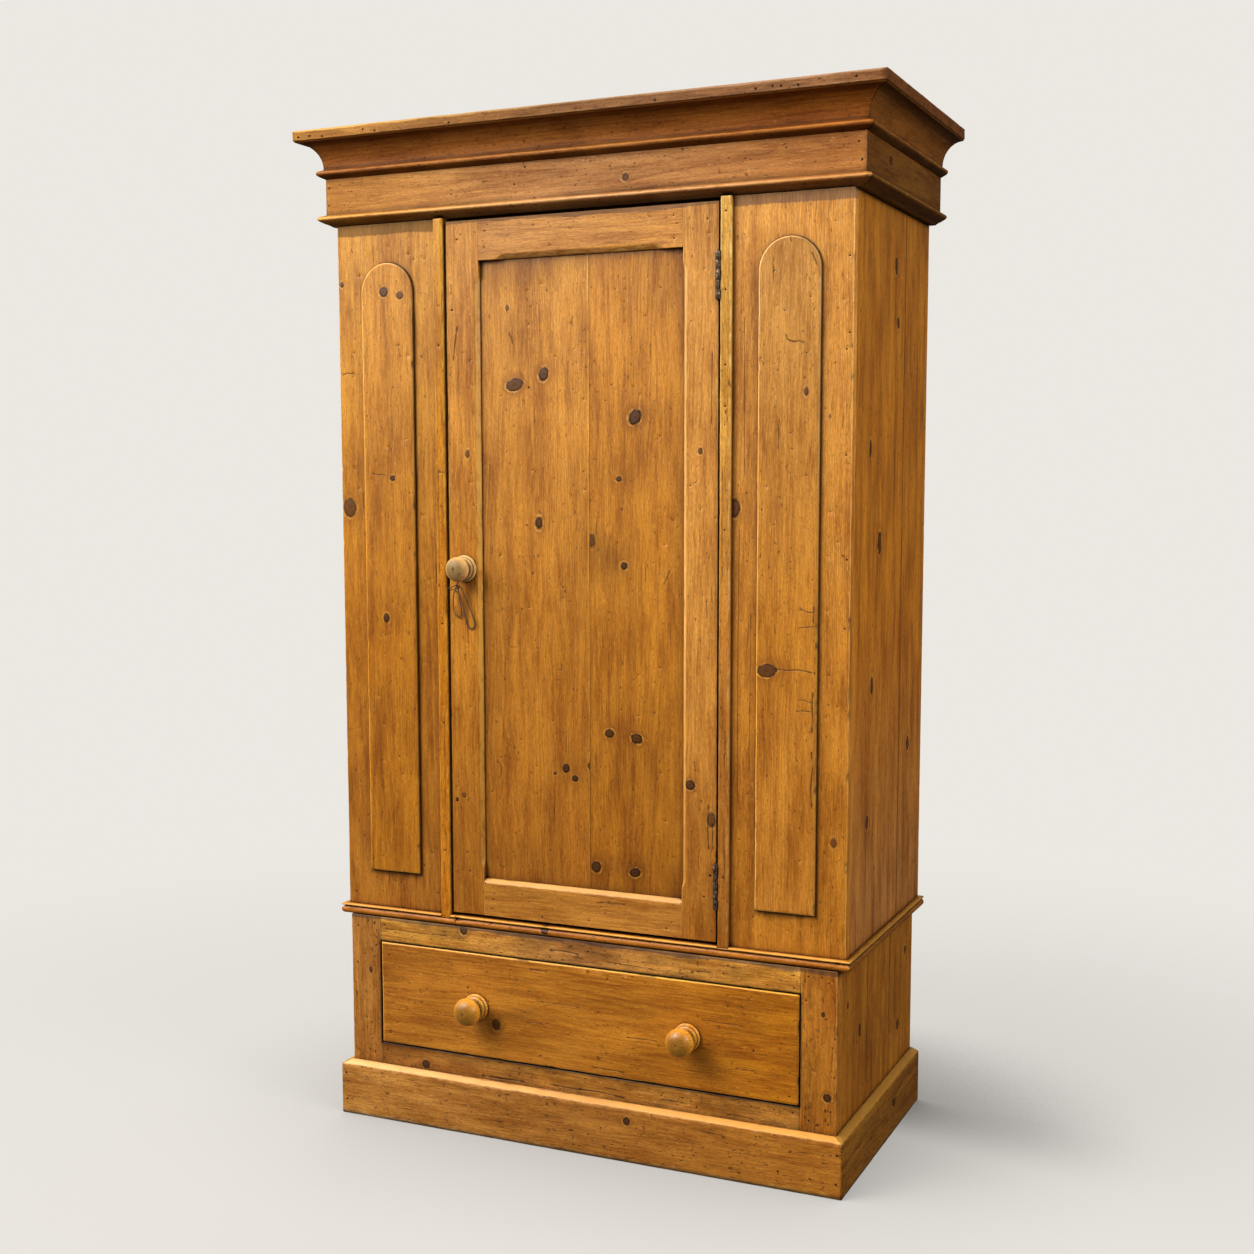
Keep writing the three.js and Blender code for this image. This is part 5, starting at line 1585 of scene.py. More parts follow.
LP_KNOTS = [(-499, 1228, 14.0, 1.25, 0.62), (-508, 1660, 3.5, 1.3, 0.8), (-288, 905, 4, 1.6, 0.7)]
LA_KNOTS = [(-410, 1641, 8.2, 1.0, 0.85), (-374, 1633, 6.4, 1.0, 0.75), (-396, 1285, 4.5, 1.0, 0.85), (-415, 1012, 5.6, 1.3, 0.8)]
RP_KNOTS = [(303, 1229, 10, 1.5, 0.75), (492, 640, 5, 1.5, 0.4)]
RA_KNOTS = [(368, 942, 17.5, 0.66, 0.75, -0.12), (436, 1430, 3.5, 1.8, 0.6)]
for side, s in (("left", -1), ("right", 1)):
    lo, hi = (-516.0, -276.0) if s < 0 else (276.0, 516.0)
    board(
        "front_panel_" + side + "_worn", "front_panel_" + side, "carcase", WAXED, "front", grain="v", step=9, r=1.3,
        tint=TINT_AND_PAINTED_LIGHT["front_panel_" + side], wear=0.85, knots=LP_KNOTS if s < 0 else RP_KNOTS,
        pith=(-60 * s, -55), band=unfinished_below(1750 if s < 0 else 1752, 2.0, 40 + s),
        extra_pts=np.vstack([rings_round(arch_outline(s, 0, 60), (-3.0, -0.8, 0.6, 2.2, 4.5, 9.0), 4.5)]
                            + [np.column_stack([np.full(300, s * (298.5 + o)), np.linspace(436, 1768, 300)]) for o in (-1.5, 0.8, 3.5, 9.0)]),
        extra_clear=lambda q, s=s: (poly_distance(q, arch_outline(s, 0, 24)) > 12.5) & (np.abs(q[:, 0] - s * 298.5) > 12),
        marks_and_painted_light=arch_painted_shade(s, s * 298.5),
        cracks=[line_crack([(-507, 1488), (-500, 1489.5), (-482, 1488)], 1.0, 0.9), line_crack([(-513, 1530), (-506, 1528)], 0.9, 0.7)]
        if s < 0
        else [line_crack([(312, 700), (311, 900), (313, 1190)], 0.6, 0.5), line_crack([(334, 760), (335.5, 1040)], 0.6, 0.45), line_crack([(322, 1290), (320, 1560)], 0.6, 0.45)],
        holes=[(-511, 1290, 1.3, 2.0), (-500, 455, 1.4, 2), (-310, 470, 1.4, 2)] if s < 0 else [(507, 1020, 1.5, 2), (505, 1500, 1.4, 2), (506, 1320, 1.3, 2), (508.5, 1685, 2.7, 2.5), (509.5, 1668, 1.8, 2), (508.5, 1657, 1.5, 2), (509.5, 1545, 2.3, 2.5), (510, 1528, 1.4, 2), (509.5, 1140, 1.6, 2)],
        chip_at=[(508, 1650, 9, 1.8), (512, 1600, 5, 1.4), (512, 1452, 6, 1.6), (512, 1030, 10, 2.2), (512, 905, 14, 2.4), (512, 868, 8, 1.8), (512, 760, 9, 2.0), (512, 596, 10, 2.0)]
        if s > 0 else [(-512, 1395, 8, 1.6), (-512, 905, 7, 1.8)],
    )
    board(
        "arched_panel_" + side + "_worn", "arched_panel_" + side, "carcase", WAXED, "front", grain="v", step=8, r=2.1,
        outline=arch_outline(s), face=7.0, depth=6.9, tint=TINT_AND_PAINTED_LIGHT["arched_panel_" + side], wear=0.8, back_r=0.2, marks_and_painted_light=arch_arris_light_and_shade(s),
        knots=LA_KNOTS if s < 0 else RA_KNOTS, pith=(35 * s, -48),
        cracks=[line_crack([(-440, 1294), (-430, 1291.5), (-414, 1290.5)], 1.0, 0.8), line_crack([(-352, 1330), (-353, 1310), (-351, 1240), (-352.5, 1215)], 0.9, 0.9)]
        if s < 0
        else [
            line_crack([(399, 1527), (401, 1520), (406, 1517), (414, 1515), (422, 1516), (430, 1513)], 1.4, 1.3),
            line_crack([(454, 1056), (452.5, 1030), (455, 1010), (453, 985)], 1.5, 1.5),
            line_crack([(432, 1052), (440, 1048), (453, 1046)], 0.9, 0.8),
            line_crack([(428, 1020), (453, 1022)], 0.8, 0.8),
            line_crack([(454, 905), (452, 880), (455, 860), (452, 838)], 1.7, 1.6),
            line_crack([(424, 872), (438, 873), (453, 871)], 1.0, 0.9),
            line_crack([(430, 893), (444, 890), (452, 888)], 0.8, 0.8),
            line_crack([(452, 800), (454, 770), (451, 735), (453, 700)], 1.3, 1.2),
            line_crack([(384, 946), (402, 943), (424, 945), (450, 942)], 1.1, 0.9),
            line_crack([(352, 690), (366, 688)], 1.0, 0.9),
            line_crack([(352, 655), (362, 657)], 0.9, 0.8),
            line_crack([(446, 1660), (455, 1640), (456, 1600), (457, 1560)], 0.9, 0.8),
            line_crack([(456, 1440), (455, 1410)], 1.4, 1.3),
        ],
        chip_at=[(459, 1018, 9, 2.6), (459, 990, 5, 2.2), (459, 880, 10, 2.8), (459, 850, 5, 2.2), (459, 780, 7, 2.2), (459, 735, 6, 2.4), (459, 520, 8, 1.8), (349, 660, 6, 1.6)]
        if s > 0 else [(-349, 1500, 8, 1.6), (-349, 1236, 12, 1.8), (-349, 1135, 6, 1.6), (-349, 560, 8, 1.5)],
    )
    z0 = 423.8 if s < 0 else 428.8
    board(
        "door_strip_" + side + "_worn", "door_strip_" + side, "carcase", GOLDEN, "front", grain="v", step=6, r=2.0,
        tint=TINT_AND_PAINTED_LIGHT["door_strip_" + side], wear=0.55, dents=1.6, worms=1.6, back_r=0.3,
        holes=[(s * 288.5, z, 1.5, 2.2) for z in ((1752, 1722, 1535, 1296, 1005, 812, 560) if s < 0 else (1745, 1738, 1610, 1480, 1408, 1190, 760, 560))],
        cracks=[line_crack([(s * 288.5 + 3, 520), (s * 288.5 + 3.6, 700), (s * 288.5 + 2.6, 860)], 0.6, 0.5), line_crack([(s * 288.5 - 4, 1100), (s * 288.5 - 4.4, 1300)], 0.6, 0.5)],
        pith=(6, -26), r_fn=lambda u, v, e, k: (4.2, 0.0) if e == 1 else None,
    )

def streaks(t, z, spots):
    """Long soft streaks at the given places across the grain: (place, width, amount, phase)."""
    q = np.ones(len(t))
    for c, w, a, ph in spots:
        wander = c + 3.0 * noise1(z / 210.0, int(ph)) * 2
        q *= 1 - a * np.exp(-(((t - wander) / w) ** 2)) * (0.62 + 0.75 * noise1(z / 130.0, int(ph) + 40))
    return q


# Painted shade in the corner above the waist and under the frieze, a dark line along the joint, and long soft streaks.
def side_streaks_and_shade(w):
    q = 1 - 0.30 * np.exp(-(w[:, 2] - 431) / 9.0) - 0.35 * np.exp(-np.maximum(1771 - w[:, 2], 0) / 16.0)
    q *= 1 - 0.40 * np.exp(-(((w[:, 1] - 350) / 4.0) ** 2))
    return q * streaks(w[:, 1], w[:, 2], ((62, 7, 0.40, 3), (118, 13, 0.28, 5), (176, 6, 0.42, 9), (228, 15, 0.26, 11), (291, 7, 0.34, 14), (398, 9, 0.36, 17), (452, 12, 0.30, 21), (500, 7, 0.34, 25)))


for side, s in (("left", -1), ("right", 1)):
    board(
        "side_board_" + side + "_worn", "side_board_" + side, "carcase", WAXED, side, grain="v", step=10, r=1.1,
        tint=TINT_AND_PAINTED_LIGHT["side_board_" + side], wear=0.7, pith=(-90 if s > 0 else 70, -80),
        knots=[(s * 280, 1668, 8, 1.6, 0.9), (s * 300, 1566, 6.5, 1.4, 0.9), (s * 190, 1162, 10.5, 1.8, 0.95), (s * 120, 1332, 6.5, 2.0, 0.85), (s * 150, 905, 8, 1.8, 0.85), (s * 420, 760, 9, 1.4, 0.8), (s * 130, 655, 8, 1.5, 0.6)],
        cracks=[line_crack([(s * 350, 438), (s * 350.6, 900), (s * 350, 1300), (s * 350.4, 1764)], 2.2, 1.6), line_crack([(s * 205, 440), (s * 206, 700), (s * 204, 860)], 0.7, 0.8)],
        marks_and_painted_light=side_streaks_and_shade,
    )

for name, orient in (("carcase_bottom", "top"), ("carcase_top", "bottom")):
    board(
        name + "_worn", name, "carcase", BARE, orient, grain="h", step=16, r=0.8, tint=TINT_AND_PAINTED_LIGHT["inside"], wear=0.3, worms=0.25,
        knots=[(-260, 180, 11, 1.2, 0.7), (120, 330, 9, 1.3, 0.7), (330, 120, 12, 1.1, 0.6), (-60, 90, 8, 1.2, 0.7)] if orient == "top" else [(200, -150, 12, 1.2, 0.6), (-180, -340, 9, 1.1, 0.6)],
        cracks=[line_crack([(-480, 268), (0, 266), (480, 269)], 1.0, 1.4)] if orient == "top" else [],
    )
for i, name in enumerate(("back_board_left", "back_board_middle", "back_board_right")):
    x0, x1, _, _, z0, z1 = limits(name)
    xm = -(x0 + x1) / 2
    # each board reaches a little past its joint, so no light shows between them
    ua, ub = -x1 - (0.48 if i < 2 else 0), -x0 + (0.48 if i > 0 else 0)
    board(
        name + "_worn", name, "carcase", BARE, "back", grain="v", step=12, r=2.1, tint=TINT_AND_PAINTED_LIGHT["back"], wear=0.35, worms=0.4,
        outline=[(ua, z0), (ub, z0), (ub, z1), (ua, z1)],
        wavy=0.8, dents=1.2, pith=((-60, 40, 85)[i], -60),
        knots=[(xm + dx, z, R, 1.1, dk) for dx, z, R, dk in (
            ((-70, 620, 13, 0.8), (60, 905, 10, 0.8), (-30, 1210, 15, 0.7), (95, 1490, 9, 0.8), (20, 1640, 11, 0.7)),
            ((40, 560, 11, 0.8), (-85, 790, 14, 0.7), (70, 1090, 9, 0.8), (-40, 1380, 12, 0.8), (10, 1700, 8, 0.7)),
            ((90, 700, 12, 0.8), (-60, 980, 9, 0.8), (30, 1290, 14, 0.8), (-95, 1560, 11, 0.7), (75, 1715, 8, 0.6)),
        )[i]],
        holes=[(xm + dx, z, 1.8, 2.0) for dx in (-120, 0, 118) for z in (444, 1760)],
    )


def rod(name, node, body, mat, r, x0, x1, y, z, tint, seed=5):
    """A hand-planed round rail: slightly uneven along its length."""
    seg, k = 40, 61
    V = []
    for i in range(k):
        x = x0 + (x1 - x0) * i / (k - 1)
        a = np.arange(seg) / seg * 2 * np.pi
        fac = 0.985 - 0.012 * (np.cos(a * 9 + 0.4) > 0.7) - 0.006 * noise(np.column_stack([np.full(seg, x / 60.0), a * 1.3]), seed)
        V.append(np.column_stack([np.full(seg, x), y + r * fac * np.cos(a), z + r * fac * np.sin(a)]))
    verts = np.vstack(V)
    faces = [[i * seg + j, (i + 1) * seg + j, (i + 1) * seg + (j + 1) % seg, i * seg + (j + 1) % seg] for i in range(k - 1) for j in range(seg)]
    faces = [f[::-1] for f in faces]
    faces.append(list(range(seg))[::-1])
    faces.append([(k - 1) * seg + j for j in range(seg)])
    if signed_volume(verts, faces) < 0:
        faces = [f[::-1] for f in faces]
    nv = len(verts)
    return finish_piece(
        name, verts, faces, [True] * (len(faces) - 2) + [False, False],
        dict(wood=np.column_stack([verts[:, 2] - z, verts[:, 0], verts[:, 1] - y]), pith=np.tile([3.0, -22.0, 2.2], (nv, 1)),
             kn=np.tile([9.0, 0, 1.0], (nv, 1)), kp=np.tile([5.0, 0, 0], (nv, 1)), fx=np.tile([0, 0, -50.0], (nv, 1)), tint=tint_of(verts, tint)),
        mat, node, body,
    )


rod("hanging_rail_planed", "hanging_rail", "carcase", BARE, 14.0, -493, 493, 262, 1650, TINT_AND_PAINTED_LIGHT["inside"])
for side in ("left", "right"):
    from_cad("rail_socket_" + side + "_eased", "rail_socket_" + side, "carcase", BARE, bevel=1.4, wood_axes="yzx", tint=TINT_AND_PAINTED_LIGHT["inside"])

# ---------------------------------------------------------------------- door
HINGE_Z = (500.0, 1594.0)
STILE_BAND = unfinished_below(1757, 3.0, 61)


def stile_r(u, v, e, s, edge):
    if e != edge:
        return None
    ramp = float(smooth(530.0, 545.0, v) * smooth(1666.0, 1650.0, v))
    return (1.2 + 6.8 * ramp, ramp)


def frame_gloom(w):
    """A multiplier of one everywhere, which leaves the colour as it is."""
    return np.ones(len(w))


stiles = {}
for side, s in (("left", -1), ("right", 1)):
    obj = board(
        "door_stile_" + side + "_worn", "door_stile_" + side, "door", WAXED, "front", grain="v", step=8, r=1.2,
        tint=TINT_AND_PAINTED_LIGHT["door_stile_" + side], wear=0.75, pith=(20 * s, -50), band=STILE_BAND,
        r_fn=(lambda u, v, e, k: stile_r(u, v, e, k, 1)) if s < 0 else (lambda u, v, e, k: stile_r(u, v, e, k, 3)),
        knots=[(-263, 662, 10, 1.5, 0.75), (-248, 672, 5, 1.0, 0.3), (-232, 1330, 4, 1.6, 0.5)]
        if s < 0 else [(222, 725, 8.6, 0.9, 0.9), (264, 664, 7.5, 1.7, 0.55), (240, 1330, 3.5, 1.4, 0.6)],
        cracks=[line_crack([(-251, 1568), (-254, 1552), (-257, 1530), (-260, 1508)], 1.4, 1.3), line_crack([(-236, 1010), (-235, 970)], 0.9, 0.7)]
        if s < 0 else [line_crack([(258, 690), (257, 640), (259, 610)], 1.3, 1.3), line_crack([(266, 655), (267, 612)], 1.1, 1.1), line_crack([(262, 1500), (261, 1380)], 0.7, 0.6)],
        holes=[(-262, 1600, 1.8, 2.4), (-236, 522, 1.5, 2), (-250, 1730, 1.4, 2), (-262, 660, 1.6, 2.4)] if s < 0 else [(250, 520, 1.5, 2), (252, 1735, 1.4, 2), (262, 560, 2.2, 2.4)],
        chip_at=[(-272, 1105, 10, 2.2), (-272, 830, 6, 1.6), (-272, 1400, 7, 1.6)] if s < 0 else [(270, 560, 9, 2.0), (271, 600, 6, 1.8)],
    )
    shapes = [block(*( (-206.5, -192) if s > 0 else (192, 206.5)), 6.2, 15.8, 500, 1698)]
    g0, g1 = (-218.0, -205.5) if s < 0 else (205.5, 218.0)
    shapes = [block(g0, g1, 6.2, 15.8, 500, 1698)]
    if s > 0:
        shapes += [block(271.1, 275, -6, 14.4, z - 0.3, z + 84.3) for z in HINGE_Z]
    carve(obj, shapes, "xzy")
    stiles[side] = obj

board(
    "door_rail_bottom_worn", "door_rail_bottom", "door", WAXED, "front", grain="h", step=8, r=1.0,
    outline=[(-205.99, 437), (205.99, 437), (205.99, 509.5), (-205.99, 509.5)], face=4.0, depth=24.0,
    tint=TINT_AND_PAINTED_LIGHT["door_rail_bottom"], wear=0.9, pith=(10, -60), r_fn=lambda u, v, e, k: (8.0, 1.0) if e == 2 else None,
    holes=[(-189, 451, 1.3, 2), (-186, 470, 1.3, 2), (176, 452, 1.3, 2), (-80, 447, 1.6, 2)],
    cracks=[line_crack([(40, 488), (66, 487), (92, 489)], 0.9, 0.8)],
)
board(
    "door_rail_top_worn", "door_rail_top", "door", WAXED, "front", grain="h", step=8, r=1.0,
    outline=[(-205.99, 1689), (205.99, 1689), (205.99, 1764), (-205.99, 1764)], face=4.0, depth=24.0,
    tint=TINT_AND_PAINTED_LIGHT["door_rail_top"], wear=0.6, pith=(-14, -52), band=STILE_BAND,
    r_fn=lambda u, v, e, k: (1.0 + 7.0 * float(smooth(-170, -154, u) * smooth(170, 154, u)), float(smooth(-170, -154, u) * smooth(170, 154, u))) if e == 0 else None,
    holes=[(-190, 1742, 1.2, 2), (-192, 1712, 1.2, 2), (188, 1745, 1.2, 2), (189, 1705, 1.2, 2)],
)


def panel_stains_light_and_shade(w):
    """Painted shade along the frame, where the panel lies sunk behind the stiles and rails, deepest under the top rail;
    a painted highlight on the worn arris of the boards' joint, with a dark line beside it; and broad soft stains and
    paler patches in the wood, browner in the panel's top corners.
    """
    dx = np.minimum(np.abs(w[:, 0] + 206), np.abs(w[:, 0] - 206))
    dz0, dz1 = np.abs(w[:, 2] - 509.5), np.abs(w[:, 2] - 1689)
    q = 1 - 0.45 * np.exp(-dx / 3.0) - 0.12 * np.exp(-dx / 16.0)
    q *= 1 - 0.30 * np.exp(-dz0 / 9.0) - 0.16 * np.exp(-dz0 / 34.0)
    q *= 1 - 0.45 * np.exp(-dz1 / 7.0) - 0.20 * np.exp(-dz1 / 30.0)
    jn = w[:, 0] - 17.5
    q *= 1 + 0.45 * np.exp(-((jn + 1.5) / 1.8) ** 2) * smooth(700, 1250, w[:, 2]) - 0.30 * np.exp(-((jn - 2.0) / 2.0) ** 2)
    # broad soft stains in the wood
    for cx, cz, rx, rz, a in (
        (55, 1142, 46, 30, 0.26), (25, 1172, 14, 20, 0.25), (-150, 560, 60, 34, 0.18), (-60, 600, 40, 120, 0.10), (120, 1395, 40, 22, 0.12),
        (-140, 1560, 50, 60, 0.10), (150, 1620, 60, 50, 0.12), (-120, 1660, 90, 26, 0.14), (110, 700, 60, 140, 0.10), (-190, 900, 22, 220, 0.10),
        (100, 560, 90, 20, 0.16), (60, 1100, 60, 26, 0.12), (-20, 730, 42, 34, 0.16),
    ):
        d = ((w[:, 0] - cx) / rx) ** 2 + ((w[:, 2] - cz) / rz) ** 2
        q *= 1 - a * np.exp(-d)
    for cx, cz, rx, rz, a in ((-60, 1330, 44, 160, 0.10), (150, 1050, 30, 170, 0.09), (-110, 1030, 40, 150, 0.08), (60, 640, 44, 60, 0.10), (-10, 560, 30, 40, 0.10)):
        d = ((w[:, 0] - cx) / rx) ** 2 + ((w[:, 2] - cz) / rz) ** 2
        q *= 1 + a * np.exp(-d)
    return q


PANEL_KNOTS = [
    (-136, 1458, 17.5, 0.64, 0.85, -0.25), (-75, 1476, 8.6, 1.35, 0.95, 0.35), (109, 1393, 10.5, 1.25, 0.95, 0.6), (77, 1281, 4.6, 0.9, 0.8),
    (-87, 1200, 6.2, 1.5, 0.9), (21, 1168, 7, 1.6, 0.4), (87, 1122, 5.6, 1.0, 0.85), (57, 809, 8.2, 0.85, 0.85), (112, 802, 10.4, 0.8, 0.9, 0.3),
    (-33, 737, 6.8, 1.15, 0.95, 0.4), (-14, 719, 5.4, 0.9, 0.95), (29, 553, 8.6, 1.1, 0.8), (109, 549, 10.2, 0.75, 0.9, -0.2), (-150, 1600, 3.2, 1.5, 0.5),
    (17, 745, 4, 1.4, 0.7), (-56, 726, 2.6, 1.0, 0.8),
]
for name, a0, a1 in (("door_panel_left_board", -300, 17.5), ("door_panel_right_board", 17.5, 300)):
    board(
        name + "_worn", name, "door", WAXED, "front", grain="v", step=7.5, r=0.7,
        tint=TINT_AND_PAINTED_LIGHT[name], wear=0.45, pith=(-45 if a0 < 0 else 60, -66), marks_and_painted_light=panel_stains_light_and_shade,
        knots=[k for k in PANEL_KNOTS if a0 < k[0] < a1],
        cracks=([line_crack([(-146, 1552), (-141, 1543), (-140, 1536)], 1.2, 1.0), line_crack([(-178, 740), (-172, 732), (-170, 720), (-175, 710)], 1.0, 0.9)]
                if a0 < 0 else [line_crack([(19.8, 1560), (20.4, 1400), (19.6, 1220)], 0.7, 0.6), line_crack([(166, 1090), (172, 1100), (176, 1112)], 1.0, 0.8)]),
        extra_pts=np.vstack([np.column_stack([np.full(400, c), np.linspace(505, 1694, 400)]) for c in ((-204, -201, -196, 15, 12) if a0 < 0 else (204, 201, 196, 20, 23))]),
        holes=[(-106, 1452, 1.9, 1.6)] if a0 < 0 else [(62, 1452, 1.3, 1.2)],
        extra_clear=lambda q: (np.abs(np.abs(q[:, 0]) - 200) > 7) & (np.abs(q[:, 0] - 17.5) > 9),
    )

KNOB_PROFILE = [
    (25, 0.1), (25.6, 1.6), (25.4, 4.6), (23.6, 6.6), (20.6, 7.6), (21.4, 9.2), (20.8, 11.4), (17, 13.2), (13, 14.4), (12.4, 16.2), (14, 18.2),
    (18.6, 20.8), (22, 25), (23.4, 30), (22.8, 35.4), (19.8, 41), (14.6, 45), (8, 47), (3, 47.4), (0, 46.8),
]
DRAWER_PROFILE = [
    (25.6, 0.1), (26.4, 1.8), (26.2, 4.8), (24.4, 6.8), (21.6, 7.8), (22.6, 9.6), (22, 12), (18, 14.2), (13.8, 16), (12.8, 19), (14.4, 22),
    (19.4, 25), (24.2, 30), (26.8, 36.6), (26.6, 43), (23.4, 50), (17.4, 55.4), (9.6, 58.4), (3.4, 58.95), (0, 58.2),
]
turned("door_knob_turned", "door_knob", "door", TURNED_PALE, KNOB_PROFILE, KNOB_X, DOOR_FRONT_Y, KNOB_Z, tint=TINT_AND_PAINTED_LIGHT["door_knob"], check=5.0)

# -------------------------------------------------------------------- hinges
for place in ("lower", "upper"):
    for part, body in (("frame_leaf", "carcase"), ("door_leaf", "door"), ("pin", "carcase")):
        nm = "hinge_" + place + "_" + part
        from_cad(nm + "_eased", nm, body, IRON, bevel=0.3)


def screws(name, body, spots, radius=3.4):
    """Countersunk slotted screw heads, each with its slot cut in: (x, y, z, nx, ny, turn)."""
    V, F = [], []
    for x, y, z, nx, ny, turn in spots:
        n = np.array([nx, ny, 0.0])
        u = np.array([-ny, nx, 0.0])
        w = np.array([0, 0, 1.0])
        b = len(V)
        c = np.array([x, y, z])
        seg = 24
        cs, sn = math.cos(turn), math.sin(turn)
        # rings: outer rim, crown; the slot is a strip of lower points across the middle
        rr = [(radius, 0.0), (radius * 0.96, 0.22), (radius * 0.55, 0.30), (0.0, 0.32)]
        for r_, h in rr[:3]:
            for j in range(seg):
                a = 2 * math.pi * j / seg
                p, q = r_ * math.cos(a), r_ * math.sin(a)
                slot = abs(q) < 0.62
                hh = h - (0.75 if slot and r_ < radius * 0.99 else 0.0)
                V.append(c + u * (p * cs - q * sn) + w * (p * sn + q * cs) + n * hh)
        V.append(c + n * (0.32 - 0.75))
        for k in range(2):
            for j in range(seg):
                j2 = (j + 1) % seg
                F.append([b + k * seg + j, b + k * seg + j2, b + (k + 1) * seg + j2, b + (k + 1) * seg + j])
        for j in range(seg):
            F.append([b + 2 * seg + j, b + 2 * seg + (j + 1) % seg, b + 3 * seg])
        # underside cone
        t = len(V)
        V.append(c - n * 2.2)
        for j in range(seg):
            F.append([b + (j + 1) % seg, b + j, t])
    mesh = bpy.data.meshes.new(name)
    mesh.from_pydata(row(np.array(V)).tolist(), [], F)
    mesh.materials.append(IRON)
    obj = bpy.data.objects.new(name, mesh)
    SCENE.collection.objects.link(obj)
    mesh.set_sharp_from_angle(angle=math.radians(30))
    mesh.polygons.foreach_set("use_smooth", np.ones(len(mesh.polygons), bool))
    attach(obj, body)
    return obj


for i, z in enumerate(HINGE_Z):
    place = "lower" if i == 0 else "upper"
    screws("screws_" + place + "_door_leaf", "door", [(273.28, yy, z + zz, 1, 0, t) for yy, zz, t in ((6, 14, 0.5), (2.5, 42, 1.2), (6, 70, 2.4))], 2.9)
    screws("screws_" + place + "_frame_leaf", "carcase", [(276.12, yy, z + zz, -1, 0, t) for yy, zz, t in ((7, 14, 0.9), (3.5, 42, 2.0), (7, 70, 0.2))], 2.9)

def nail_heads(name, body, spots, radius=2.1):
    """Small dark nail heads, a little proud and domed: (x, y, z, nx, ny)."""
    V, F = [], []
    seg = 14
    for x, y, z, nx, ny in spots:
        n, u, w = np.array([nx, ny, 0.0]), np.array([-ny, nx, 0.0]), np.array([0, 0, 1.0])
        c, b = np.array([x, y, z]), len(V)
        for r_, h in ((radius * 0.9, -1.6), (radius, 0.10), (radius * 0.6, 0.32)):
            V += [c + u * (r_ * math.cos(2 * math.pi * j / seg)) + w * (r_ * math.sin(2 * math.pi * j / seg)) + n * h for j in range(seg)]
        V += [c + n * 0.36, c - n * 1.6]
        for k in range(2):
            for j in range(seg):
                j2 = (j + 1) % seg
                F.append([b + k * seg + j, b + k * seg + j2, b + (k + 1) * seg + j2, b + (k + 1) * seg + j])
        for j in range(seg):
            j2 = (j + 1) % seg
            F.append([b + 2 * seg + j, b + 2 * seg + j2, b + 3 * seg])
            F.append([b + j2, b + j, b + 3 * seg + 1])
    verts = np.array(V)
    if signed_volume(verts, F) < 0:
        F = [f[::-1] for f in F]
    mesh = bpy.data.meshes.new(name)
    mesh.from_pydata(row(verts).tolist(), [], F)
    mesh.materials.append(NAIL_IRON)
    obj = bpy.data.objects.new(name, mesh)
    SCENE.collection.objects.link(obj)
    mesh.set_sharp_from_angle(angle=math.radians(40))
    mesh.polygons.foreach_set("use_smooth", np.ones(len(mesh.polygons), bool))
    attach(obj, body)
    return obj


nail_heads("nails_cornice_slab", "carcase", [(x, -50.2, z, 0, -1) for x, z in (
    (-569, 1937.1), (-544, 1937.4), (-515, 1934.6), (-424, 1939.2), (-398, 1935.0), (-239, 1935.0), (171, 1936.0), (355, 1937.5), (385, 1938.4), (400, 1937.4), (430, 1936.5), (530, 1940.4))], 2.0)
nail_heads("nails_frieze", "carcase", [(x, -5.15, z, 0, -1) for x, z in ((523, 1843.8), (529, 1813.6), (-530, 1845.0), (-531, 1812), (-105, 1851.8), (-127, 1822.0))], 1.9)
nail_heads("nails_plinth", "carcase", [(x, -30.15, z, 0, -1) for x, z in ((512, 28), (514, 82), (-512, 30), (-513, 84), (404, 34), (-60, 88))]
           + [(523.15, y, z, 1, 0) for y, z in ((-14, 40), (-12, 78), (498, 52))], 2.0)

# -------------------------------------------------------------- waist moulding
WAIST = (
    [(-33, 411.05), (3.5, 411.05)]
    + [(5 + 7.3 * math.cos(a), 418.4 + 7.3 * math.sin(a)) for a in np.radians(np.linspace(-85, 78, 17))]
    + [(6.6, 426.0), (8.8, 426.7), (11.4, 427.2), (12.2, 428.3), (12.1, 430.0), (11.0, 430.95), (-33, 430.95)]
)
# painted shade under the bead and in the quirk above it, and a painted highlight on the top fillet
WAIST_SHADE = ((411, 413.6, 0.72), (425.0, 426.4, 0.72), (428, 431, 1.22))


def strip_notch(x0, x1, z_from):
    def f(s, o, z):
        inside_ = (s > x0) & (s < x1) & (z > z_from) & (o > -0.2)
        return np.where(inside_, -0.2, o), z
    return f


cols = list(np.arange(-515, 515, 4.0)) + [-298.9, -298.7, -278.3, -278.1, 278.1, 278.3, 298.7, 298.9]
moulding(
    "waist_moulding_front_left_worn", "waist_moulding_front_left", "carcase", GOLDEN, WAIST, "front", 516, 0,
    ends=(None, limits("waist_moulding_front_left")[1]), tint=TINT_AND_PAINTED_LIGHT["waist_front"], hidden=lambda o, z: o < 1.5, wear=0.35, wear_fn=nose_wear_and_highlight(426, 431, 0.9), shade=WAIST_SHADE,
    notch=strip_notch(-298.8, -278.2, 423.8), extra_cols=[c for c in cols if c < -267], chips=[(-505, 6, 1.8, 420), (-400, 5, 0.8, 426)],
)
moulding(
    "waist_moulding_front_worn", "waist_moulding_front", "carcase", GOLDEN, WAIST, "front", 516, 0,
    ends=(-266.0, None), tint=TINT_AND_PAINTED_LIGHT["waist_front"], hidden=lambda o, z: o < 1.5, wear=0.35, wear_fn=nose_wear_and_highlight(426, 431, 0.9), shade=WAIST_SHADE,
    notch=strip_notch(278.2, 298.8, 428.8), extra_cols=[c for c in cols if c > -265], 
    knots=[(-72, 423, 6.5, 1.0, 0.9)], chips=[(-262, 5, 2.6, 424), (-72, 10, 1.2, 430), (330, 8, 1.0, 421), (505, 5, 1.2, 424)],
)
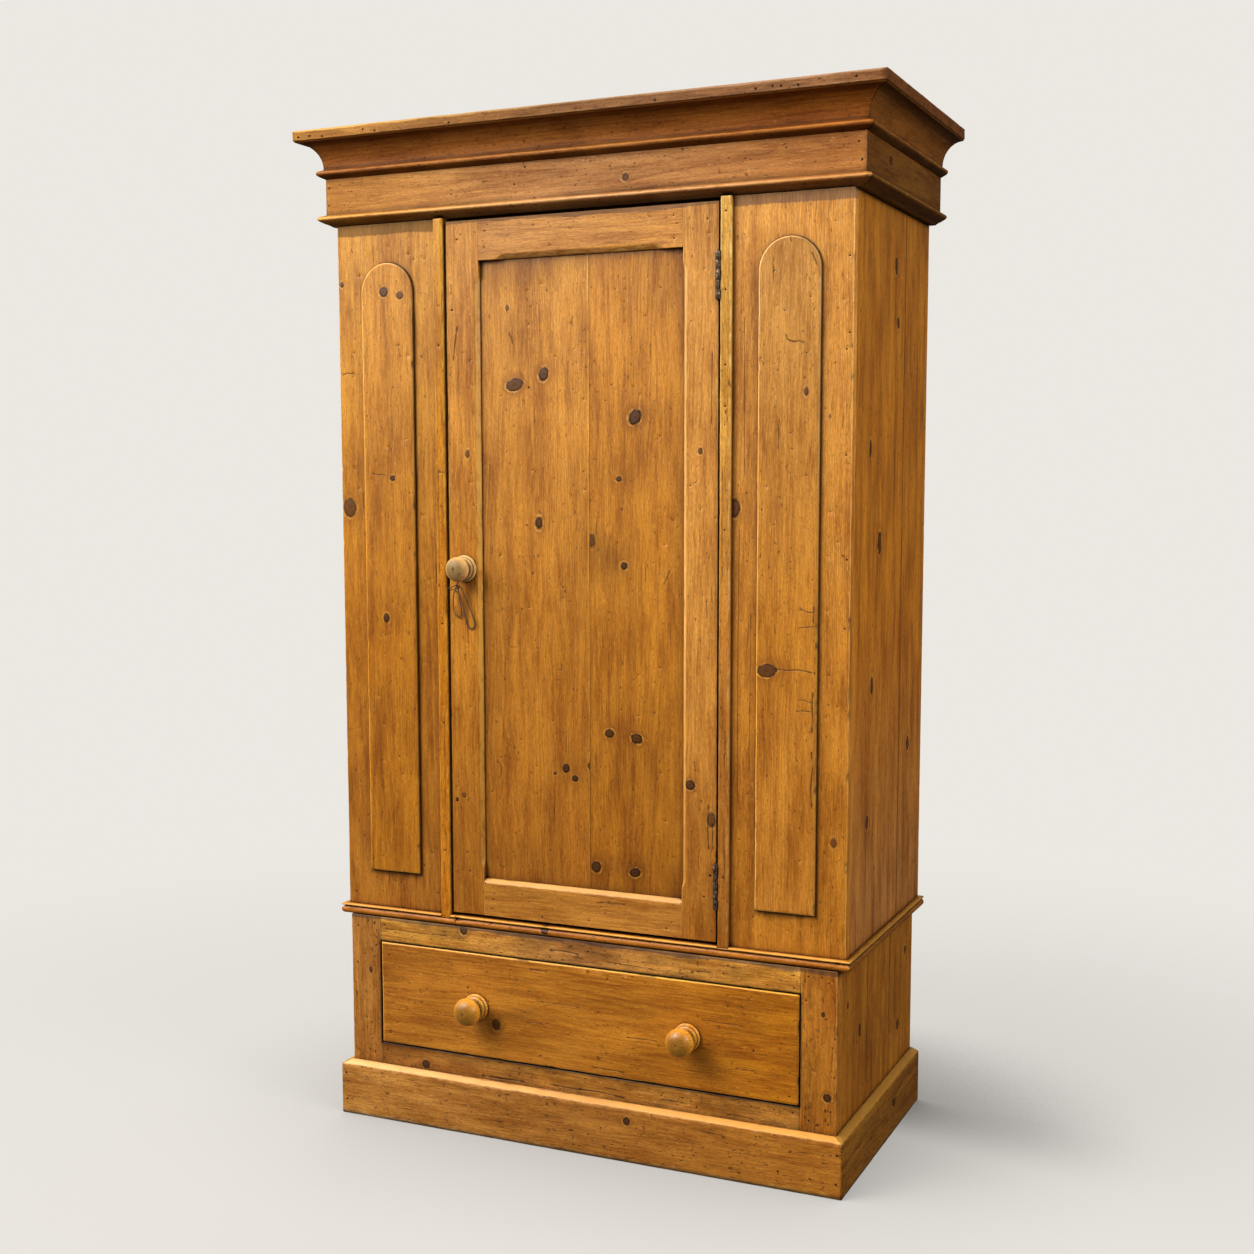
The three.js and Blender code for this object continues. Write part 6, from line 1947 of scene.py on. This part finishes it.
for sd in ("left", "right"):
    moulding(
        "waist_moulding_" + sd + "_worn", "waist_moulding_" + sd, "carcase", GOLDEN, WAIST, sd, 516, 0,
        tint=TINT_AND_PAINTED_LIGHT["waist_" + sd], hidden=lambda o, z: o < 1.5, wear=0.35, wear_fn=nose_wear_and_highlight(426, 431, 0.5), shade=WAIST_SHADE, chips=[(120, 8, 1.3, 421), (410, 9, 1.8, 424)],
    )

# ---------------------------------------------------------------------- base
def under_waist(z_edge, drift, seed):
    return lambda w: (w[:, 2] - z_edge) + drift * noise(np.column_stack([w[:, 0] / 70.0, w[:, 1] / 50.0]), seed)


def base_marks_and_shade(w):
    """Painted shade under the waist, above the plinth and round the drawer's opening; blotches on the rails, a dark
    line where each rail meets a post, and darker bands down the posts.
    """
    x, z = np.abs(w[:, 0]), w[:, 2]
    q = 1 - 0.34 * np.exp(-np.maximum(411 - z, 0) / 7.0)
    q *= 1 - 0.34 * np.exp(-np.maximum(z - 110, 0) / 6.0) * (z > 108)
    d = np.hypot(np.maximum(x - 438.5, 0), np.maximum(np.maximum(152.2 - z, z - 363), 0))
    q *= 1 - 0.75 * np.exp(-((d / 2.6) ** 2)) - 0.12 * np.exp(-d / 9.0)
    rail = (x < 438.4).astype(float)
    q *= 1 + rail * (0.26 * noise(np.column_stack([w[:, 0] / 54.0, z / 13.0]), 301) + 0.22 * noise(np.column_stack([w[:, 0] / 21.0, z / 8.5]), 302))
    q *= 1 - 0.60 * rail * np.exp(-(((438.4 - x) / 1.3) ** 2))
    post = 1 - rail
    q *= 1 - post * 0.50 * np.exp(-(((x - 456.5) / 3.4) ** 2)) * (w[:, 0] > 0) - post * 0.14 * np.exp(-(((x - 476) / 9.0) ** 2))
    return q


# Painted shade under the waist and above the plinth, dark lines along the joints and cracks, and long soft streaks.
def base_side_streaks_and_shade(w):
    z = w[:, 2]
    q = 1 - 0.42 * np.exp(-np.maximum(411 - z, 0) / 12.0)
    q *= 1 - 0.34 * np.exp(-np.maximum(z - 110, 0) / 8.0) * (z > 108)
    for c, a in ((350, 0.42), (190, 0.38), (96, 0.26), (268, 0.28), (436, 0.30)):
        q *= 1 - a * np.exp(-(((w[:, 1] - c) / 3.6) ** 2))
    return q * streaks(w[:, 1], z, ((50, 9, 0.28, 33), (140, 14, 0.24, 35), (228, 12, 0.30, 37), (310, 10, 0.26, 39), (395, 13, 0.28, 41), (480, 11, 0.28, 43)))


for side, s in (("left", -1), ("right", 1)):
    board(
        "base_post_" + side + "_worn", "base_post_" + side, "carcase", WAXED_ROUGH, "front", grain="v", step=8, r=1.3,
        tint=TINT_AND_PAINTED_LIGHT["base_post_" + side], wear=0.75, pith=(14 * s, -40), band=under_waist(404, 3.0, 70 + s), marks_and_painted_light=base_marks_and_shade,
        knots=[(-462, 300, 3.5, 1.5, 0.6)] if s < 0 else [(489, 178, 6.2, 1.0, 0.85), (480, 330, 3, 1.4, 0.7)],
        holes=[(s * 452, 396, 1.4, 2), (s * 490, 388, 1.4, 2), (s * 455, 130, 1.4, 2), (s * 492, 128, 1.4, 2), (s * 448, 352, 1.5, 2)],
        cracks=[line_crack([(s * 497, 230), (s * 498, 270)], 0.8, 0.8)],
        chip_at=[(s * 502, 300, 8, 1.6), (s * 502, 180, 7, 1.8)],
    )
    board(
        "base_side_" + side + "_worn", "base_side_" + side, "carcase", WAXED, side, grain="v", step=10, r=1.0,
        tint=TINT_AND_PAINTED_LIGHT["base_side_" + side], wear=0.7, pith=(s * 60, -70), marks_and_painted_light=base_side_streaks_and_shade,
        knots=[(s * 140, 260, 7, 1.5, 0.7), (s * 420, 190, 9, 1.2, 0.6), (s * 60, 330, 4, 1.5, 0.7), (s * 470, 330, 6, 1.2, 0.7)],
        cracks=[line_crack([(s * 350, 8), (s * 350.5, 200), (s * 350, 405)], 1.2, 1.5), line_crack([(s * 190, 8), (s * 189, 200), (s * 190.5, 405)], 1.0, 1.2),
                line_crack([(s * 100, 250), (s * 103, 262), (s * 108, 275)], 1.0, 1.0)],
    )
    from_cad("drawer_runner_" + side + "_eased", "drawer_runner_" + side, "carcase", BARE, bevel=0.9, wood_axes="zyx", tint=TINT_AND_PAINTED_LIGHT["inside"])

board(
    "base_top_rail_worn", "base_top_rail", "carcase", WAXED_ROUGH, "front", grain="h", step=8, r=1.2,
    tint=TINT_AND_PAINTED_LIGHT["base_top_rail"], wear=0.6, pith=(6, -44), band=under_waist(404, 3.0, 90), marks_and_painted_light=base_marks_and_shade,
    knots=[(-248, 405, 8.5, 0.85, 0.95)],
    holes=[(20, 392, 1.6, 2), (-60, 372, 1.3, 2), (300, 398, 1.6, 2), (292, 383, 1.4, 2), (425, 395, 1.4, 2), (426, 372, 1.4, 2), (-428, 395, 1.4, 2)],
    cracks=[line_crack([(-60, 386), (-30, 387), (0, 384)], 1.6, 1.2), line_crack([(230, 380), (262, 381)], 1.2, 1.0), line_crack([(60, 376), (150, 374)], 0.8, 0.7),
            line_crack([(-420, 388), (-330, 387), (-290, 389)], 0.7, 0.6)],
)
board(
    "base_lower_rail_worn", "base_lower_rail", "carcase", WAXED_ROUGH, "front", grain="h", step=8, r=1.2,
    tint=TINT_AND_PAINTED_LIGHT["base_lower_rail"], wear=0.6, pith=(-8, -40), marks_and_painted_light=base_marks_and_shade,
    knots=[(-337, 121, 7.5, 1.0, 0.8)],
    cracks=[line_crack([(-210, 117), (-170, 116), (-120, 118)], 1.8, 1.4), line_crack([(-60, 121), (-20, 119), (40, 121), (90, 118)], 1.4, 1.2), line_crack([(170, 126), (210, 127)], 1.2, 1.0),
            line_crack([(300, 118), (350, 117)], 1.0, 1.0)],
    holes=[(240, 122, 1.5, 2), (-425, 138, 1.4, 2), (-400, 120, 1.4, 2), (425, 140, 1.4, 2)],
)
board(
    "base_back_worn", "base_back", "carcase", BARE, "back", grain="h", step=14, r=1.6, tint=TINT_AND_PAINTED_LIGHT["back"], wear=0.4, worms=0.4, wavy=0.8,
    knots=[(-300, 300, 13, 1.2, 0.8), (60, 180, 11, 1.2, 0.8), (310, 340, 9, 1.2, 0.8), (210, 110, 12, 1.2, 0.7)],
    cracks=[line_crack([(-470, 232), (0, 230), (470, 233)], 1.2, 1.5)],
)

PLINTH = [(0.02, 0.05), (17.4, 0.05), (18, 0.8), (18, 101), (17.4, 103.2), (16.2, 104.8), (4.6, 109.4), (3.2, 109.95), (0.02, 109.95)]
for sd in ("front", "left", "right"):
    moulding(
        "plinth_" + sd + "_worn", "plinth_" + sd, "carcase", WAXED_ROUGH, PLINTH, sd, 505, -12,
        tint=TINT_AND_PAINTED_LIGHT["plinth_" + sd], hidden=lambda o, z: o < 1.0 or (z < 0.5 and o < 17), wear=0.55,
        # the top bevel is worn pale and gets a painted highlight, more on the front; the bottom edge gets painted shade
        # along the floor
        wear_fn=lambda s, o, z: 1.0 * smooth(102.0, 104.5, z) * smooth(1.0, 3.5, o),
        shade=((104, 109.4, 1.24 if sd == "front" else 1.12), (0, 4, 0.55)),
        knots=[(106, 80, 6.5, 0.9, 0.85)] if sd == "front" else [(330, 60, 7, 1.3, 0.7)],
        chips=[(-250, 16, 1.8, 107), (-205, 11, 2.2, 108), (-150, 9, 1.6, 108), (-70, 14, 2.0, 108), (-25, 10, 2.0, 107), (30, 16, 1.8, 108), (150, 8, 1.3, 106), (360, 7, 1.2, 106), (-512, 7, 1.6, 104), (511, 6, 1.8, 104),
               (-90, 6, 1.2, 55), (210, 5, 1.1, 35)] if sd == "front" else [(150, 10, 1.6, 106), (262, 6, 2.0, 106), (410, 9, 1.4, 105)],
        extra_cols=np.arange(-516, 516, 4.5) if sd == "front" else (),
    )

# -------------------------------------------------------------------- drawer
# Stains on the drawer front, and painted light and shade on its arrises.
def drawer_stains_and_light(w):
    q = np.ones(len(w))
    for cx, cz, rx, rz, a in (
        (-150, 244, 60, 10, 0.30), (-112, 256, 34, 5, 0.34), (-178, 224, 16, 14, 0.45), (60, 300, 160, 40, 0.10), (240, 205, 90, 26, 0.14), (-330, 330, 90, 20, 0.10),
        (350, 330, 70, 40, 0.10), (-40, 190, 120, 14, 0.10), (240, 250, 40, 40, 0.08),
    ):
        d = ((w[:, 0] - cx) / rx) ** 2 + ((w[:, 2] - cz) / rz) ** 2
        q *= 1 - a * np.exp(-d)
    for cx, cz, rx, rz, a in ((-60, 300, 90, 30, 0.08), (30, 235, 120, 16, 0.08), (-380, 250, 50, 60, 0.10), (150, 340, 160, 12, 0.08)):
        d = ((w[:, 0] - cx) / rx) ** 2 + ((w[:, 2] - cz) / rz) ** 2
        q *= 1 + a * np.exp(-d)
    # hands have worn the top and left arrises pale, and they get a painted highlight as well; the right and bottom
    # arrises get painted shade
    front_ = (w[:, 1] < -6).astype(float)
    top, left = np.exp(-(((360.5 - w[:, 2]) / 2.4) ** 2)), np.exp(-(((w[:, 0] + 436) / 2.4) ** 2))
    q *= 1 + front_ * (0.85 * top + 0.65 * left)
    right, low = np.exp(-(((436 - w[:, 0]) / 2.6) ** 2)), np.exp(-(((w[:, 2] - 155.5) / 2.4) ** 2))
    q *= 1 - 0.55 * right - 0.45 * low
    return q


front = board(
    "drawer_front_worn", "drawer_front", "drawer", WAXED, "front", grain="h", step=8, r=1.9, trim=False,
    tint=TINT_AND_PAINTED_LIGHT["drawer_front"], wear=0.95, pith=(30, -58), marks_and_painted_light=drawer_stains_and_light,
    r_fn=lambda u, v, e, k: (3.0 + 0.5 * float(noise1(k / 55.0, 12 + e)[0]), 0.25) if e in (2, 3) else None,
    knots=[(-178, 224, 10.5, 0.8, 0.55)],
    holes=[(-418, 175, 1.5, 2), (-419, 335, 1.4, 2), (419, 170, 1.4, 2), (-240, 290, 1.6, 2.2), (60, 344, 1.4, 2), (350, 245, 1.7, 2), (300, 322, 1.5, 2)],
    cracks=[line_crack([(-80, 282), (-40, 283), (0, 281)], 0.8, 0.7), line_crack([(100, 236), (160, 237)], 0.8, 0.7), line_crack([(-100, 343), (-70, 342)], 1.2, 1.0),
            line_crack([(30, 168), (90, 167)], 1.0, 0.8), line_crack([(250, 290), (330, 288)], 0.7, 0.6)],
    chip_at=[(-120, 359, 12, 1.6), (140, 359, 16, 1.4), (434, 300, 10, 2.0), (434, 200, 9, 2.0), (-60, 157, 12, 1.4)],
)


def dove_poly(zc, grow):
    y0 = 10 - 14 - grow
    w0, w1 = 21 + grow, 16.5 + grow
    return [(y0, zc - w0), (12, zc - w1), (12, zc + w1), (y0, zc + w0)]


carve(
    front,
    [prism_x(dove_poly(z, 0.15), *((-438, -422.85) if s < 0 else (422.85, 438))) for s in (-1, 1) for z in (190, 253, 316)]
    + [block(-428, 428, 4, 12, 166.7, 173.3)],
    "zxy",
)
for side, s in (("left", -1), ("right", 1)):
    # the tails' outline, seen from the side; the drawer's front is at low y
    tails = [(10.02, 152.5), (479.9, 152.5), (479.9, 347.9), (10.02, 347.9)]
    for z in (316, 253, 190):
        tails += [(10.02, z + 16.5), (-3.9, z + 20.9), (-3.9, z - 20.9), (10.02, z - 16.5)]
    if s < 0:
        tails = [(-u, v) for u, v in tails][::-1]
    side_obj = board(
        "drawer_side_" + side + "_worn", "drawer_side_" + side, "drawer", BARE, side, grain="h", step=12, r=0.5,
        outline=tails, face=435.0, depth=12.0, tint=TINT_AND_PAINTED_LIGHT["drawer_inside"], wear=0.5, worms=0.3, pith=(20, -70),
        knots=[(s * 190, 260, 9, 1.2, 0.7), (s * 370, 200, 7, 1.2, 0.7)],
    )
    carve(side_obj, [block(*((-428, -422) if s < 0 else (422, 428)), -12, 490, 166.7, 173.3)], "zyx")
board("drawer_bottom_worn", "drawer_bottom", "drawer", BARE, "top", grain="h", step=18, r=0.4, tint=TINT_AND_PAINTED_LIGHT["drawer_inside"], wear=0.2, worms=0.2,
      knots=[(-200, 200, 10, 1.2, 0.6), (150, 340, 12, 1.2, 0.6)], cracks=[line_crack([(-420, 248), (0, 246), (420, 249)], 0.9, 1.1)])
board("drawer_back_worn", "drawer_back", "drawer", BARE, "back", grain="h", step=14, r=0.8, tint=TINT_AND_PAINTED_LIGHT["drawer_inside"], wear=0.4, worms=0.3,
      knots=[(90, 250, 8, 1.2, 0.7)])
for side, s in (("left", -1), ("right", 1)):
    turned("drawer_knob_" + side + "_turned", "drawer_knob_" + side, "drawer", TURNED, DRAWER_PROFILE, s * 221, -12, 254, tint=TINT_AND_PAINTED_LIGHT["drawer_knob"], check=2.2 if s > 0 else 3.0)


# ---------------------------------------------------------------- floor, light
def floor():
    rings, seg = [0.0, 0.9, 1.6, 2.4, 3.4, 4.6, 6.0, 8.0], 72
    verts = [(0, 0, 0)]
    for rr in rings[1:]:
        verts += [(rr * math.cos(2 * math.pi * j / seg), rr * math.sin(2 * math.pi * j / seg), 0) for j in range(seg)]
    faces = [[0, 1 + j, 1 + (j + 1) % seg] for j in range(seg)]
    for i in range(len(rings) - 2):
        a, b = 1 + i * seg, 1 + (i + 1) * seg
        faces += [[a + j, b + j, b + (j + 1) % seg, a + (j + 1) % seg] for j in range(seg)]
    mesh = bpy.data.meshes.new("floor")
    mesh.from_pydata(verts, [], faces)
    g = Graph("floor")
    tc = g.node("ShaderNodeTexCoord").outputs["Object"]
    ln = g.node("ShaderNodeVectorMath", operation="LENGTH")
    g.put(ln.inputs[0], tc)
    fac = g.ramp(ln.outputs["Value"], 1.0, 2.8)
    # the floor's glow and its diffuse colour darken near the furniture by an ambient-occlusion mask, the more behind it
    # and to the right: a painted contact shadow
    ao = g.node("ShaderNodeAmbientOcclusion", samples=8, only_local=False)
    ao.inputs["Distance"].default_value = 0.50
    gx, gy, gz = g.sep(tc)
    behind = g.madd(gx, 0.25, gy)
    near = g.math("POWER", ao.outputs["AO"], g.ramp(behind, 0.20, 0.50, 0.7, 5.6))
    d = g.node("ShaderNodeBsdfDiffuse")
    g.put(d.inputs["Color"], g.mix(near, (0.12, 0.117, 0.112), (0.18, 0.177, 0.172)))
    glow = g.node("ShaderNodeEmission")
    g.put(glow.inputs["Color"], g.mix(near, (0.13, 0.126, 0.120), (0.500, 0.487, 0.460)))
    both = g.node("ShaderNodeAddShader")
    g.nt.links.new(d.outputs[0], both.inputs[0])
    g.nt.links.new(glow.outputs[0], both.inputs[1])
    t = g.node("ShaderNodeBsdfTransparent")
    mx = g.node("ShaderNodeMixShader")
    g.put(mx.inputs[0], fac)
    g.nt.links.new(both.outputs[0], mx.inputs[1])
    g.nt.links.new(t.outputs[0], mx.inputs[2])
    out = g.node("ShaderNodeOutputMaterial")
    g.nt.links.new(mx.outputs[0], out.inputs[0])
    mesh.materials.append(g.mat)
    o = bpy.data.objects.new("floor", mesh)
    SCENE.collection.objects.link(o)
    o.location.z = -0.0005
    # the pale sheet shows, but throws no light back up at the furniture
    o.visible_diffuse = False
    o.visible_glossy = False


floor()


def area(name, at, to, size, power, color=(1, 1, 1)):
    data = bpy.data.lights.new(name, "AREA")
    data.shape = "RECTANGLE"
    data.size, data.size_y = size
    data.energy = power
    data.color = color
    o = bpy.data.objects.new(name, data)
    SCENE.collection.objects.link(o)
    o.location = at
    o.rotation_euler = (Vector(to) - Vector(at)).to_track_quat("-Z", "Y").to_euler()


area("key", (-2.3, -3.0, 3.4), (0.0, -0.1, 1.3), (2.4, 2.4), 92.0, (1.0, 0.965, 0.92))
area("crown", (-1.5, -2.0, 2.7), (-0.1, -0.2, 1.6), (1.2, 1.2), 26.0, (1.0, 0.97, 0.93))
area("fill", (3.3, -1.0, 2.5), (0.5, 0.1, 1.2), (1.8, 1.8), 84.0, (1.0, 0.95, 0.89))
area("back", (-1.4, 3.6, 2.9), (0.0, 0.2, 1.0), (2.4, 2.0), 60.0, (1.0, 0.98, 0.95))
sky = bpy.data.lights.new("sky", "SUN")
sky.energy = 2.8
sky.angle = math.radians(70)
sky.color = (1.0, 0.97, 0.93)
sky_obj = bpy.data.objects.new("sky", sky)
SCENE.collection.objects.link(sky_obj)
sky_obj.rotation_euler = Vector((3.0, 1.9, -3.6)).to_track_quat("-Z", "Y").to_euler()

world = bpy.data.worlds.new("studio")
SCENE.world = world
world.use_nodes = True
nt = world.node_tree
nt.nodes.clear()
lp = nt.nodes.new("ShaderNodeLightPath")
tc = nt.nodes.new("ShaderNodeTexCoord")
sep = nt.nodes.new("ShaderNodeSeparateXYZ")
nt.links.new(tc.outputs["Generated"], sep.inputs[0])
up = nt.nodes.new("ShaderNodeMapRange")
up.inputs["From Min"].default_value = -0.35
up.inputs["From Max"].default_value = 0.5
up.inputs["To Min"].default_value = 0.10
up.inputs["To Max"].default_value = 0.34
nt.links.new(sep.outputs[2], up.inputs["Value"])
b0 = nt.nodes.new("ShaderNodeBackground")
b0.inputs[0].default_value = (1.0, 0.975, 0.94, 1)
dim = nt.nodes.new("ShaderNodeMath")
dim.operation = "MULTIPLY_ADD"
nt.links.new(lp.outputs["Is Glossy Ray"], dim.inputs[0])
dim.inputs[1].default_value = -0.65
dim.inputs[2].default_value = 1.0
mul = nt.nodes.new("ShaderNodeMath")
mul.operation = "MULTIPLY"
nt.links.new(up.outputs[0], mul.inputs[0])
nt.links.new(dim.outputs[0], mul.inputs[1])
nt.links.new(mul.outputs[0], b0.inputs[1])
b1 = nt.nodes.new("ShaderNodeBackground")
b1.inputs[0].default_value = (*srgb(235, 232, 226), 1)
b1.inputs[1].default_value = 1.0
mixw = nt.nodes.new("ShaderNodeMixShader")
outw = nt.nodes.new("ShaderNodeOutputWorld")
nt.links.new(lp.outputs["Is Camera Ray"], mixw.inputs[0])
nt.links.new(b0.outputs[0], mixw.inputs[1])
nt.links.new(b1.outputs[0], mixw.inputs[2])
nt.links.new(mixw.outputs[0], outw.inputs[0])
SCENE.view_settings.view_transform = "Standard"
